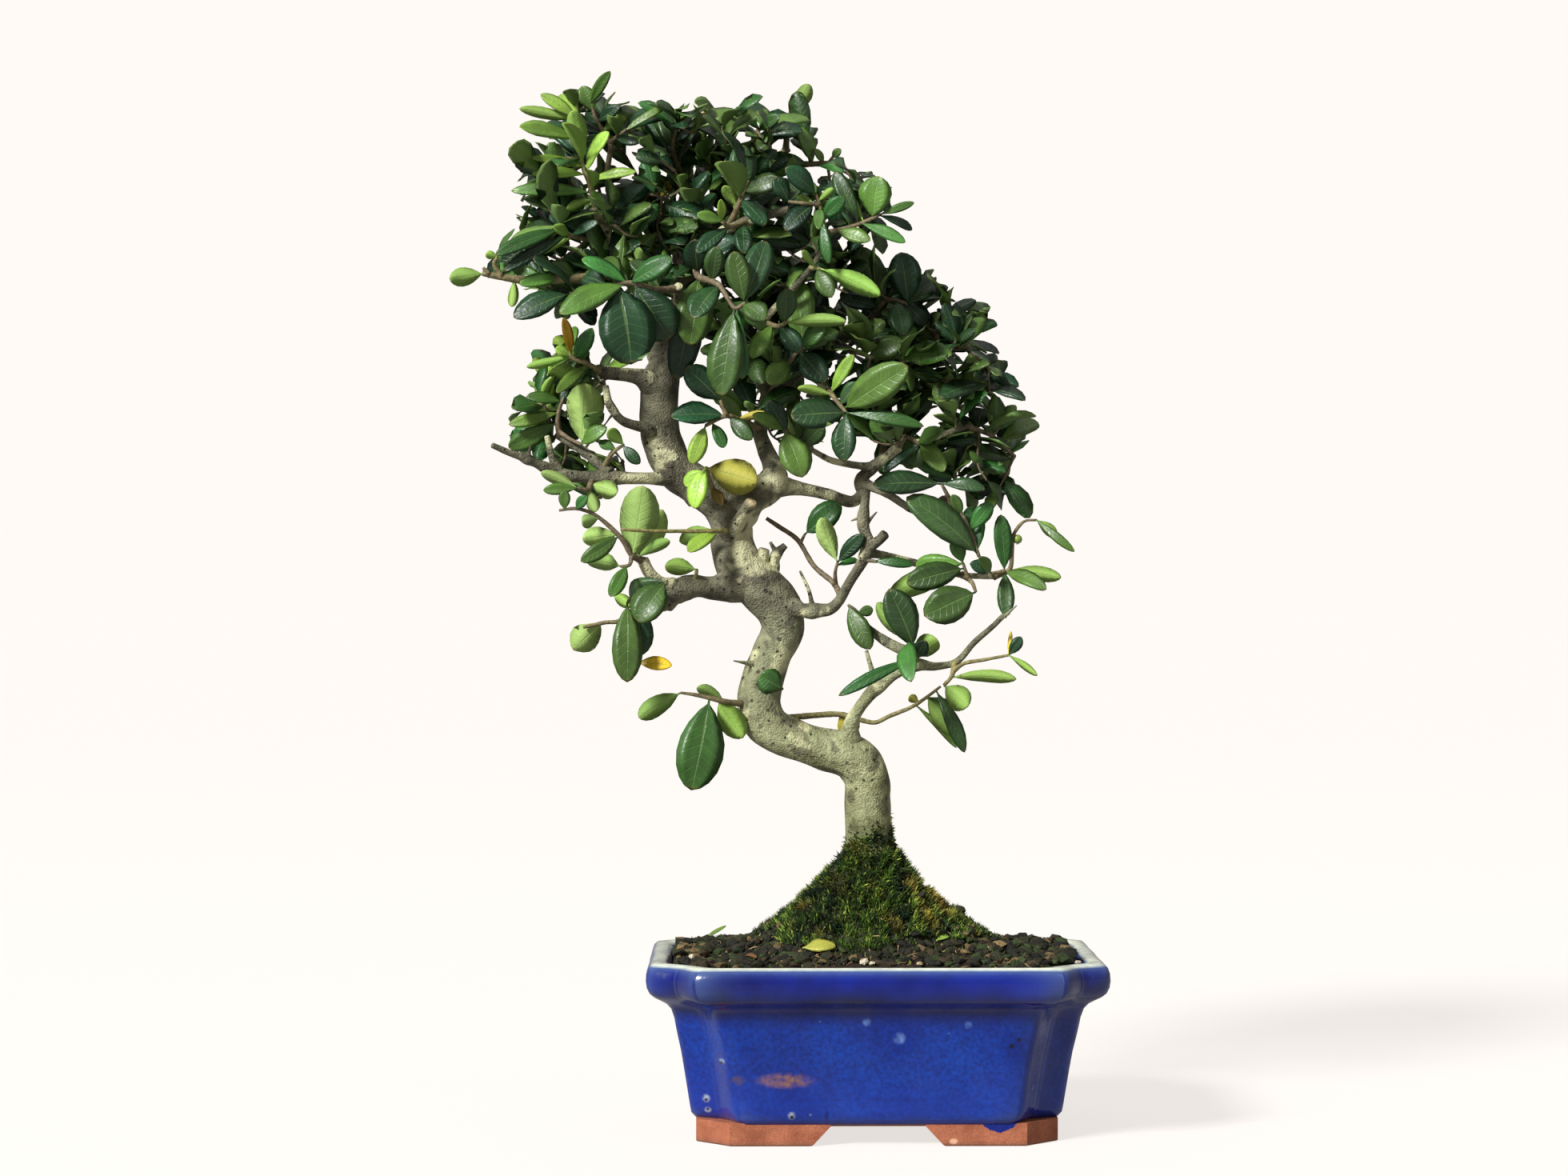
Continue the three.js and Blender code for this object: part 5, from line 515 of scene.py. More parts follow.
def sighted(points):
    """Places in mm of points [across, down, depth]: on the pixel's ray, as far as the depth."""
    across, down, depth = np.moveaxis(np.asarray(points, float)[..., :3], -1, 0)
    reach = depth - EYE[1]
    x = EYE[0] + reach * ((across - FRAME_CENTRE[0]) / FOCAL_LENGTH + EYE_TURN)
    z = EYE[2] - reach * (down - FRAME_CENTRE[1]) / FOCAL_LENGTH
    return np.stack([x, depth, z], -1)


def sight_of(points):
    """The pixels [across, down] at which places in mm are sighted."""
    reach = points[..., 1] - EYE[1]
    across = FRAME_CENTRE[0] + FOCAL_LENGTH * ((points[..., 0] - EYE[0]) / reach - EYE_TURN)
    down = FRAME_CENTRE[1] - FOCAL_LENGTH * (points[..., 2] - EYE[2]) / reach
    return np.stack([across, down], -1)


def inside(outline, point):
    """Whether a pixel lies inside an outline, by how often a level ray from it crosses that."""
    ahead = np.roll(outline, -1, axis=0)
    across, down = point
    spans = (outline[:, 1] > down) != (ahead[:, 1] > down)
    rise = np.where(spans, ahead[:, 1] - outline[:, 1], 1)
    cuts = (ahead[:, 0] - outline[:, 0]) * (down - outline[:, 1]) / rise + outline[:, 0]
    return bool(np.sum(spans & (across < cuts)) % 2)


def ripple(points, size, seed=0):
    """Smooth uneven relief between about -1 and 1: the mean of six sine waves of that size in
    mm, each running in a direction and with a phase of its own."""
    rng = np.random.default_rng(seed)
    ways = unit(rng.normal(size=(6, 3))) * (2 * math.pi / size) * rng.uniform(0.6, 1.7, (6, 1))
    return np.sin(points @ ways.T + rng.uniform(0, 2 * math.pi, 6)).mean(-1) * 1.6


def linear(red, green, blue):
    """A colour given as it looks on a screen, 0 to 255, in linear light."""
    c = np.array([red, green, blue]) / 255
    return np.where(c <= 0.04045, c / 12.92, ((c + 0.055) / 1.055) ** 2.4)


def shell(points, quads, tris, uv=None, colour=(1, 1, 1)):
    """A piece of mesh: points, faces of four and of three corners, a UV place for each corner of
    each face, and a colour for each point."""
    quads, tris = np.asarray(quads, int).reshape(-1, 4), np.asarray(tris, int).reshape(-1, 3)
    if uv is None:
        uv = (np.zeros((len(quads), 4, 2)), np.zeros((len(tris), 3, 2)))
    return {"points": np.asarray(points, float), "quads": quads, "tris": tris, "uv": uv,
            "colour": np.broadcast_to(np.asarray(colour, float), (len(points), 3))}


def joined(shells):
    """Several shells as one, the face numbers shifted past the points before them."""
    starts = np.cumsum([0] + [len(s["points"]) for s in shells[:-1]])
    whole = {key: np.concatenate([s[key] for s in shells]) for key in ("points", "colour")}
    for key in ("quads", "tris"):
        whole[key] = np.concatenate([s[key] + start for s, start in zip(shells, starts)])
    whole["uv"] = tuple(np.concatenate([s["uv"][k] for s in shells]) for k in (0, 1))
    return whole


def ring_faces(rings, sides):
    """Faces between rings of points laid out one after another, each ring running round once."""
    i, j = np.meshgrid(np.arange(rings - 1), np.arange(sides), indexing="ij")
    a, b = i * sides + j, i * sides + (j + 1) % sides
    return np.stack([a, b, b + sides, a + sides], -1).reshape(-1, 4)


def end_faces(rings, sides):
    """Triangles from the first and the last ring to the poles numbered after all rings."""
    faces = []
    for first, pole, order in ((0, rings * sides, -1), ((rings - 1) * sides, rings * sides + 1, 1)):
        ring = first + np.arange(sides)
        faces.append(np.stack([ring, np.roll(ring, -1), np.full(sides, pole)], -1)[:, ::order])
    return np.concatenate(faces)


def tube(rings, colour=(1, 1, 1)):
    """A closed tube: the rings' points, and a pole in the middle of the first and last ring."""
    count, sides = rings.shape[:2]
    points = np.concatenate([rings.reshape(-1, 3), rings[:1].mean(1), rings[-1:].mean(1)])
    grid = np.stack(np.meshgrid(np.linspace(0, 1, sides + 1), np.linspace(0, 1, count)), -1)
    uv = np.stack([grid[:-1, :-1], grid[:-1, 1:], grid[1:, 1:], grid[1:, :-1]], 2)
    return shell(points, ring_faces(count, sides), end_faces(count, sides),
                 (uv.reshape(-1, 4, 2), np.zeros((2 * sides, 3, 2))), colour)


def mesh_object(name, piece, materials, smooth=True, which=None):
    """A Blender object at the origin. which gives each face's material number, quads first."""
    quads, tris = piece["quads"], piece["tris"]
    mesh = bpy.data.meshes.new(name)
    mesh.from_pydata(place(piece["points"]).tolist(), [], quads.tolist() + tris.tolist())
    mesh.polygons.foreach_set("use_smooth", np.full(len(quads) + len(tris), smooth))
    if which is not None:
        mesh.polygons.foreach_set("material_index", np.asarray(which, np.int32))
    layer = mesh.uv_layers.new(name="surface")
    places = np.concatenate([part.reshape(-1, 2) for part in piece["uv"]])
    layer.data.foreach_set("uv", places.astype(np.float32).ravel())
    tint = mesh.color_attributes.new("tint", "FLOAT_COLOR", "POINT")
    rgba = np.concatenate([piece["colour"], np.ones((len(piece["points"]), 1))], 1)
    tint.data.foreach_set("color", rgba.astype(np.float32).ravel())
    mesh.validate()
    for skin in materials:
        mesh.materials.append(skin)
    return in_scene(bpy.data.objects.new(name, mesh))


def in_scene(made):
    bpy.context.scene.collection.objects.link(made)
    return made


def make(name, piece, materials, stands_for=(), smooth=True, which=None):
    """A piece of the object: it rides on the body and may stand for solids."""
    made = mesh_object(name, piece, materials, smooth, which)
    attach(made, "root")
    if stands_for:
        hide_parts(*stands_for)
    return made


def slopes(table):
    """At each row of a table, half of what lies between the rows before and after it."""
    rows = np.concatenate([2 * table[:1] - table[1:2], table, 2 * table[-1:] - table[-2:-1]])
    return 0.5 * (rows[2:] - rows[:-2])


def cubic(a, b, start, end, t):
    """The cubic curve from a to b with those slopes at its ends, at shares t of the way."""
    return (a * (2 * t**3 - 3 * t**2 + 1) + start * (t**3 - 2 * t**2 + t)
            + b * (3 * t**2 - 2 * t**3) + end * (t**3 - t**2))


THINNEST = 0.15


def smooth_route(points, radii, step):
    """A route drawn through its points: a cubic between each two, whose slope at a point follows
    its neighbours and is no longer than the gap, cut into steps of about that length."""
    table = np.concatenate([np.asarray(points, float), np.asarray(radii, float)[:, None]], 1)
    gaps = np.linalg.norm(np.diff(table[:, :3], axis=0), axis=1)
    slope = slopes(table)
    steep = np.maximum(np.linalg.norm(slope[:, :3], axis=1), 1e-6)
    pieces = []
    for i, gap in enumerate(gaps):
        count = max(2, int(math.ceil(gap / step)))
        start, end = (slope[k] * min(1, gap / steep[k]) for k in (i, i + 1))
        t = (np.arange(count) / count)[:, None]
        pieces.append(cubic(table[i], table[i + 1], start, end, t))
    table = np.concatenate(pieces + [table[-1:]])
    return table[:, :3], np.maximum(table[:, 3], THINNEST)


FIRST_ACROSS = np.array([0.31, -0.87, 0.39])


def rounded_rings(centres, radii, sides):
    """Circles round a route's points, as an array of rings. The directions across are carried on
    along it without twist: each turns only as far as the route does."""
    ahead = unit(np.gradient(centres, axis=0))
    across = np.zeros_like(ahead)
    current = FIRST_ACROSS
    for i, direction in enumerate(ahead):
        current = unit(current - direction * (current @ direction))
        across[i] = current
    other = np.cross(ahead, across)
    turn = 2 * math.pi * np.arange(sides) / sides
    circle = across[:, None] * np.cos(turn)[:, None] + other[:, None] * np.sin(turn)[:, None]
    radii = np.broadcast_to(radii, (len(centres),))[:, None, None]
    return centres[:, None] + circle * radii, circle


def steps_of(route):
    return np.linalg.norm(np.diff(route[0], axis=0), axis=1)


def along_route(route, share):
    """The place at a share of a route's length, its direction, its step and its share of that."""
    points, _ = route
    steps = steps_of(route)
    left = share * steps.sum()
    i = 0
    while i + 1 < len(steps) and left > steps[i]:
        left -= steps[i]
        i += 1
    direction = unit(points[i + 1] - points[i])
    return points[i] + direction * left, direction, i, left / steps[i]


def nearest_on(segments, spot):
    """The nearest places to a spot on straight segments, as arrays: place, share of the segment,
    distance."""
    starts, ends = segments[:2]
    run = ends - starts
    share = np.clip(((spot - starts) * run).sum(1) / np.maximum((run * run).sum(1), 1e-12), 0, 1)
    at = starts + run * share[:, None]
    return at, share, np.linalg.norm(at - spot, axis=1)


def segments_of(routes):
    """The straight segments of routes, as arrays: starts, ends, and the radii at both."""
    return tuple(np.concatenate([route[kind][cut] for route in routes])
                 for kind in (0, 1) for cut in (slice(None, -1), slice(1, None)))


def off_bark(segments, spot):
    """How far a spot lies off the surface of the nearest limb."""
    _, share, gap = nearest_on(segments, spot)
    return np.min(gap - lerp(*segments[2:], share))


def free_part(route):
    """The part of a twig that leaves may stand on: what lies clear of the wood."""
    points, radii = route
    length = steps_of(route).sum()
    gone = 0.0
    while True:
        at, _, step, within = along_route(route, gone / length)
        if gone >= length - SHORTEST_TWIG or off_bark(WOOD_SEGMENTS, at) >= LEAF_OFF_BARK:
            break
        gone += SEAT_STEP
    radius = lerp(radii[step], radii[step + 1], within)
    return np.concatenate([[at], points[step + 1:]]), np.concatenate([[radius], radii[step + 1:]])


def root_on_wood(route):
    """The twig with its first point moved to the middle of the limb that lies nearest to it."""
    points, radii = route
    at, _, gap = nearest_on(WOOD_SEGMENTS, points[0])
    return np.concatenate([[at[gap.argmin()]], points[1:]]), radii


def route_of(points):
    return sighted(points), np.array([p[3] for p in points], float)


def named_leaf(routes, row, draw):
    """A leaf sighted from the front, rooted on the nearest twig: the place on the spray's twigs
    that is sighted nearest to its base."""
    found = []
    for points, _ in routes:
        flat = sight_of(points)
        _, share, gap = nearest_on((flat[:-1], flat[1:]), np.asarray(row[:2], float))
        i = gap.argmin()
        found.append((gap[i], lerp(points[i], points[i + 1], share[i])))
    base = min(found, key=lambda one: one[0])[1]
    return {"base": base, "tip": sighted([row[2], row[3], base[1] + row[7]]),
            "breadth": row[4] * -EYE[1] / FOCAL_LENGTH, "face": np.array([0, -row[5], 0.2]),
            "roll": NAMED_ROLL * (next(draw) - 0.5), "tone": row[6]}


def ruled_leaf(route, order, more, draw):
    """A leaf placed by the rule on a twig, its upper side turned up and to the front."""
    count, shortest, longest, tone = more
    at, direction, _, _ = along_route(route, (order + lerp(0.3, 1, next(draw))) / count)
    turn = GOLDEN_TURN * order + 2 * math.pi * next(draw)
    length = lerp(shortest, longest, next(draw))
    way = np.array([math.cos(turn), math.sin(turn), 0.3])
    outward = unit(way - direction * (way @ direction))
    leaning = unit(outward + direction * lerp(*LEAN, next(draw)) + np.array([0, 0, LIFT]))
    breadth = length * lerp(*BREADTH_SHARE, next(draw))
    return {"base": at, "tip": at + leaning * length, "breadth": breadth, "tone": tone,
            "face": np.array(RULED_FACE) + direction * 0.4, "roll": RULED_ROLL * (next(draw) - 0.5)}


def leaf_axes(base, tip, face, roll):
    """For arrays of leaves: length, the axis from base to tip, the direction across and the one
    that the upper face looks in, turned by the roll about the axis."""
    axis = tip - base
    length = np.linalg.norm(axis, axis=-1, keepdims=True)
    axis = axis / length
    up = unit(face - axis * dot(face, axis))
    up = up * np.cos(roll) + np.cross(axis, up) * np.sin(roll)
    return length, axis, np.cross(axis, up), up


# Where on a leaf the room round it is judged: shares of its length, and of half its breadth.
MARK_SHARES = np.array([0.2, 0.34, 0.48, 0.62, 0.76, 0.9, 1])
MARK_SIDES = np.array([-0.85, -0.4, 0, 0.4, 0.85])
FOOT_MARKS = 3 * len(MARK_SIDES)
MARK_STEP = 3
WIDEST_BEND = 10


def leaf_marks(leaf, bend):
    """Places spread over a bent leaf, whose half breadth there follows sin(pi s^1.2)^0.8."""
    tip = leaf["tip"] + np.array([0, 1, 0]) * bend[0]
    length, axis, across, up = leaf_axes(leaf["base"], tip, leaf["face"], leaf["roll"] + bend[1:])
    share, side = (grid.ravel() for grid in np.meshgrid(MARK_SHARES, MARK_SIDES, indexing="ij"))
    half = 0.5 * leaf["breadth"] * np.sin(math.pi * np.clip(share, 0, 1) ** 1.2).clip(0) ** 0.8
    rise = FOLD * np.abs(side) * half + BOW * length * np.sin(math.pi * share)
    return (leaf["base"] + axis * (share * length)[:, None] + across * (side * half)[:, None]
            + up * rise[:, None])


def route_marks(route, owner):
    """Places spread along a route, the room that each keeps, and whose they are."""
    points, radii = route
    found = []
    for i, gap in enumerate(steps_of(route)):
        count = int(math.ceil(gap / MARK_STEP))
        share = (np.arange(count) + 0.5)[:, None] / count
        at = lerp(points[i], points[i + 1], share)
        room = lerp(radii[i], radii[i + 1], share) + WOOD_ROOM
        found.append(np.concatenate([at, room, np.full((count, 1), owner)], 1))
    return np.concatenate(found)


class Crowd:
    """What the crown holds already: places with the room that each keeps, and their owner."""

    def __init__(self, marks):
        self.marks = marks

    def settle(self, leaf, spray):
        """The first bend that leaves a leaf enough room, or else the roomiest: room is the least
        distance from the leaf's marks to others', less what those keep. Its foot may lie on its own
        twig. Marks too far off to be met by any bend are left aside first. Gives the bent leaf, its
        room and its marks."""
        run = leaf["tip"] - leaf["base"]
        length = np.linalg.norm(run)
        off = self.marks[:, :3] - leaf["base"]
        along = np.clip(off @ run / length**2, 0, 1)
        reach = self.marks[:, 3] + WIDEST_BEND + 0.5 * leaf["breadth"] + 0.2 * length
        near = self.marks[((off - along[:, None] * run) ** 2).sum(1) < reach**2]
        own = near[:, 4] == spray
        best = None
        for bend in BENDS:
            places = leaf_marks(leaf, bend)
            gaps = ((places[:, None] - near[None, :, :3]) ** 2).sum(-1) ** 0.5 - near[:, 3]
            gaps[:FOOT_MARKS, own] = np.inf
            room = gaps.min(initial=np.inf)
            if best is None or room > best[1]:
                best = bend, room, places
            if room >= 0:
                break
        bend, room, places = best
        tip, roll = leaf["tip"] + np.array([0, bend[0], 0]), leaf["roll"] + bend[1]
        return {**leaf, "tip": tip, "roll": roll}, room, places

    def take(self, settled, leaves, room):
        """Puts a settled leaf among the leaves, and its marks, that keep room, in the crowd."""
        leaf, _, places = settled
        rows = np.full((len(places), 5), -1.0)
        rows[:, :3], rows[:, 3] = places, room
        self.marks = np.concatenate([self.marks, rows])
        leaves.append(leaf)

    def add_ruled(self, route, order, more, draw, leaves, owner, keeps, slack=0):
        """Tries to add a leaf by the rule that has room, up to some slack, within the crown."""
        for _ in range(TRIES):
            leaf = ruled_leaf(route, order, more, draw)
            if not inside(CROWN, sight_of(leaf["tip"])):
                continue
            settled = self.settle(leaf, owner)
            if settled[1] >= -slack:
                self.take(settled, leaves, keeps)
                break


SEEDS_PER_SPRAY, RULED_SEED = 1000, 100000


def settle_leaves(sprays, crowd):
    """All leaves of the sprays, bent clear of each other: the named ones first, then the rule's."""
    for number, spray in enumerate(sprays):
        for i, row in enumerate(spray["rows"]):
            leaf = named_leaf(spray["free"], row, draws_from(SEEDS_PER_SPRAY * number + i))
            crowd.take(crowd.settle(leaf, number), spray["leaves"], LEAF_ROOM)
    for number, spray in enumerate(sprays):
        for order in range(spray["more"][0] if spray["more"] else 0):
            route = spray["free"][order % len(spray["free"])]
            draw = draws_from(RULED_SEED + SEEDS_PER_SPRAY * number + order)
            crowd.add_ruled(route, order, spray["more"], draw, spray["leaves"], number, LEAF_ROOM)


# Small leaves of the inner crown, which the solids leave out: zones sighted from the front as
# outlines, with the depths that they span, the number of twiglets and their leaves' tones.
INNER_ZONES = [
    [[(660, 150), (760, 120), (800, 140), (960, 135), (1040, 190), (1100, 235), (1100, 290),
      (1040, 330), (1000, 450), (930, 480), (860, 420), (800, 410), (730, 400), (670, 370),
      (640, 300)], (-22, 40), 130, ("dark", "dark", "mid", "dark", "dark")],
    [[(960, 340), (1090, 330), (1190, 380), (1270, 480), (1290, 580), (1230, 640), (1150, 600),
      (1080, 550), (960, 560), (930, 500)],
     (-12, 45), 90, ("dark", "dark", "dark", "mid", "olive")],
    [[(660, 470), (750, 440), (790, 520), (780, 590), (690, 590), (640, 540)],
     (-14, 20), 18, ("mid", "young", "mid", "olive", "dark")],
    [[(730, 610), (820, 620), (820, 690), (770, 730), (730, 690)],
     (-6, 20), 8, ("young", "mid", "olive", "mid", "dark")],
]
DRAWS_PER_TWIGLET = 8
TWIGLET_REACH = (4, 26)
TWIGLET_RADIUS = (0.7, 0.45)
TWIGLET_LEAVES = 4
TWIGLET_LEAF = (12, 26)
INNER_ROOM = 1.9
INNER_SLACK = 0.9
INNER_OWNER = -2


def inner_twiglets(crowd, hosts):
    """Twiglets with a few small leaves each. A place is drawn in a zone, and the twiglet runs to
    it from the nearest wood or twig, arching a little."""
    rng = np.random.default_rng(5)
    starts, ends = segments_of(hosts)[:2]
    twigs, leaves = [], []
    for edge, depths, count, tones in INNER_ZONES:
        edge = np.array(edge, float)
        made = 0
        for _ in range(count * DRAWS_PER_TWIGLET):
            if made == count:
                break
            sight = rng.uniform(edge.min(0), edge.max(0))
            if not inside(edge, sight):
                continue
            target = sighted([*sight, rng.uniform(*depths)])
            at, _, gap = nearest_on((starts, ends), target)
            root, reach = at[gap.argmin()], gap.min()
            if not TWIGLET_REACH[0] < reach < TWIGLET_REACH[1]:
                continue
            middle = (lerp(root, target, 0.5) + np.array([0, 0, -0.12 * reach])
                      + rng.normal(0, 0.05, 3) * reach)
            route = (np.stack([root, middle, target]), np.linspace(*TWIGLET_RADIUS, 3))
            kept = []
            for order in range(TWIGLET_LEAVES):
                more = (TWIGLET_LEAVES, *TWIGLET_LEAF, tones[int(rng.integers(len(tones)))])
                draw = draws_from(int(rng.integers(1 << 30)))
                crowd.add_ruled(route, order, more, draw, kept,
                                INNER_OWNER, INNER_ROOM, INNER_SLACK)
            if len(kept) > 1:
                made += 1
                twigs.append(route)
                leaves += kept
                starts = np.concatenate([starts, route[0][:-1]])
                ends = np.concatenate([ends, route[0][1:]])
    return twigs, leaves


TONES = {
    "dark": (19, 52, 30), "mid": (42, 91, 39), "olive": (67, 100, 36), "young": (128, 162, 62),
    "pale": (140, 165, 92), "yellow": (205, 165, 30), "brown": (120, 80, 45),
    "litter": (168, 150, 62),
}
# Leaves further back are darker, a painted shade of the crown over them: by what share at most,
# from which depth in mm on, over how many mm.
PAINTED_BACK_SHADE = 0.4
INNER_DEPTH = (-8, 55)
# A kind of blade: stations from foot to tip, the section from edge to edge over the upper side
# and back underneath as [side, share of the thickness], and u where each of its points lies.
FINE_BLADE = {
    "stations": np.array([0, 0.07, 0.15, 0.3, 0.46, 0.62, 0.77, 0.89, 0.965]),
    "section": np.array([[-1, 0], [-0.5, 0.5], [0, 0.25], [0.5, 0.5], [1, 0], [0, -1.2]]),
    "u": np.array([0, 0.125, 0.25, 0.375, 0.5, 0.75, 1]),
}
PLAIN_BLADE = {
    "stations": np.array([0, 0.1, 0.3, 0.55, 0.8, 0.95]),
    "section": np.array([[-1, 0], [0, 0.25], [1, 0], [0, -1.2]]),
    "u": np.array([0, 0.25, 0.5, 0.75, 1]),
}
BLADE_THICKNESS = 0.34
BLADE_PEAK = 0.3675


def leaf_uv(kind):
    """UV places of a blade's faces: u round the section, v from foot to tip."""
    u, v = kind["u"], kind["stations"]
    sides, middle = len(u) - 1, (u[:-1] + u[1:]) / 2
    across = np.stack([np.stack([u[:-1], u[1:], u[1:], u[:-1]], -1)] * (len(v) - 1))
    along = np.stack([v[:-1], v[:-1], v[1:], v[1:]], -1)[:, None].repeat(sides, 1)
    foot = np.stack([middle, u[1:], u[:-1]], -1)
    end = np.stack([u[:-1], u[1:], middle], -1)
    rise = np.broadcast_to([v[-1], v[-1], 1.0], end.shape)
    return (np.stack([across, along], -1).reshape(-1, 4, 2),
            np.concatenate([np.stack([foot, np.zeros_like(foot)], -1), np.stack([end, rise], -1)]))


def leaf_shell(leaves, seed, kind=FINE_BLADE):
    """Blades with their stalks. On each station along the axis the section is laid: half the
    breadth follows s^0.85 (1 - s)^0.62 past a narrow stalk, which gives a wedge-shaped foot and a
    rounded end, the two halves fold up from the rib by FOLD, the axis bows by BOW sin(pi s), and
    each leaf adds its own curl of the tip, wave of the edge and twist."""
    rng = np.random.default_rng(seed)
    stations, section = kind["stations"], kind["section"]
    count, rings, sides = len(leaves), len(stations), len(section)
    base, tip, face = (np.stack([leaf[key] for leaf in leaves]) for key in ("base", "tip", "face"))
    roll, breadth = (np.array([[leaf[key]] for leaf in leaves]) for key in ("roll", "breadth"))
    length, axis, across, up = leaf_axes(base, tip, face, roll)
    s = stations[None, :]
    blade = np.clip((s - 0.06) / 0.94, 0, 1)
    half = 0.5 * breadth * blade**0.85 * (1 - blade) ** 0.62 / BLADE_PEAK
    half = np.maximum(half, STALK_HALF * (1 - 0.3 * s))
    curl = rng.uniform(-0.05, 0.09, (count, 1)) * length
    twist = rng.normal(0, 0.10, (count, 1))
    wave = rng.uniform(0.02, 0.07, (count, 1)) * breadth
    phase = rng.uniform(0, 2 * math.pi, (count, 1))
    side, thick = section.T
    spread = half[..., None] * side
    rise = FOLD * rng.uniform(0.5, 1.7, (count, 1, 1)) * np.abs(spread)
    rise = rise + 0.06 * half[..., None] * np.sin(math.pi * np.abs(side)) * (s[..., None] > 0.1)
    edge = (wave * np.sin(9 * s + phase))[..., None] * side**2 * np.sign(side)
    bow = (BOW * length * np.sin(math.pi * s) - curl * (s**3 - s))[..., None]
    body = np.where(s < 0.1, 2.2, 1.0)[..., None] * BLADE_THICKNESS * thick
    rise = rise + edge * (s[..., None] > 0.15) + bow + body
    turn = (twist * (s - 0.1))[..., None]
    rise, lateral = rise + spread * np.sin(turn), spread * np.cos(turn)
    places = (base[:, None, None] + axis[:, None, None] * (s * length)[..., None, None]
              + across[:, None, None] * lateral[..., None] + up[:, None, None] * rise[..., None])
    foot = places[:, 0].mean(1, keepdims=True)
    points = np.concatenate([places.reshape(count, -1, 3), foot, tip[:, None]], 1)
    per = rings * sides + 2
    shift = np.arange(count)[:, None, None] * per
    uv = tuple(np.tile(part, (count, 1, 1)) for part in leaf_uv(kind))
    colour = np.stack([linear(*TONES[leaf["tone"]]) for leaf in leaves])
    shade = np.exp(rng.normal(0, 0.26, (count, 1))) * (1 + rng.normal(0, 0.05, (count, 3)))
    # Painted shade: leaves further back are darkened.
    shade *= 1 - PAINTED_BACK_SHADE * np.clip((base[:, 1:2] - INNER_DEPTH[0]) / INNER_DEPTH[1], 0, 1)
    sunny = rng.uniform(0, 1, (count, 1)) ** 3 * 0.45
    colour = lerp(colour * shade, linear(*TONES["young"]), sunny)
    return shell(points.reshape(-1, 3), ring_faces(rings, sides) + shift,
                 end_faces(rings, sides) + shift, uv, np.repeat(colour, per, axis=0))


TWIG_SIDES = 7
TWIG_STEP = 1.6
TWIG_FOOT = {"swell": 0.35, "reach": 2.2}
# A limb: the width of its faces, the fewest and the most round it, how much it swells over what
# reach, as shares of its thickness, and the rings of its rounded end, as [size, ahead].
LIMB_FACE, LIMB_SIDES = 1.1, (8, 56)
LIMB_COLLAR = {"swell": 0.42, "reach": 0.9}
LIMB_END = ((0.93, 0.16), (0.8, 0.26))


def twig_shell(route, colour):
    """A twig: a smoothed tube, a little uneven, swollen where it leaves what carries it."""
    centres, radii = smooth_route(*route, TWIG_STEP)
    gone = np.concatenate([[0], np.cumsum(np.linalg.norm(np.diff(centres, axis=0), axis=1))])
    swell = TWIG_FOOT["swell"] * np.exp(-gone / TWIG_FOOT["reach"])
    uneven = 1 + 0.10 * ripple(centres, 5, 3) + swell
    return tube(rounded_rings(centres, radii * uneven, TWIG_SIDES)[0], colour)


def limb_shell(route, others, collared):
    """A limb: a smoothed tube whose radius swells where it comes out of another limb, with low
    knobs and hollows, and whose end, where it was cut, is rounded off."""
    thick = route[1].max()
    centres, radii = smooth_route(*route, max(0.7, 0.12 * thick))
    sides = int(np.clip(round(2 * math.pi * thick / LIMB_FACE), *LIMB_SIDES))
    others = segments_of(others)
    gap = np.array([off_bark(others, centre) for centre in centres]).clip(0)
    collar = LIMB_COLLAR["swell"] * np.exp(-gap / (LIMB_COLLAR["reach"] * thick)) if collared else 0
    rings, circle = rounded_rings(centres, radii * (1 + collar), sides)
    relief = 0.055 * ripple(rings, 2.2 * thick + 4, 1) + 0.03 * ripple(rings, 0.7 * thick + 2, 2)
    rings = rings + circle * (radii[:, None] * relief)[..., None]
    middle, way = rings[-1:].mean(1, keepdims=True), unit(centres[-1] - centres[-2])
    rounded = [middle + (rings[-1:] - middle) * size + way * ahead * radii[-1]
               for size, ahead in LIMB_END]
    return tube(np.concatenate([rings] + rounded))


# Corner cuts of the pot's outlines, as [along the front, along the side] from the square corner.
NOTCH = np.array([
    [22, 0], [18.9, 2.4], [14.3, 10.6], [12.6, 12.6], [10.6, 14.3], [2.4, 18.9], [0, 22]])
CHAMFER = np.array([
    [14.5, 0], [12, 2.5], [9.6, 4.9], [7.25, 7.25], [4.9, 9.6], [2.5, 12], [0, 14.5]])
QUARTER = np.linspace(0, math.pi / 2, len(NOTCH))
ROUND = CAVITY_CORNER * np.stack([1 - np.sin(QUARTER), 1 - np.cos(QUARTER)], -1)
EDGE_STEPS = 14
CUT_STEPS = 5
DRILL_SIDES, DRILL_HEIGHTS = 40, (5, 12, 22)

# The pot's section: [inset, height, share of the way from the notched to the round corner], from
# the underside up, over the rim and down the inside to the floor.
POT_PROFILE = np.array([
    [40, FOOT_HEIGHT, 0], [24.5, FOOT_HEIGHT, 0], [22.9, FOOT_HEIGHT, 0], [21.4, 9.4, 0],
    [19.3, 12, 0], [18.7, 15, 0], [17.6, 22, 0], [16.2, 31, 0], [14.9, 39, 0], [13.4, 46, 0],
    [12.6, 50, 0], [11.9, 54, 0], [10.6, 58, 0], [8.7, 60.3, 0], [6.2, 61.9, 0], [3.6, 63.5, 0],
    [1.6, 65.4, 0], [0.4, 68, 0], [0, 71, 0], [0.2, 74, 0], [1.0, 76.5, 0], [2.7, 78, 0],
    [5, POT_HEIGHT, 0.1], [7.6, 78.2, 0.35], [9.5, 77, 0.7], [10.6, 75, 1], [11.2, 71, 1],
    [12.5, 66, 1], [16, 61, 1], [19, 56, 1], [22.5, 38, 1], [26, 20, 1], [28.4, 14.6, 1],
    [29.6, FLOOR_TOP, 1], [40, FLOOR_TOP, 1],
])
INNER_WALL = POT_PROFILE[:24:-1]
POT_UNEVEN = 0.22


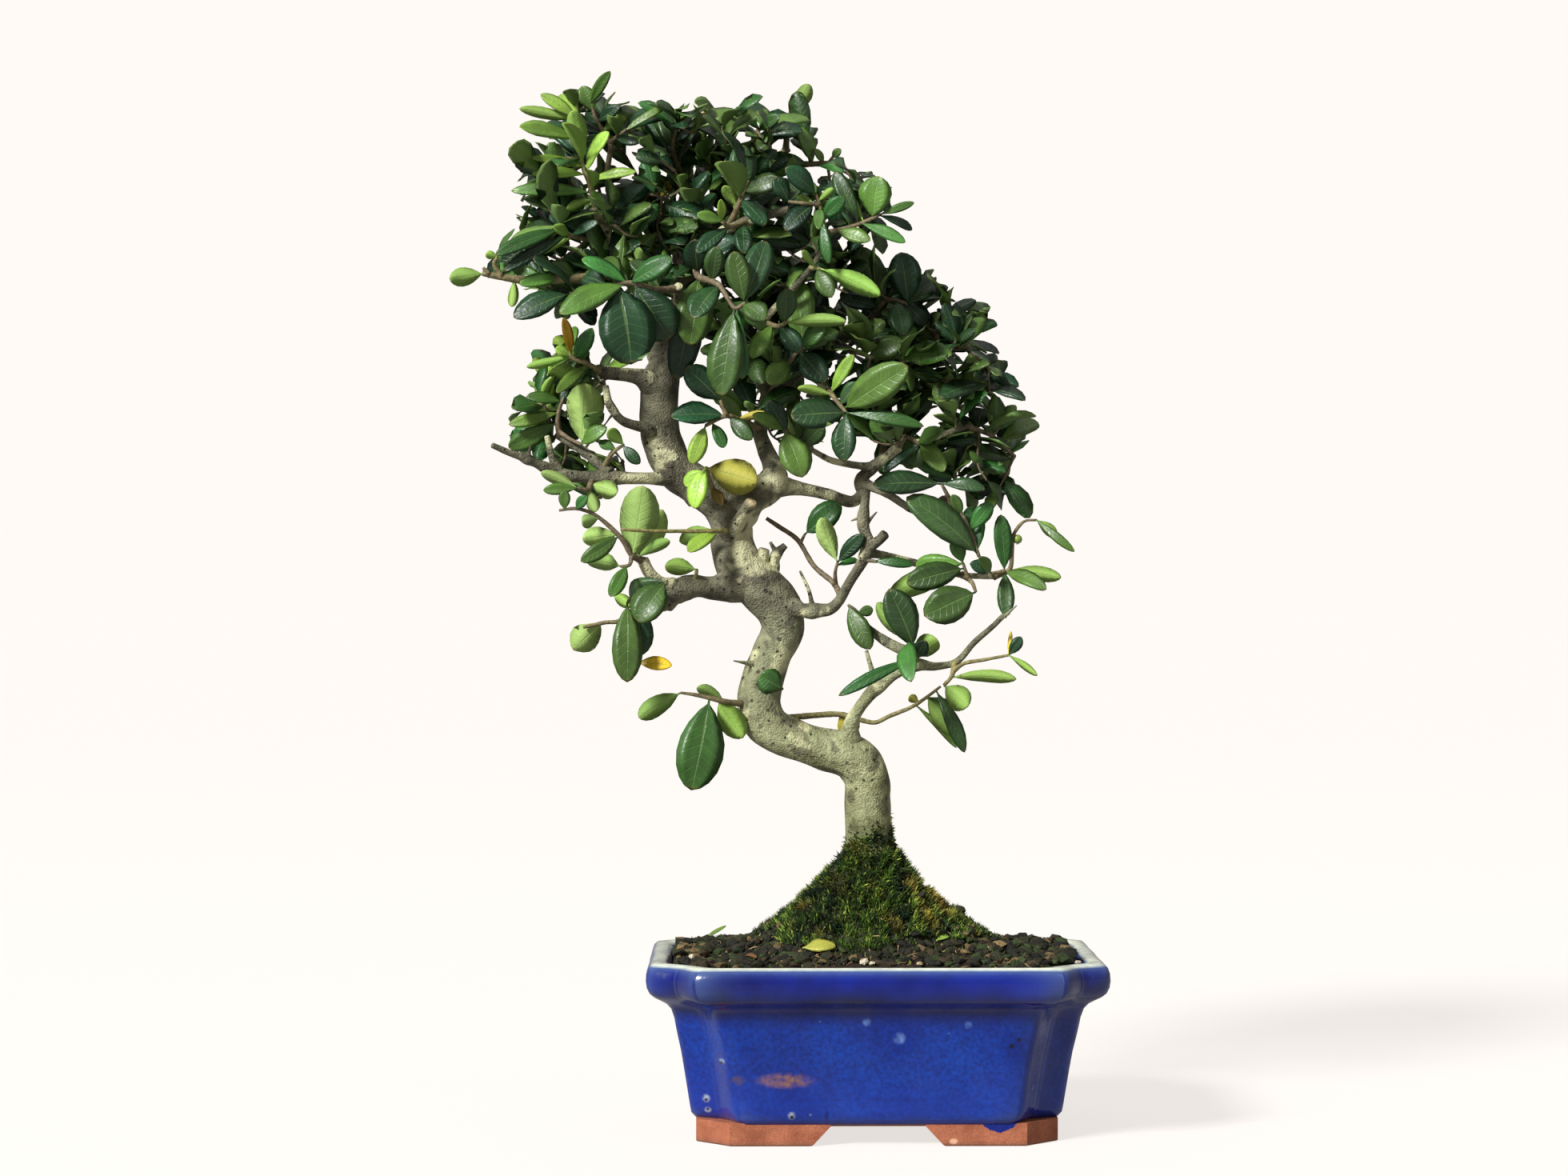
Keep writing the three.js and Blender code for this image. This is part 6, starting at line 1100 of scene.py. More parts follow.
def outline(inset, cut):
    """An outline of the pot, inset from the rim: a rectangle with a cut at each corner, its
    straight sides cut into even steps."""
    corner = np.array([POT_WIDTH / 2 - inset, POT_DEPTH / 2 - inset]) - smooth_cut(cut)
    corners = [corner[::-1], corner * [-1, 1], corner[::-1] * [-1, -1], corner * [1, -1]]
    sides = []
    for this, following in zip(corners, corners[1:] + corners[:1]):
        share = (np.arange(1, EDGE_STEPS) / EDGE_STEPS)[:, None]
        sides += [this, lerp(this[-1], following[0], share)]
    return np.concatenate(sides)


def smooth_cut(cut):
    """A corner cut as a smooth curve."""
    t, slope = (np.arange(CUT_STEPS) / CUT_STEPS)[None, :, None], slopes(cut)[:, None]
    rows = cubic(cut[:-1, None], cut[1:, None], slope[:-1], slope[1:], t)
    return np.concatenate([rows.reshape(-1, 2), cut[-1:]])


def level(flat, height):
    return np.concatenate([flat, np.full((len(flat), 1), float(height))], 1)


def pot_shell():
    """The pot: its outline laid at each point of the profile, a little uneven as a hand-finished
    casting is, with a pole in the middle of the underside and of the floor."""
    rings = np.stack([level(outline(inset, lerp(NOTCH, ROUND, share)), height)
                      for inset, height, share in POT_PROFILE])
    uneven = np.where(rings[..., 2:] < FLOOR_TOP + 1, 0, POT_UNEVEN)
    return tube(rings + uneven * unit(rings * [1, 1, 0]) * ripple(rings, 46, 8)[..., None])


def drilled(made):
    """The pot with its drain holes cut through the floor."""
    for x in (-DRAIN_SPREAD, DRAIN_SPREAD):
        turn = 2 * math.pi * np.arange(DRILL_SIDES) / DRILL_SIDES
        ring = np.stack([x + DRAIN_RADIUS * np.cos(turn), DRAIN_RADIUS * np.sin(turn)], -1)
        rings = np.stack([level(ring, height) for height in DRILL_HEIGHTS])
        rod = mesh_object("drain_rod", tube(rings), [])
        cut = made.modifiers.new("drain", "BOOLEAN")
        cut.object, cut.operation, cut.solver = rod, "DIFFERENCE", "EXACT"
        graph = bpy.context.evaluated_depsgraph_get()
        settled = bpy.data.meshes.new_from_object(made.evaluated_get(graph))
        made.modifiers.remove(cut)
        made.data = settled
        bpy.data.objects.remove(rod)


def outwards(corners, faces, way):
    """Triangles turned so that each faces the way given for it."""
    a, b, c = (corners[faces[:, k]] for k in range(3))
    wrong = (np.cross(b - a, c - a) * way).sum(1) < 0
    faces[wrong] = faces[wrong][:, ::-1]
    return faces


def foot_shell(sx, sy):
    """A foot: the L-shaped piece of a cut-cornered ring between two sloping gaps, laid at levels
    from the floor up, its lower edge rounded off."""
    rings = []
    for height, inset in ((0, FOOT_EDGE), (0.25, 0.25), (FOOT_EDGE, 0), (4, 0), (FOOT_HEIGHT, 0),
                          (FOOT_HEIGHT + FOOT_SUNK, 0)):
        share = min(height / FOOT_HEIGHT, 1)
        ends = [lerp(gap["floor"], gap["top"], share) / 2 + inset for gap in (FRONT_GAP, SIDE_GAP)]
        ways = []
        for deep in (FOOT_INSET + inset, FOOT_INSET + FOOT_WALL - inset):
            half = np.array([POT_WIDTH / 2 - deep, POT_DEPTH / 2 - deep])
            ways.append(np.concatenate([
                [[ends[0], half[1]]], half - smooth_cut(CHAMFER), [[half[0], ends[1]]]]))
        rings.append(level(np.concatenate([ways[0], ways[1][::-1]]) * [sx, sy], height))
    rings = np.stack(rings)
    if sx * sy > 0:
        rings = rings[:, ::-1]
    caps = np.array(tessellate_polygon([[tuple(p) for p in rings[0]]]))
    caps = outwards(rings[0], caps, [0, 0, 1])
    count, sides = rings.shape[:2]
    caps = np.concatenate([caps[:, ::-1], caps + (count - 1) * sides])
    return shell(rings.reshape(-1, 3), ring_faces(count, sides), caps)


SOIL_SECTORS, SOIL_RINGS = 220, 75
SOIL_LEVELS = (SOIL_FLOOR, 15.5, 22, 40, 56, 66, 72, SOIL_EDGE - 1.2)
MOSS_SECTORS, MOSS_RINGS = 200, 44
TURN_SOIL = 2 * math.pi * (np.arange(SOIL_SECTORS) + 0.5) / SOIL_SECTORS
TURN_MOSS = 2 * math.pi * (np.arange(MOSS_SECTORS) + 0.5) / MOSS_SECTORS


def soil_height(x, y):
    """Height of the soil: level at the wall, heaped up to the trunk by exp(-(far / reach)^1.5)."""
    far = np.hypot(x - MOUND["centre"][0], (y - MOUND["centre"][1]) * MOUND["squash"])
    return SOIL_EDGE + MOUND["height"] * np.exp(-((far / MOUND["reach"]) ** MOUND["power"]))


def wall_at(height):
    """How far the pot's inner wall lies inside the rim's outline at a height."""
    return np.interp(height, INNER_WALL[:, 1], INNER_WALL[:, 0])


def reach_of(flat, turn):
    """How far an outline lies from the mound's middle in each direction: where the ray cuts it."""
    ray = np.stack([np.cos(turn), np.sin(turn)], -1)[:, None]
    gap = flat - MOUND["centre"]
    run = np.roll(flat, -1, axis=0) - flat
    slant = ray[..., 0] * run[:, 1] - ray[..., 1] * run[:, 0]
    slant = np.where(np.abs(slant) < 1e-9, 1e-9, slant)
    along = (gap[:, 0] * ray[..., 1] - gap[:, 1] * ray[..., 0]) / slant
    far = (gap[:, 0] * run[:, 1] - gap[:, 1] * run[:, 0]) / slant
    return np.where((along >= 0) & (along <= 1) & (far > 0), far, np.inf).min(1)


def on_ground(far, turn, lift=0.0):
    """Places of the ground at a distance from the mound's middle, lifted off the soil."""
    x = MOUND["centre"][0] + far * np.cos(turn)
    y = MOUND["centre"][1] + far * np.sin(turn)
    return np.stack([x, y, soil_height(x, y) + lift], -1)


def moss_reach(turn):
    """How far the moss reaches from the trunk in a direction: its edge is ragged."""
    ragged = MOSS_RADIUS + 5 * np.sin(3 * turn + 1) + 3 * np.sin(7 * turn)
    return ragged / np.hypot(np.cos(turn), MOUND["squash"] * np.sin(turn))


def moss_polar(places):
    """Where places lie between the mound's middle, 0, and the edge of the moss, 1, and in which
    direction."""
    x, y = places[..., 0] - MOUND["centre"][0], places[..., 1] - MOUND["centre"][1]
    turn = np.arctan2(y, x)
    return np.hypot(x, y) / moss_reach(turn), turn


def crumbly(points):
    """Relief of loose soil in mm: waves of four sizes, the small ones folded into clods."""
    flat = points * [1, 1, 0]
    clods = 1.5 * np.abs(ripple(flat, 9, 14)) + 0.9 * np.abs(ripple(flat, 4.2, 12))
    return 0.9 * ripple(flat, 17, 11) + clods + 0.4 * ripple(flat, 2.2, 13) - 0.4


def soil_shell():
    """The soil: rings round the mound's middle, up the pot's wall from its floor, then over the
    top to the trunk, where the crumbly relief is added."""
    def ring(height, share=1):
        edge = outline(wall_at(height) + WALL_GAP, ROUND)
        return on_ground(reach_of(edge, TURN_SOIL) * share, TURN_SOIL)

    walls = np.stack([ring(height) * [1, 1, 0] + [0, 0, height] for height in SOIL_LEVELS])
    share = (1 - np.linspace(0, 1, SOIL_RINGS))[:-1, None]
    top = ring(SOIL_EDGE, 0.994 * share)
    top[..., 2] += crumbly(top) * np.clip((1 - share) * 14, 0, 1)
    return tube(np.concatenate([walls, top]))


def moss_surface(share, turn):
    """Places on the moss's top: cushions that thin out at the edge, a collar up the trunk, and
    rounded cushions of two sizes over both."""
    far = share * moss_reach(turn)
    cushions = 1 + 0.25 * np.sin(0.5 * far + 2 * turn) * np.cos(5 * turn + 0.3 * far)
    collar = MOSS_COLLAR["height"] * np.exp(-((far / MOSS_COLLAR["reach"]) ** 4))
    depth = MOSS_EDGE + MOSS_DEPTH * cushions * (1 - share**3) + collar * (1 + 0.4 * np.cos(turn))
    rough = on_ground(far, turn)
    fine = 1.6 * np.abs(ripple(rough, 15, 21)) + 1.5 * np.abs(ripple(rough, 6.5, 22)) - 1.0
    rough[..., 2] += MOSS_LIFT + depth + fine * np.clip((1 - share) * 7, 0, 1)
    return rough


def moss_shell():
    """The moss: a blanket over the mound, its underside just off the soil."""
    share = np.linspace(0.05, 1, MOSS_RINGS)[:, None]
    under = on_ground(share * moss_reach(TURN_MOSS), TURN_MOSS, 0.3)
    return tube(np.concatenate([under, moss_surface(share[::-1], TURN_MOSS)]))


def ground_top(places):
    """Height of what lies on top at a place: moss where it reaches, else soil."""
    share, turn = moss_polar(places)
    bare = soil_height(places[..., 0], places[..., 1]) + crumbly(places)
    return np.where(share < 1, moss_surface(np.minimum(share, 1), turn)[..., 2], bare)


# The depths between which the ground is looked for along a ray, and how many are tried.
GROUND_DEPTHS = (-66, 60, 500)
GOLDEN_RATIO = 1.618


def ground_at(across, down):
    """The place of the ground that is sighted at a pixel: the first of its ray that lies under."""
    depths = np.linspace(*GROUND_DEPTHS)
    ray = sighted(np.stack(np.broadcast_arrays(float(across), float(down), depths), -1))
    top = ground_top(ray)
    under = ray[:, 2] <= top
    found = under.argmax() if under.any() else -1
    return np.array([*ray[found, :2], top[found]])


def lumps(centres, sizes, colours, rng):
    """Rough lumps: the twenty-sided ball, each corner pushed in or out, each lump stretched,
    turned and flattened."""
    count = len(centres)
    pairs = [(s, t * GOLDEN_RATIO) for s in (-1, 1) for t in (-1, 1)]
    ball = np.array([[0, s, t] for s, t in pairs] + [[s, t, 0] for s, t in pairs]
                    + [[t, 0, s] for s, t in pairs])
    gap = np.linalg.norm(ball[:, None] - ball, axis=-1)
    faces = np.array([(i, j, k) for i in range(12) for j in range(i) for k in range(j)
                      if max(gap[i, j], gap[j, k], gap[i, k]) < 2.1])
    faces = outwards(ball, faces, ball[faces].sum(1))
    corners = ball / np.linalg.norm(ball[0]) * rng.uniform(0.72, 1.2, (count, 12, 1))
    corners = corners * rng.uniform(0.7, 1.3, (count, 1, 3))
    spin = np.linalg.qr(rng.normal(size=(count, 3, 3)))[0]
    spin[np.linalg.det(spin) < 0] *= -1
    corners = np.einsum("nij,nkj->nki", spin, corners) * [1, 1, 0.7]
    points = centres[:, None] + corners * np.asarray(sizes)[:, None, None]
    faces = faces[None] + 12 * np.arange(count)[:, None, None]
    return shell(points.reshape(-1, 3), [], faces, colour=np.repeat(colours, 12, axis=0))


def tufts(roots, normals, heights, widths, colours, rng):
    """Moss leaves: slim closed spikes with a three-cornered foot, each leaning its own way, darker
    down at the foot, which is painted shade among the leaves."""
    count = len(roots)
    lean = unit(normals + rng.normal(0, 0.42, (count, 3)))
    across = unit(np.cross(lean, rng.normal(size=(count, 3))))
    other = np.cross(lean, across)
    turn = (np.array([0, 2, 4]) * math.pi / 3)[:, None]
    feet = (roots[:, None] + widths[:, None, None] * (across[:, None] * np.cos(turn)
            + other[:, None] * np.sin(turn)) - normals[:, None] * 0.3)
    tips = roots + lean * heights[:, None]
    points = np.concatenate([feet, tips[:, None]], 1)
    faces = np.array([[0, 2, 1], [0, 1, 3], [1, 2, 3], [2, 0, 3]])
    faces = faces + 4 * np.arange(count)[:, None, None]
    # Painted shade: each leaf's foot is darker than its tip.
    shade = colours[:, None] * np.array([0.3, 0.3, 0.3, 1])[:, None]
    return shell(points.reshape(-1, 3), [], faces, colour=shade.reshape(-1, 3))


CRUMBS = 3600
CRUMB_SIZES = (0.5, 3.3)
CRUMB_TONES = [(28, 26, 16), (36, 36, 20), (20, 20, 13), (50, 41, 25), (94, 79, 50), (41, 53, 22)]
CRUMB_SHARES = [0.25, 0.18, 0.18, 0.11, 0.08, 0.2]
TUFTS, STRAY_TUFTS, BARK_TUFTS = 24000, 15000, 5200
# Where the moss dries: on the right flank, in x and z, in front of a depth.
DRY_FLANK = {"centre": (29, 108), "reach": (11, 13), "depth": 8}
BARK_MOSS = {"from": 115, "span": 28, "line": 128.5}
STRAWS, STRAW_LENGTHS, STRAW_RADII = 130, (4, 13), (0.16, 0.34)
STRAW_TAPER = np.array([0.7, 1, 1, 0.9, 0.5])
# Pale stones and grit, as [across, down, size in mm, tone].
STONES = [
    [857, 1187, 2.2, (205, 195, 175)], [864, 1199, 2.0, (190, 178, 158)],
    [1080, 1204, 2.4, (200, 188, 165)], [1090, 1206, 1.8, (180, 165, 140)],
    [1233, 1190, 2.2, (205, 192, 170)], [1348, 1206, 2.1, (200, 190, 172)],
    [912, 1163, 1.4, (235, 230, 220)], [970, 1203, 1.7, (170, 150, 120)],
    [1150, 1206, 1.5, (160, 140, 112)], [1300, 1199, 1.8, (150, 128, 100)],
    [915, 1204, 1.8, (150, 130, 104)], [1268, 1180, 1.5, (175, 158, 130)],
]
# Fallen leaves, as [base across, down, tip across, down, breadth in mm, tone], and one that stands.
FALLEN = [
    [1003, 1193, 1045, 1191, 8.0, "litter"], [1171, 1180, 1186, 1174, 3.4, "young"],
    [1318, 1192, 1334, 1187, 3.0, "brown"], [930, 1198, 946, 1201, 2.8, "brown"],
]
SLIVER = [878, 1171, 908, 1157, 1.9]
ROOTLETS = [
    [1188, 1214, 1215, 1200], [1193, 1202, 1216, 1212], [1055, 1210, 1078, 1198],
    [1240, 1206, 1262, 1199],
]


def random_ground(rng, count, margin):
    """Places drawn evenly over the soil's rounded rectangle, that far from the wall."""
    half = np.array([POT_WIDTH / 2, POT_DEPTH / 2]) - wall_at(SOIL_EDGE) - margin
    places = rng.uniform(-1, 1, (2 * count, 2)) * half
    corner = np.maximum(np.abs(places) - (half - CAVITY_CORNER + margin), 0)
    return level(places[np.hypot(*corner.T) < CAVITY_CORNER - margin][:count], 0)


def crumb_shell():
    """Grains of soil lying loose, thickest round the edge of the moss, a few on it, larger and
    higher near the walls at both ends."""
    rng = np.random.default_rng(31)
    places = random_ground(rng, CRUMBS * 2, 3.0)
    keep = (moss_polar(places)[0] > 0.9) | (rng.uniform(size=len(places)) < 0.1)
    places = places[keep][:CRUMBS]
    wall = np.exp(-(POT_WIDTH / 2 - wall_at(SOIL_EDGE) - np.abs(places[:, 0])) / 9)
    sizes = lerp(*CRUMB_SIZES, rng.uniform(size=len(places)) ** 2.7) * (1 + 0.5 * wall)
    places[:, 2] = ground_top(places) + (0.25 + 0.5 * wall) * sizes
    tones = np.array([linear(*tone) for tone in CRUMB_TONES])
    picked = tones[rng.choice(len(tones), len(places), p=CRUMB_SHARES)]
    return lumps(places, sizes, picked * np.exp(rng.normal(0, 0.2, (len(places), 1))), rng)


def stone_shell():
    places = np.array([ground_at(*stone[:2]) + [0, 0, 0.3 * stone[2]] for stone in STONES])
    tones = np.array([linear(*stone[3]) for stone in STONES])
    return lumps(places, [stone[2] for stone in STONES], tones, np.random.default_rng(32))


def moss_tone(places, rng):
    """Colours of the moss: deep green, brighter in patches, with lime flecks and gold on the right
    flank, where it dries."""
    deep, bright, gold = linear(22, 42, 18), linear(84, 116, 38), linear(172, 146, 56)
    off = (places[:, [0, 2]] - DRY_FLANK["centre"]) / DRY_FLANK["reach"]
    flank = np.exp(-(off[:, 0] ** 2) - off[:, 1] ** 2) * (places[:, 1] < DRY_FLANK["depth"])
    patch = np.clip(0.5 + 1.1 * ripple(places, 21, 41) + 0.5 * ripple(places, 8, 42), 0, 1)
    dry = np.clip(0.9 * flank + 0.4 * ripple(places, 14, 43) - 0.08, 0, 1)
    tone = lerp(deep, bright, (patch * rng.uniform(0.1, 1, len(places)))[:, None])
    tone[rng.uniform(size=len(places)) < 0.06 + 0.1 * patch] = linear(150, 164, 66)
    return lerp(tone, gold, (dry * rng.uniform(0.3, 1, len(places)))[:, None])


def blanket_tufts(rng):
    """The moss's leaves over its blanket, square to the slope, longer in clumps; lighter there and
    darker in the low ones between, which is painted light and shade.
    """
    share = np.sqrt(rng.uniform(0.06, 1.02, TUFTS))
    roots = moss_surface(np.minimum(share, 1), rng.uniform(0, 2 * math.pi, TUFTS))
    x, y, step = roots[:, 0], roots[:, 1], 0.5
    slope = [(soil_height(x + step * a, y + step * b) - soil_height(x, y)) / step
             for a, b in ((1, 0), (0, 1))]
    normals = unit(np.stack([-slope[0], -slope[1], np.ones(TUFTS)], -1))
    clump = np.clip(0.5 + 1.4 * ripple(roots, 5, 45), 0, 1)
    heights = rng.uniform(0.8, 2.2, TUFTS) + 2.2 * clump
    # Painted light and shade: tall leaves of the clumps lighter, the low ones between them darker.
    tones = moss_tone(roots, rng) * lerp(0.3, 1.35, clump)[:, None]
    return tufts(roots, normals, heights, rng.uniform(0.28, 0.75, TUFTS), tones, rng)


def stray_tufts(rng):
    """Patches of moss leaves on the soil, thinner away from the blanket."""
    roots = random_ground(rng, STRAY_TUFTS, 2.0)
    far = moss_polar(roots)[0]
    patch = np.clip(0.75 + 0.8 * ripple(roots, 12, 46), 0, 1)
    patch = patch * np.exp(-((far - 1) / 0.42).clip(0) ** 1.3)
    roots = roots[(far > 1) & (rng.uniform(size=len(far)) < patch)]
    roots[:, 2] = ground_top(roots) - 0.1
    count = len(roots)
    heights, widths = rng.uniform(0.8, 2.4, count), rng.uniform(0.3, 0.65, count)
    tones = moss_tone(roots, rng) * rng.uniform(0.5, 1, (count, 1))
    return tufts(roots, np.broadcast_to([0.0, 0.0, 1.0], roots.shape), heights, widths, tones, rng)


def bark_tufts(rng, trunk_route):
    """A scatter of moss leaves that climbs the foot of the trunk to an uneven line."""
    points, radii = trunk_route
    turn = rng.uniform(0, 2 * math.pi, BARK_TUFTS)
    height = BARK_MOSS["from"] + BARK_MOSS["span"] * rng.uniform(size=BARK_TUFTS)
    patch = ripple(np.stack([14 * np.cos(turn), 14 * np.sin(turn), height], -1), 13, 44)
    line = BARK_MOSS["line"] + 2.5 * np.cos(turn) + 4 * patch
    keep = height < line + rng.exponential(1.5, BARK_TUFTS)
    height, turn = height[keep], turn[keep]
    order = np.argsort(points[:, 2])
    x, y, radius = (np.interp(height, points[order, 2], run[order])
                    for run in (points[:, 0], points[:, 1], radii))
    outward = np.stack([np.cos(turn), np.sin(turn), np.zeros(len(turn))], -1)
    roots = np.stack([x, y, height], -1) + outward * radius[:, None] * 0.985
    heights, widths = rng.uniform(0.9, 2.6, len(roots)), rng.uniform(0.25, 0.6, len(roots))
    return tufts(roots, unit(outward + [0, 0, 0.5]), heights, widths, moss_tone(roots, rng), rng)


def tuft_shell(trunk_route):
    rng = np.random.default_rng(33)
    return joined([blanket_tufts(rng), stray_tufts(rng), bark_tufts(rng, trunk_route)])


def straw_shell():
    """Dry straws and rootlets lying on the soil, each an arch of its own."""
    rng = np.random.default_rng(34)
    found = []
    for start in random_ground(rng, STRAWS, 5.0):
        turn, length = rng.uniform(0, 2 * math.pi), rng.uniform(*STRAW_LENGTHS)
        run = np.array([math.cos(turn), math.sin(turn), 0]) * length
        found.append((start, run, rng.uniform(*STRAW_RADII)))
    for x0, y0, x1, y1 in ROOTLETS:
        start, end = ground_at(x0, y0), ground_at(x1, y1)
        found.append((start * [1, 1, 0], (end - start) * [1, 1, 0], 0.3))
    shells = []
    half = np.array([POT_WIDTH, POT_DEPTH]) / 2 - wall_at(SOIL_EDGE) - 3.5
    share = np.linspace(0, 1, len(STRAW_TAPER))[:, None]
    for start, run, radius in found:
        side = np.array([-run[1], run[0], 0]) * rng.uniform(-0.25, 0.25)
        points = start + run * share + side * np.sin(math.pi * share)
        points[:, :2] = np.clip(points[:, :2], -half, half)
        points[:, 2] = ground_top(points) + radius + 0.5 * np.sin(math.pi * share[:, 0])
        if moss_polar(points)[0].min() >= 0.5:
            tone = lerp(linear(120, 92, 60), linear(190, 165, 120), rng.uniform())
            route = smooth_route(points, radius * STRAW_TAPER, 1.2)
            shells.append(tube(rounded_rings(*route, 5)[0], tone))
    return joined(shells)


def fallen_leaves():
    """The leaves that lie on the ground, and a slim one that stands in it."""
    found = []
    for x0, y0, x1, y1, breadth, tone in FALLEN:
        lift = [0, 0, 0.3 * breadth + 0.2]
        found.append((ground_at(x0, y0) + lift, ground_at(x1, y1) + lift, breadth,
                      np.array([0.1, -0.8, 0.9]), 0.0, tone))
    base = ground_at(*SLIVER[:2])
    found.append((base, sighted([*SLIVER[2:4], base[1] + 2]), SLIVER[4],
                  np.array([0.2, -1, 0.6]), 0.0, "young"))
    return [dict(zip(("base", "tip", "breadth", "face", "roll", "tone"), leaf)) for leaf in found]


SEPALS, SEPAL_TURN = 5, 1.257


def fruit_shell():
    """The green fruit: a ball with a dimple and a ring of five dry sepals at its end."""
    _, across, down, depth, radius = FRUIT
    middle = sighted([across, down, depth])
    polar = np.linspace(0.12, math.pi - 0.12, 14)[:, None]
    turn = (2 * math.pi * np.arange(20) / 20)[None, :]
    dent = 1 - 0.16 * np.exp(-((polar / 0.4) ** 2))
    ring = np.stack([np.sin(polar) * np.cos(turn), np.sin(polar) * np.sin(turn),
                     -np.cos(polar) * np.ones_like(turn)], -1)
    parts = [tube(middle + radius * dent[..., None] * ring, linear(96, 132, 50))]
    for k in range(SEPALS):
        way = np.array([math.cos(k * SEPAL_TURN), math.sin(k * SEPAL_TURN), 0])
        foot = middle + np.array([0, 0, -radius * 0.86]) + way * 0.25
        parts.append(tufts(foot[None], np.array([[0, 0, -1.0]]) + 0.6 * way, np.array([1.0]),
                           np.array([0.3]), linear(90, 70, 40)[None], np.random.default_rng(k)))
    return joined(parts)


class Nodes:
    """Short ways to the nodes of a shader tree. Each gives an output socket, and takes sockets to
    link from or values to set."""

    def __init__(self, tree):
        self.tree = tree

    def node(self, kind, inputs, out=0, **settings):
        made = self.tree.nodes.new(kind)
        for key, value in settings.items():
            setattr(made, key, value)
        for key, value in inputs.items():
            if isinstance(value, bpy.types.NodeSocket):
                self.tree.links.new(value, made.inputs[key])
            else:
                made.inputs[key].default_value = value
        return made.outputs[out]

    def math(self, operation, *values):
        return self.node("ShaderNodeMath", dict(enumerate(values)), operation=operation)

    def times(self, a, b):
        return self.math("MULTIPLY", a, b)

    def vector(self, operation, *values, out=0):
        return self.node("ShaderNodeVectorMath", dict(enumerate(values)), out, operation=operation)

    def apart(self, vector, out=0):
        return self.node("ShaderNodeSeparateXYZ", {0: vector}, out)

    def scaled(self, vector, by):
        return self.node("ShaderNodeVectorMath", {0: vector, "Scale": by}, operation="SCALE")

    def ramp(self, value, start, end, low=0.0, high=1.0):
        """A value between start and end, eased to run from low to high."""
        return self.node("ShaderNodeMapRange", {0: value, 1: start, 2: end, 3: low, 4: high},
                         interpolation_type="SMOOTHSTEP")

    def mixed(self, share, a, b):
        """Colour a where the share is 0, b where it is 1; a tuple is a colour as on a screen."""
        a, b = ((*linear(*c), 1) if isinstance(c, tuple) else c for c in (a, b))
        return self.node("ShaderNodeMix", {0: share, 6: a, 7: b}, 2, data_type="RGBA")

    def in_mm(self):
        return self.scaled(self.node("ShaderNodeTexCoord", {}, "Object"), 1000)

    def cloud(self, size, detail=3.0, **more):
        """Cloud noise of a size in mm; with a W it is one of many that differ."""
        sockets = {"Vector": self.in_mm(), "Scale": self.math("DIVIDE", 1.0, size),
                   "Detail": detail, **more}
        return self.node("ShaderNodeTexNoise", sockets, "Fac",
                         noise_dimensions="4D" if more else "3D")


def mottle(nodes, size, detail, contrast, seed):
    """Uneven patches of a size in mm: cloud noise, its contrast raised about the middle."""
    noise = nodes.math("SUBTRACT", nodes.cloud(size, detail, W=seed), 0.5)
    return [nodes.node("ShaderNodeClamp", {0: nodes.math("MULTIPLY_ADD", noise, contrast, 0.5)})]


def spots(nodes, size, radius, kept, seed):
    """Round spots: cells of a size in mm, of which a share carry a disc with a ring round it."""
    far = nodes.node("ShaderNodeTexVoronoi", {
        "Vector": nodes.in_mm(), "Scale": nodes.math("DIVIDE", 1.0, size), "W": seed,
    }, "Distance", voronoi_dimensions="4D")
    number = nodes.node("ShaderNodeSeparateColor", {0: far.node.outputs["Color"]})
    here = nodes.math("LESS_THAN", number, kept)
    share = nodes.math("DIVIDE", far, radius)
    disc, wide = nodes.ramp(share, 1.0, 0.6), nodes.ramp(share, 1.9, 1.2)
    return nodes.times(disc, here), nodes.times(nodes.math("SUBTRACT", wide, disc), here)


def relief(nodes, coarse, fine, share):
    """Height for a bump: coarse and fine cloud noise of sizes in mm, the fine one by its share."""
    return [nodes.math("MULTIPLY_ADD", nodes.cloud(fine), share, nodes.cloud(coarse))]


def height_band(nodes, start, end, ragged, size):
    """How far a place lies between two heights in mm, the edge made ragged by noise."""
    height = nodes.apart(nodes.in_mm(), 2)
    noise = nodes.math("SUBTRACT", nodes.cloud(size), 0.5)
    return [nodes.ramp(nodes.math("MULTIPLY_ADD", noise, ragged, height), start, end)]


def near(nodes, spot, reach):
    """How near a place is to a spot in mm round the pot's middle: 1 there, falling to 0 at the
    reach, which is given along each axis."""
    here = nodes.vector("SUBTRACT", nodes.in_mm(), tuple(1000 * POT_MIDDLE))
    gap = nodes.vector("DIVIDE", nodes.vector("SUBTRACT", here, spot), reach)
    return [nodes.ramp(nodes.vector("LENGTH", gap, out="Value"), 1.0, 0.35)]


# Effects that the materials share: what builds each, its sockets with their values, what it gives.
EFFECTS = {
    "mottle": [mottle, {"Size": 10.0, "Detail": 4.0, "Contrast": 2.0, "Seed": 0.0}, ["Share"]],
    "spots": [spots, {"Size": 10.0, "Radius": 0.12, "Kept": 0.3, "Seed": 0.0}, ["Spot", "Rim"]],
    "relief": [relief, {"Coarse": 8.0, "Fine": 1.0, "Fine share": 0.4}, ["Height"]],
    "height_band": [height_band, {"From": 0.0, "To": 10.0, "Ragged": 2.0, "Size": 6.0}, ["Share"]],
    "near": [near, {"Spot": (0.0, 0.0, 0.0), "Reach": (5.0, 5.0, 5.0)}, ["Share"]],
}


def group(name):
    """The shader node group of an effect, with its named sockets."""
    build, takes, gives = EFFECTS[name]
    tree = bpy.data.node_groups.new(name, "ShaderNodeTree")
    for word, value in takes.items():
        kind = "NodeSocketFloat" if isinstance(value, float) else "NodeSocketVector"
        tree.interface.new_socket(name=word, in_out="INPUT", socket_type=kind).default_value = value
    for word in gives:
        tree.interface.new_socket(name=word, in_out="OUTPUT", socket_type="NodeSocketFloat")
    inputs = tree.nodes.new("NodeGroupInput").outputs
    outputs = tree.nodes.new("NodeGroupOutput").inputs
    for word, socket in zip(gives, build(Nodes(tree), *(inputs[word] for word in takes))):
        tree.links.new(socket, outputs[word])
    return tree


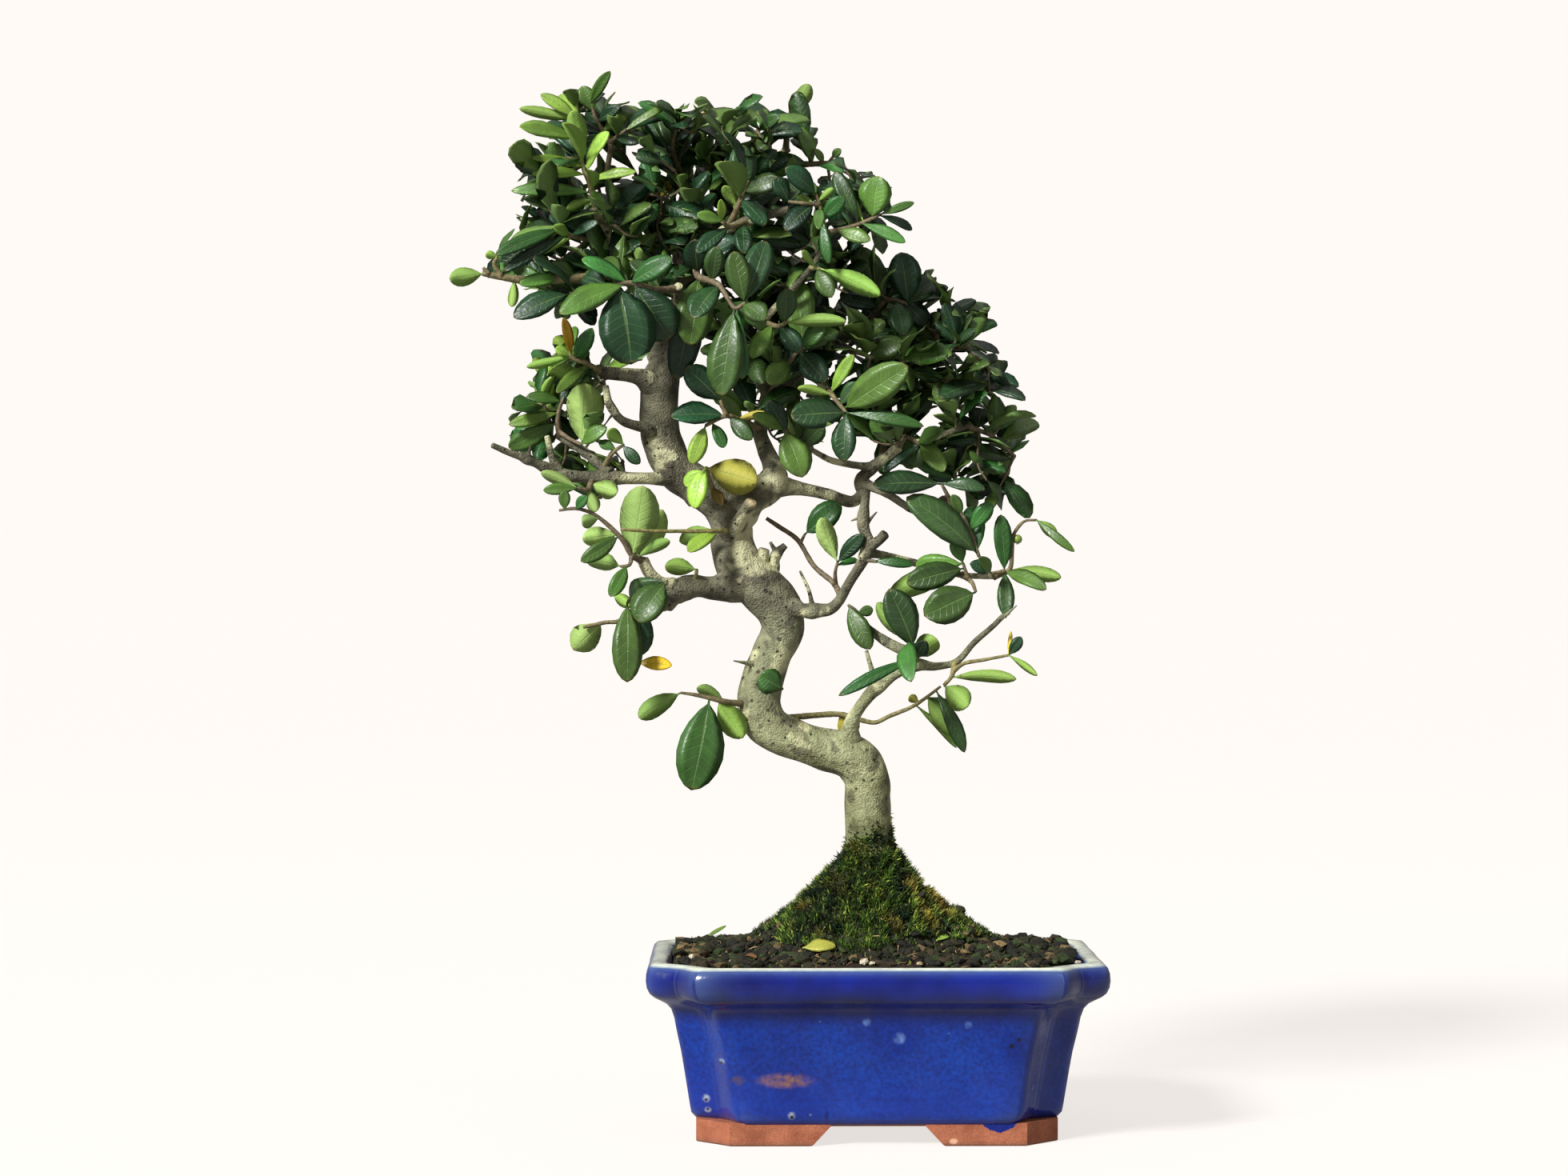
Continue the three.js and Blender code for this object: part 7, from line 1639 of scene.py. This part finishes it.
class Skin(Nodes):
    """A material with one Principled shader, whose constants are set on its own sockets."""

    def __init__(self, name, **constants):
        self.made = bpy.data.materials.new(name)
        self.made.use_nodes = True
        super().__init__(self.made.node_tree)
        self.sockets = self.tree.nodes["Principled BSDF"].inputs
        for key, value in constants.items():
            self.sockets[key.replace("_", " ")].default_value = value

    def effect(self, name, values, out=0):
        return self.node("ShaderNodeGroup", dict(enumerate(values)), out, node_tree=GROUPS[name])

    def mottle(self, *values):
        return self.effect("mottle", values)

    def spots(self, *values, out="Spot"):
        return self.effect("spots", values, out)

    def band(self, *values):
        return self.effect("height_band", values)

    def near(self, spot, reach):
        return self.effect("near", (spot, reach))

    def tint(self):
        """The colour that each point was given."""
        return self.node("ShaderNodeAttribute", {}, "Color", attribute_name="tint")

    def base(self, share, a, b):
        self.colour = self.mixed(share, a, b)

    def lay(self, share, weight, tone):
        """Lays a tone over the colour so far, by a share that the weight scales."""
        share = share if weight == 1 else self.times(share, weight)
        self.colour = self.mixed(share, self.colour, tone)

    def finish(self, roughness, height=None, depth=1.0, strength=1.0, **more):
        """Links the colour, the roughness and a bump of a depth in mm. The height is a socket, or
        the values of the relief."""
        sockets = {"Base Color": self.colour, "Roughness": roughness, **more}
        if height is not None:
            height = self.effect("relief", height) if isinstance(height, tuple) else height
            sockets["Normal"] = self.node("ShaderNodeBump", {
                "Height": height, "Distance": depth / 1000, "Strength": strength}, "Normal")
        for key, socket in sockets.items():
            self.tree.links.new(socket, self.sockets[key.replace("_", " ")])
        return self.made


def mark_at(across, down, depth):
    """A place in mm, as numbers for a socket, that is sighted at a pixel."""
    return tuple(float(c) for c in sighted([across, down, depth]))


FRONT = -POT_DEPTH / 2
# Marks in the glaze that are seen from the front: [(across, down), reach in mm, tone, weight].
GLAZE_MARKS = [
    [(982, 1352), (15, 40, 4.2), (150, 104, 40), 0.79],
    [(923, 1352), (4.5, 40, 2.8), (84, 66, 60), 0.79],
    [(1034, 1398), (1.2, 40, 4.5), (12, 14, 66), 0.79],
    [(882, 1381), (2.4, 60, 2.4), (186, 196, 200), 0.79],
    [(882, 1383), (1.2, 60, 1.2), (16, 14, 24), 1],
    [(884, 1396), (2.2, 60, 1.8), (186, 196, 200), 0.79],
    [(884, 1395), (1.1, 60, 1.0), (16, 14, 24), 1],
    [(990, 1397), (2.2, 60, 2.2), (180, 190, 196), 0.79],
    [(990, 1399), (1.1, 60, 1.1), (16, 14, 24), 1],
    [(902, 1329), (1.8, 60, 1.8), (150, 166, 190), 0.79],
    [(902, 1331), (0.9, 60, 0.9), (20, 20, 40), 1],
    [(1265, 1308), (1.5, 60, 1.5), (12, 14, 40), 1],
    [(1274, 1300), (1.3, 60, 1.3), (12, 14, 40), 1],
    [(1124, 1298), (3.4, 60, 3.4), (110, 142, 198), 0.79],
    [(1083, 1277), (2.4, 60, 2.4), (96, 130, 192), 0.79],
    [(1210, 1281), (2.2, 60, 2.2), (90, 124, 188), 0.79],
    [(1105, 1377), (34, 12, 1.3), (16, 26, 104), 0.7],
    [(1236, 1352), (9, 12, 5), (20, 32, 116), 0.6],
]
# Marks of a lower weight than this have an uneven edge.
SMOOTH_MARK = 0.8


def glaze_skin():
    """Cobalt glaze: darker on the underside of the rim roll and low down where the body turns
    under, which is painted shade; steel blue where it thinned on edges and corners; paler on the
    rim's crest, where the glaze thins and a painted reflection of the pale sky lies, and palest on
    its upward-facing top, a painted reflection in patches; with pinholes, pale specks, runs and a
    few brown stains."""
    skin = Skin("cobalt_glaze", Specular_IOR_Level=0.4, Coat_Roughness=0.05)
    clouds = skin.mottle(26, 5, 2.2)
    skin.base(clouds, (3, 30, 121), (9, 62, 160))
    skin.lay(skin.mottle(1.7, 4, 3.4, 3), 0.6, (4, 18, 84))
    # Painted shade: the underside of the rim roll is darker.
    roll_underside_shade = skin.band(55, 61, 2)
    skin.lay(roll_underside_shade, 1, skin.mixed(clouds, (1, 5, 64), (8, 32, 140)))
    not_drained = skin.math("SUBTRACT", 1.0, skin.band(57, 50, 8, 4))
    skin.lay(skin.times(not_drained, skin.math("SUBTRACT", 1.0, roll_underside_shade)), 0.5, (8, 22, 96))
    # Painted reflection of the pale sky: the rim's crest paler, where the glaze also thins, and its
    # upward-facing top near white, in patches.
    crest = skin.band(75.4, 78, 1, 3)
    skin.lay(crest, 0.55, (70, 96, 138))
    facing = skin.apart(skin.node("ShaderNodeNewGeometry", {}, "Normal"), 2)
    rim_top_sheen_patches = skin.ramp(skin.mottle(5, 4, 2.6, 14), 0, 1, 0.75, 1)
    skin.lay(skin.times(skin.ramp(facing, 0.7, 0.97), crest), rim_top_sheen_patches, (228, 234, 210))
    thin = skin.ramp(skin.node("ShaderNodeNewGeometry", {}, "Pointiness"), 0.515, 0.57)
    skin.lay(thin, 0.5, (96, 120, 160))
    # Painted shade: darker low down, where the body turns under.
    skin.lay(skin.band(13.5, 9, 1.6, 5), 0.7, (16, 24, 92))
    skin.lay(skin.band(36, 14, 14, 20), 0.35, (30, 52, 150))
    for (across, down), reach, tone, weight in GLAZE_MARKS:
        here = skin.near(mark_at(across, down, FRONT + 14), reach)
        if weight < SMOOTH_MARK:
            here = skin.times(here, skin.mottle(3, 4, 3))
        skin.lay(here, weight, tone)
    skin.lay(skin.spots(6, 0.12, 0.3, 7), 0.26, (96, 134, 190))
    skin.lay(skin.spots(11, 0.06, 0.34, out="Rim"), 0.4, (150, 165, 195))
    holes = skin.spots(11, 0.06, 0.34)
    skin.lay(holes, 1, (18, 16, 22))
    smudge = skin.mottle(16, 6, 2.5, 9)
    height = skin.math("SUBTRACT", skin.effect("relief", (9, 1.6, 0.16)), skin.times(holes, 0.8))
    return skin.finish(skin.ramp(smudge, 0.1, 0.9, 0.07, 0.24), height, 0.5, 0.7,
                       Coat_Weight=skin.ramp(smudge, 0.9, 0.1, 0.15, 0.5))


def clay_skin():
    """Unglazed stoneware: sandy orange-brown with darker and paler grains, darker at the bottom of
    the feet, a chip, and a run of glaze over one foot."""
    skin = Skin("bare_clay", Specular_IOR_Level=0.3)
    grain = skin.mottle(0.7, 3, 3, 2)
    skin.base(skin.mottle(9, 5, 2.4), (134, 72, 48), (182, 112, 80))
    skin.lay(grain, 0.4, (112, 64, 46))
    skin.lay(skin.spots(2.6, 0.16, 0.25), 0.6, (92, 58, 44))
    skin.lay(skin.spots(3.4, 0.14, 0.25, 5), 0.6, (232, 196, 160))
    # Darker at the bottom of the feet.
    skin.lay(skin.band(3, 0, 2.4, 4), 0.55, (110, 76, 58))
    chip, run = (mark_at(*pixel, FRONT + FOOT_INSET) for pixel in ((1192, 1427), (1250, 1391)))
    skin.lay(skin.near(chip, (2.4, 5, 1.6)), 0.8, (220, 178, 142))
    run = skin.near(run, (12, 40, 11))
    glazed = skin.ramp(skin.math("MULTIPLY_ADD", skin.mottle(5, 4, 3, 21), 0.35, run), 0.42, 0.5)
    skin.lay(glazed, 1, (16, 32, 112))
    rough = skin.math("MULTIPLY_ADD", glazed, -0.5, skin.ramp(grain, 0, 1, 0.62, 0.92))
    return skin.finish(rough, (3, 0.5, 0.7), 0.35, 0.9)


def soil_skin():
    """Potting soil: dark brown humus with paler and reddish grains and damp patches."""
    skin = Skin("potting_soil", Specular_IOR_Level=0.25)
    patch = skin.mottle(14, 4, 2.2, 4)
    skin.base(skin.mottle(1.4, 6, 2.6), (20, 17, 12), (54, 42, 29))
    skin.lay(patch, 0.45, (38, 28, 22))
    skin.lay(skin.spots(2.4, 0.25, 0.14, 6), 0.7, (128, 98, 66))
    return skin.finish(skin.ramp(patch, 0.1, 0.9, 0.78, 0.97), (2.6, 0.6, 0.8), 1.1)


def tinted_skin(name, shine, pattern, shades, rough, bumps=(), pores=()):
    """Things whose points have a colour of their own: in patches it is scaled between two shades,
    and roughness lies between two values. Twigs have pale pores."""
    skin = Skin(name, Specular_IOR_Level=shine)
    patch = skin.mottle(*pattern)
    skin.colour = skin.scaled(skin.tint(), skin.ramp(patch, 0, 1, *shades))
    for spots_of, weight, tone in pores:
        skin.lay(skin.spots(*spots_of), weight, tone)
    return skin.finish(skin.ramp(patch, 0, 1, *rough), *bumps)


def moss_skin():
    """The moss's ground under its leaves: dark green to brown, with golden patches."""
    skin = Skin("moss_bed", Specular_IOR_Level=0.2)
    grain = skin.mottle(0.9, 4, 2.8, 3)
    skin.base(skin.mottle(12, 5, 2.6), (30, 40, 16), (74, 82, 28))
    skin.lay(grain, 0.6, (18, 22, 10))
    skin.lay(skin.near((27, -14, 104), (20, 26, 22)), skin.mottle(5, 4, 3.5, 8), (158, 128, 50))
    return skin.finish(skin.ramp(grain, 0, 1, 0.8, 0.98), (2, 0.6, 0.8), 1.0)


def bark_skin():
    """Bark: grey-olive with cream patches, darker old scars and dark pores; paler and yellower low
    down; darker and browner upwards, which is painted shade under the crown; green where the moss
    climbs it."""
    skin = Skin("grey_olive_bark", Specular_IOR_Level=0.35)
    clouds, fine = skin.mottle(11, 6, 2.4), skin.mottle(1.3, 5, 2.6, 2)
    skin.base(clouds, (70, 72, 50), (176, 182, 142))
    skin.lay(fine, 0.5, (86, 80, 64))
    # Painted shade under the crown: the bark darker and browner upwards.
    skin.lay(skin.band(190, 250, 60, 26), 0.75, skin.mixed(clouds, (50, 47, 37), (126, 120, 98)))
    skin.lay(skin.ramp(skin.mottle(19, 3, 5, 12), 0.7, 1), 0.65, (216, 214, 168))
    skin.lay(skin.band(235, 150, 50, 18), 0.25, (178, 180, 116))
    skin.lay(skin.ramp(skin.mottle(9, 5, 5, 17), 0.7, 1), 0.55, (58, 50, 40))
    pores = skin.spots(3, 0.25, 1, 4)
    skin.lay(pores, 0.9, (38, 33, 26))
    skin.lay(skin.spots(4.5, 0.29, 1, 31), 0.85, (44, 40, 30))
    skin.lay(skin.spots(2.3, 0.16, 0.3, 15), 0.45, (188, 178, 140))
    skin.lay(skin.band(146, 120, 34, 14), 0.8, skin.mixed(fine, (40, 50, 22), (84, 92, 40)))
    skin.lay(skin.near(mark_at(940, 628, -19), (3.6, 4, 3.6)), 1, (206, 186, 144))
    height = skin.math("SUBTRACT", skin.effect("relief", (4.2, 0.9, 0.75)), skin.times(pores, 0.4))
    return skin.finish(skin.ramp(fine, 0, 1, 0.5, 0.85), height, 1.5)


def leaf_skin():
    """Leaves, by their own UV: u runs across the upper side to 0.5 and back underneath, v from foot
    to tip. A pale midrib, side veins that run to the edge, a paler underside, and blotches."""
    skin = Skin("leaf_skin", Specular_IOR_Level=0.42)
    u = skin.apart(skin.node("ShaderNodeUVMap", {}, "UV", uv_map="surface"))
    v = u.node.outputs[1]
    under = skin.math("GREATER_THAN", u, 0.5)
    half = skin.math("ABSOLUTE", skin.math("SUBTRACT", skin.math("MODULO", u, 0.5), 0.25))
    off = skin.times(half, 4)
    taper = skin.ramp(v, 0, 1, 0.085, 0.025)
    rib = skin.math("SUBTRACT", 1.0, skin.ramp(skin.math("DIVIDE", off, taper), 0.5, 1.3))
    slant = skin.times(skin.math("MULTIPLY_ADD", off, -0.16, v), 9)
    comb = skin.math("ABSOLUTE", skin.math("SUBTRACT", skin.math("FRACT", slant), 0.5))
    vein = skin.times(skin.ramp(comb, 0.12, 0.02), skin.ramp(off, 1, 0.5))
    fine = skin.mottle(1.2, 4, 2.2, 5)
    skin.colour = skin.scaled(skin.tint(), skin.ramp(skin.mottle(9, 4, 2), 0, 1, 0.72, 1.3))
    skin.lay(fine, 0.16, (24, 44, 22))
    skin.lay(under, 1, skin.mixed(0.4, skin.tint(), (138, 172, 88)))
    skin.lay(vein, 0.05, (150, 184, 104))
    skin.lay(rib, 0.2, (140, 172, 96))
    skin.lay(skin.spots(8, 0.1, 0.16, 3), 0.7, (112, 84, 44))
    skin.lay(skin.ramp(v, 0.93, 1), 0.25, (150, 120, 60))
    rough = skin.math("MULTIPLY_ADD", under, 0.3, skin.ramp(fine, 0, 1, 0.3, 0.48))
    sunk = skin.math("ADD", rib, skin.times(vein, 0.5))
    height = skin.math("MULTIPLY_ADD", sunk, -0.5, skin.times(fine, 0.25))
    return skin.finish(rough, height, 0.35, 0.8)


def fruit_skin():
    skin = Skin("fruit_skin", Specular_IOR_Level=0.5)
    clouds = skin.mottle(2.4, 3, 2.4)
    skin.colour = skin.tint()
    skin.lay(clouds, 0.4, (150, 150, 60))
    return skin.finish(skin.ramp(clouds, 0, 1, 0.24, 0.4))


def plastic_skin():
    """The drain sheets' plastic: black, scuffed and dusty."""
    skin = Skin("black_plastic", Specular_IOR_Level=0.4)
    dust = skin.mottle(4, 5, 2.6)
    skin.base(skin.times(dust, 0.4), (26, 26, 27), (92, 82, 70))
    return skin.finish(skin.ramp(dust, 0, 1, 0.42, 0.75), (2, 0.5, 0.4), 0.2, 0.6)


def dressed(parts):
    """Shells joined into one, with each face's material number."""
    numbers = [np.full(len(part[kind]), number)
               for kind in ("quads", "tris") for part, number in parts]
    return joined([part for part, _ in parts]), np.concatenate(numbers)


near_corner, far_corner = (np.array(corner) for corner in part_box("pot"))
POT_MIDDLE = (near_corner + far_corner) / 2 * [1, 1, 0]
ROUTES = [route_of(points) for _, points in WOOD]
WOOD_SEGMENTS = segments_of(ROUTES)
GROUPS = {name: group(name) for name in EFFECTS}
GRAIN, GRAIN_BUMP = (0.8, 4, 2.4), ((0.9, 0.3, 0.5), 0.25, 0.8)
TWIG_PORES = [[(1.9, 0.16, 0.35, 2), 0.5, (176, 164, 132)]]
GLAZE, CLAY, SOIL, MOSS, BARK = glaze_skin(), clay_skin(), soil_skin(), moss_skin(), bark_skin()
CRUMB = tinted_skin("loose_grains", 0.3, GRAIN, (0.55, 1.5), (0.75, 0.9), GRAIN_BUMP)
STRAW = tinted_skin("dry_straw", 0.3, GRAIN, (0.7, 1.3), (0.6, 0.75), GRAIN_BUMP)
TUFT = tinted_skin("moss_leaves", 0.3, (5, 3, 2.4, 2), (0.7, 1.5), (0.5, 0.8))
TWIG = tinted_skin("twig_skin", 0.35, (1.6, 5, 2.4, 6), (0.6, 1.4), (0.5, 0.8),
                   ((1.6, 0.5, 0.5), 0.4, 0.8), TWIG_PORES)
LEAF, GREEN_FRUIT, PLASTIC = leaf_skin(), fruit_skin(), plastic_skin()

# The pot: its profile is glazed from GLAZED_FROM to GLAZED_TO, and bare below and inside.
GLAZED_FROM, GLAZED_TO = 3, 27
body = pot_shell()
ring_of = np.arange(len(body["quads"])) // ((len(body["points"]) - 2) // len(POT_PROFILE))
glazed = (ring_of >= GLAZED_FROM) & (ring_of < GLAZED_TO)
which = np.concatenate([glazed.astype(int), np.zeros(len(body["tris"]), int)])
drilled(make("pot_body", body, [CLAY, GLAZE], ["pot"], which=which))
feet = joined([foot_shell(sx, sy) for sx in (-1, 1) for sy in (-1, 1)])
make("pot_feet", feet, [CLAY], ["pot"], smooth=False)
for side in ("left", "right"):
    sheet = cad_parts["drain_mesh_" + side]
    sheet.data.materials.clear()
    sheet.data.materials.append(PLASTIC)

# The ground
FALLEN_SEED, INNER_SEED, SPRAY_SEED = 71, 72, 100
make("soil_bed", soil_shell(), [SOIL], ["soil"])
make("soil_crumbs", crumb_shell(), [CRUMB], smooth=False)
make("pale_stones", stone_shell(), [CRUMB], smooth=False)
make("moss_blanket", moss_shell(), [MOSS], ["moss"])
make("moss_tufts", tuft_shell(ROUTES[0]), [TUFT], smooth=False)
make("dry_straws", straw_shell(), [STRAW])
make("fallen_leaves", leaf_shell(fallen_leaves(), FALLEN_SEED), [LEAF])

# The wood
limbs = [limb_shell(route, ROUTES[:number] + ROUTES[number + 1:], number > 0)
         for number, route in enumerate(ROUTES)]
make("trunk_and_limbs", joined(limbs), [BARK], ["trunk"])

# The sprays and the leaves of the inner crown
sprays = []
hosts = [(route, -1) for route in ROUTES]
for number, (name, twigs, rows, more) in enumerate(SPRAYS):
    routes = [route_of(points) for points in twigs]
    routes[0] = root_on_wood(routes[0])
    free = [free_part(route) for route in routes]
    sprays.append({"name": name, "routes": routes, "free": free, "rows": rows, "more": more,
                   "leaves": []})
    hosts += [(route, number) for route in routes]
crowd = Crowd(np.concatenate([route_marks(*host) for host in hosts]))
settle_leaves(sprays, crowd)
OLD_TWIG, YOUNG_TWIG = linear(104, 92, 70), linear(128, 122, 74)
for number, spray in enumerate(sprays):
    young = np.mean([leaf["tone"] in ("young", "yellow") for leaf in spray["leaves"]])
    parts = [(twig_shell(route, lerp(OLD_TWIG, YOUNG_TWIG, young)), 0) for route in spray["routes"]]
    parts.append((leaf_shell(spray["leaves"], SPRAY_SEED + number), 1))
    if spray["name"] == FRUIT[0]:
        parts.append((fruit_shell(), 2))
    whole, which = dressed(parts)
    make("leafy_" + spray["name"], whole, [TWIG, LEAF, GREEN_FRUIT],
         ["spray_" + spray["name"]], which=which)
twigs, leaves = inner_twiglets(crowd, [route for route, _ in hosts])
parts = [(twig_shell(route, OLD_TWIG), 0) for route in twigs]
whole, which = dressed(parts + [(leaf_shell(leaves, INNER_SEED, PLAIN_BLADE), 1)])
make("inner_crown", whole, [TWIG, LEAF], which=which)

PALE = (*linear(255, 250, 245), 1)
FLOOR_SIDE = 60
FLOOR_SHARE = 0.2
FLOOR_GLOW = 0.765
FLOOR_LIGHT = 0.15
SKY_STRENGTH = 0.27
SUN = {"turn": (0.58, -0.84, 0.1), "strength": 5.2, "spread": 0.22}
# Area lights: [place in m, size in m, power in W], all aimed at one place.
LAMPS = [
    [(-1.3, -1.2, 1.1), (0.5, 1.7), 8], [(1.35, -1.0, 0.9), (0.35, 1.6), 3],
    [(0.1, 0.6, 2.0), (1.6, 1.2), 4],
]
LAMP_AIM = (0, 0, 0.15)


def seen_or_lit(nodes, seen, lit):
    """One strength for what the camera sees, another for the light that falls on other things."""
    ray = nodes.node("ShaderNodeLightPath", {}, "Is Camera Ray")
    return nodes.math("MULTIPLY_ADD", ray, seen - lit, lit)


# A level floor, wide enough to reach the horizon, whose colour runs on into the sky's.
half = FLOOR_SIDE / 2
corners = [(-half, -half, 0), (half, -half, 0), (half, half, 0), (-half, half, 0)]
mesh = bpy.data.meshes.new("pale_floor")
mesh.from_pydata(corners, [], [(0, 1, 2, 3)])
skin = Skin("pale_floor", Roughness=0.9, Specular_IOR_Level=0.0, Emission_Color=PALE,
            Base_Color=tuple(c * FLOOR_SHARE for c in PALE[:3]) + (1,))
skin.tree.links.new(seen_or_lit(skin, FLOOR_GLOW, FLOOR_LIGHT), skin.sockets["Emission Strength"])
mesh.materials.append(skin.made)
in_scene(bpy.data.objects.new("pale_floor", mesh))

world = bpy.data.worlds.new("pale_sky")
bpy.context.scene.world = world
world.use_nodes = True
tree = world.node_tree
background = tree.nodes["Background"].inputs
background["Color"].default_value = PALE
tree.links.new(seen_or_lit(Nodes(tree), 1, SKY_STRENGTH), background["Strength"])

sun = bpy.data.lights.new("soft_sun", "SUN")
sun.energy, sun.angle = SUN["strength"], SUN["spread"]
in_scene(bpy.data.objects.new("soft_sun", sun)).rotation_euler = SUN["turn"]
for number, (where, size, power) in enumerate(LAMPS):
    area = bpy.data.lights.new(f"soft_box_{number}", "AREA")
    area.shape, area.size, area.size_y, area.energy = "RECTANGLE", *size, power
    lamp = in_scene(bpy.data.objects.new(area.name, area))
    lamp.location = where
    lamp.rotation_euler = (Vector(LAMP_AIM) - Vector(where)).to_track_quat("-Z", "Y").to_euler()

# The camera, at the place that the photograph was taken from, by the figures that sighted() uses
lens = bpy.data.cameras.new("front_camera")
lens.sensor_width = SENSOR
lens.lens = FOCAL_LENGTH / FRAME_SIZE[0] * SENSOR
camera = in_scene(bpy.data.objects.new("front_camera", lens))
camera.location = place(EYE)
camera.rotation_euler = (math.pi / 2, 0, -EYE_TURN)
bpy.context.scene.camera = camera
bpy.context.scene.view_settings.view_transform = "Standard"
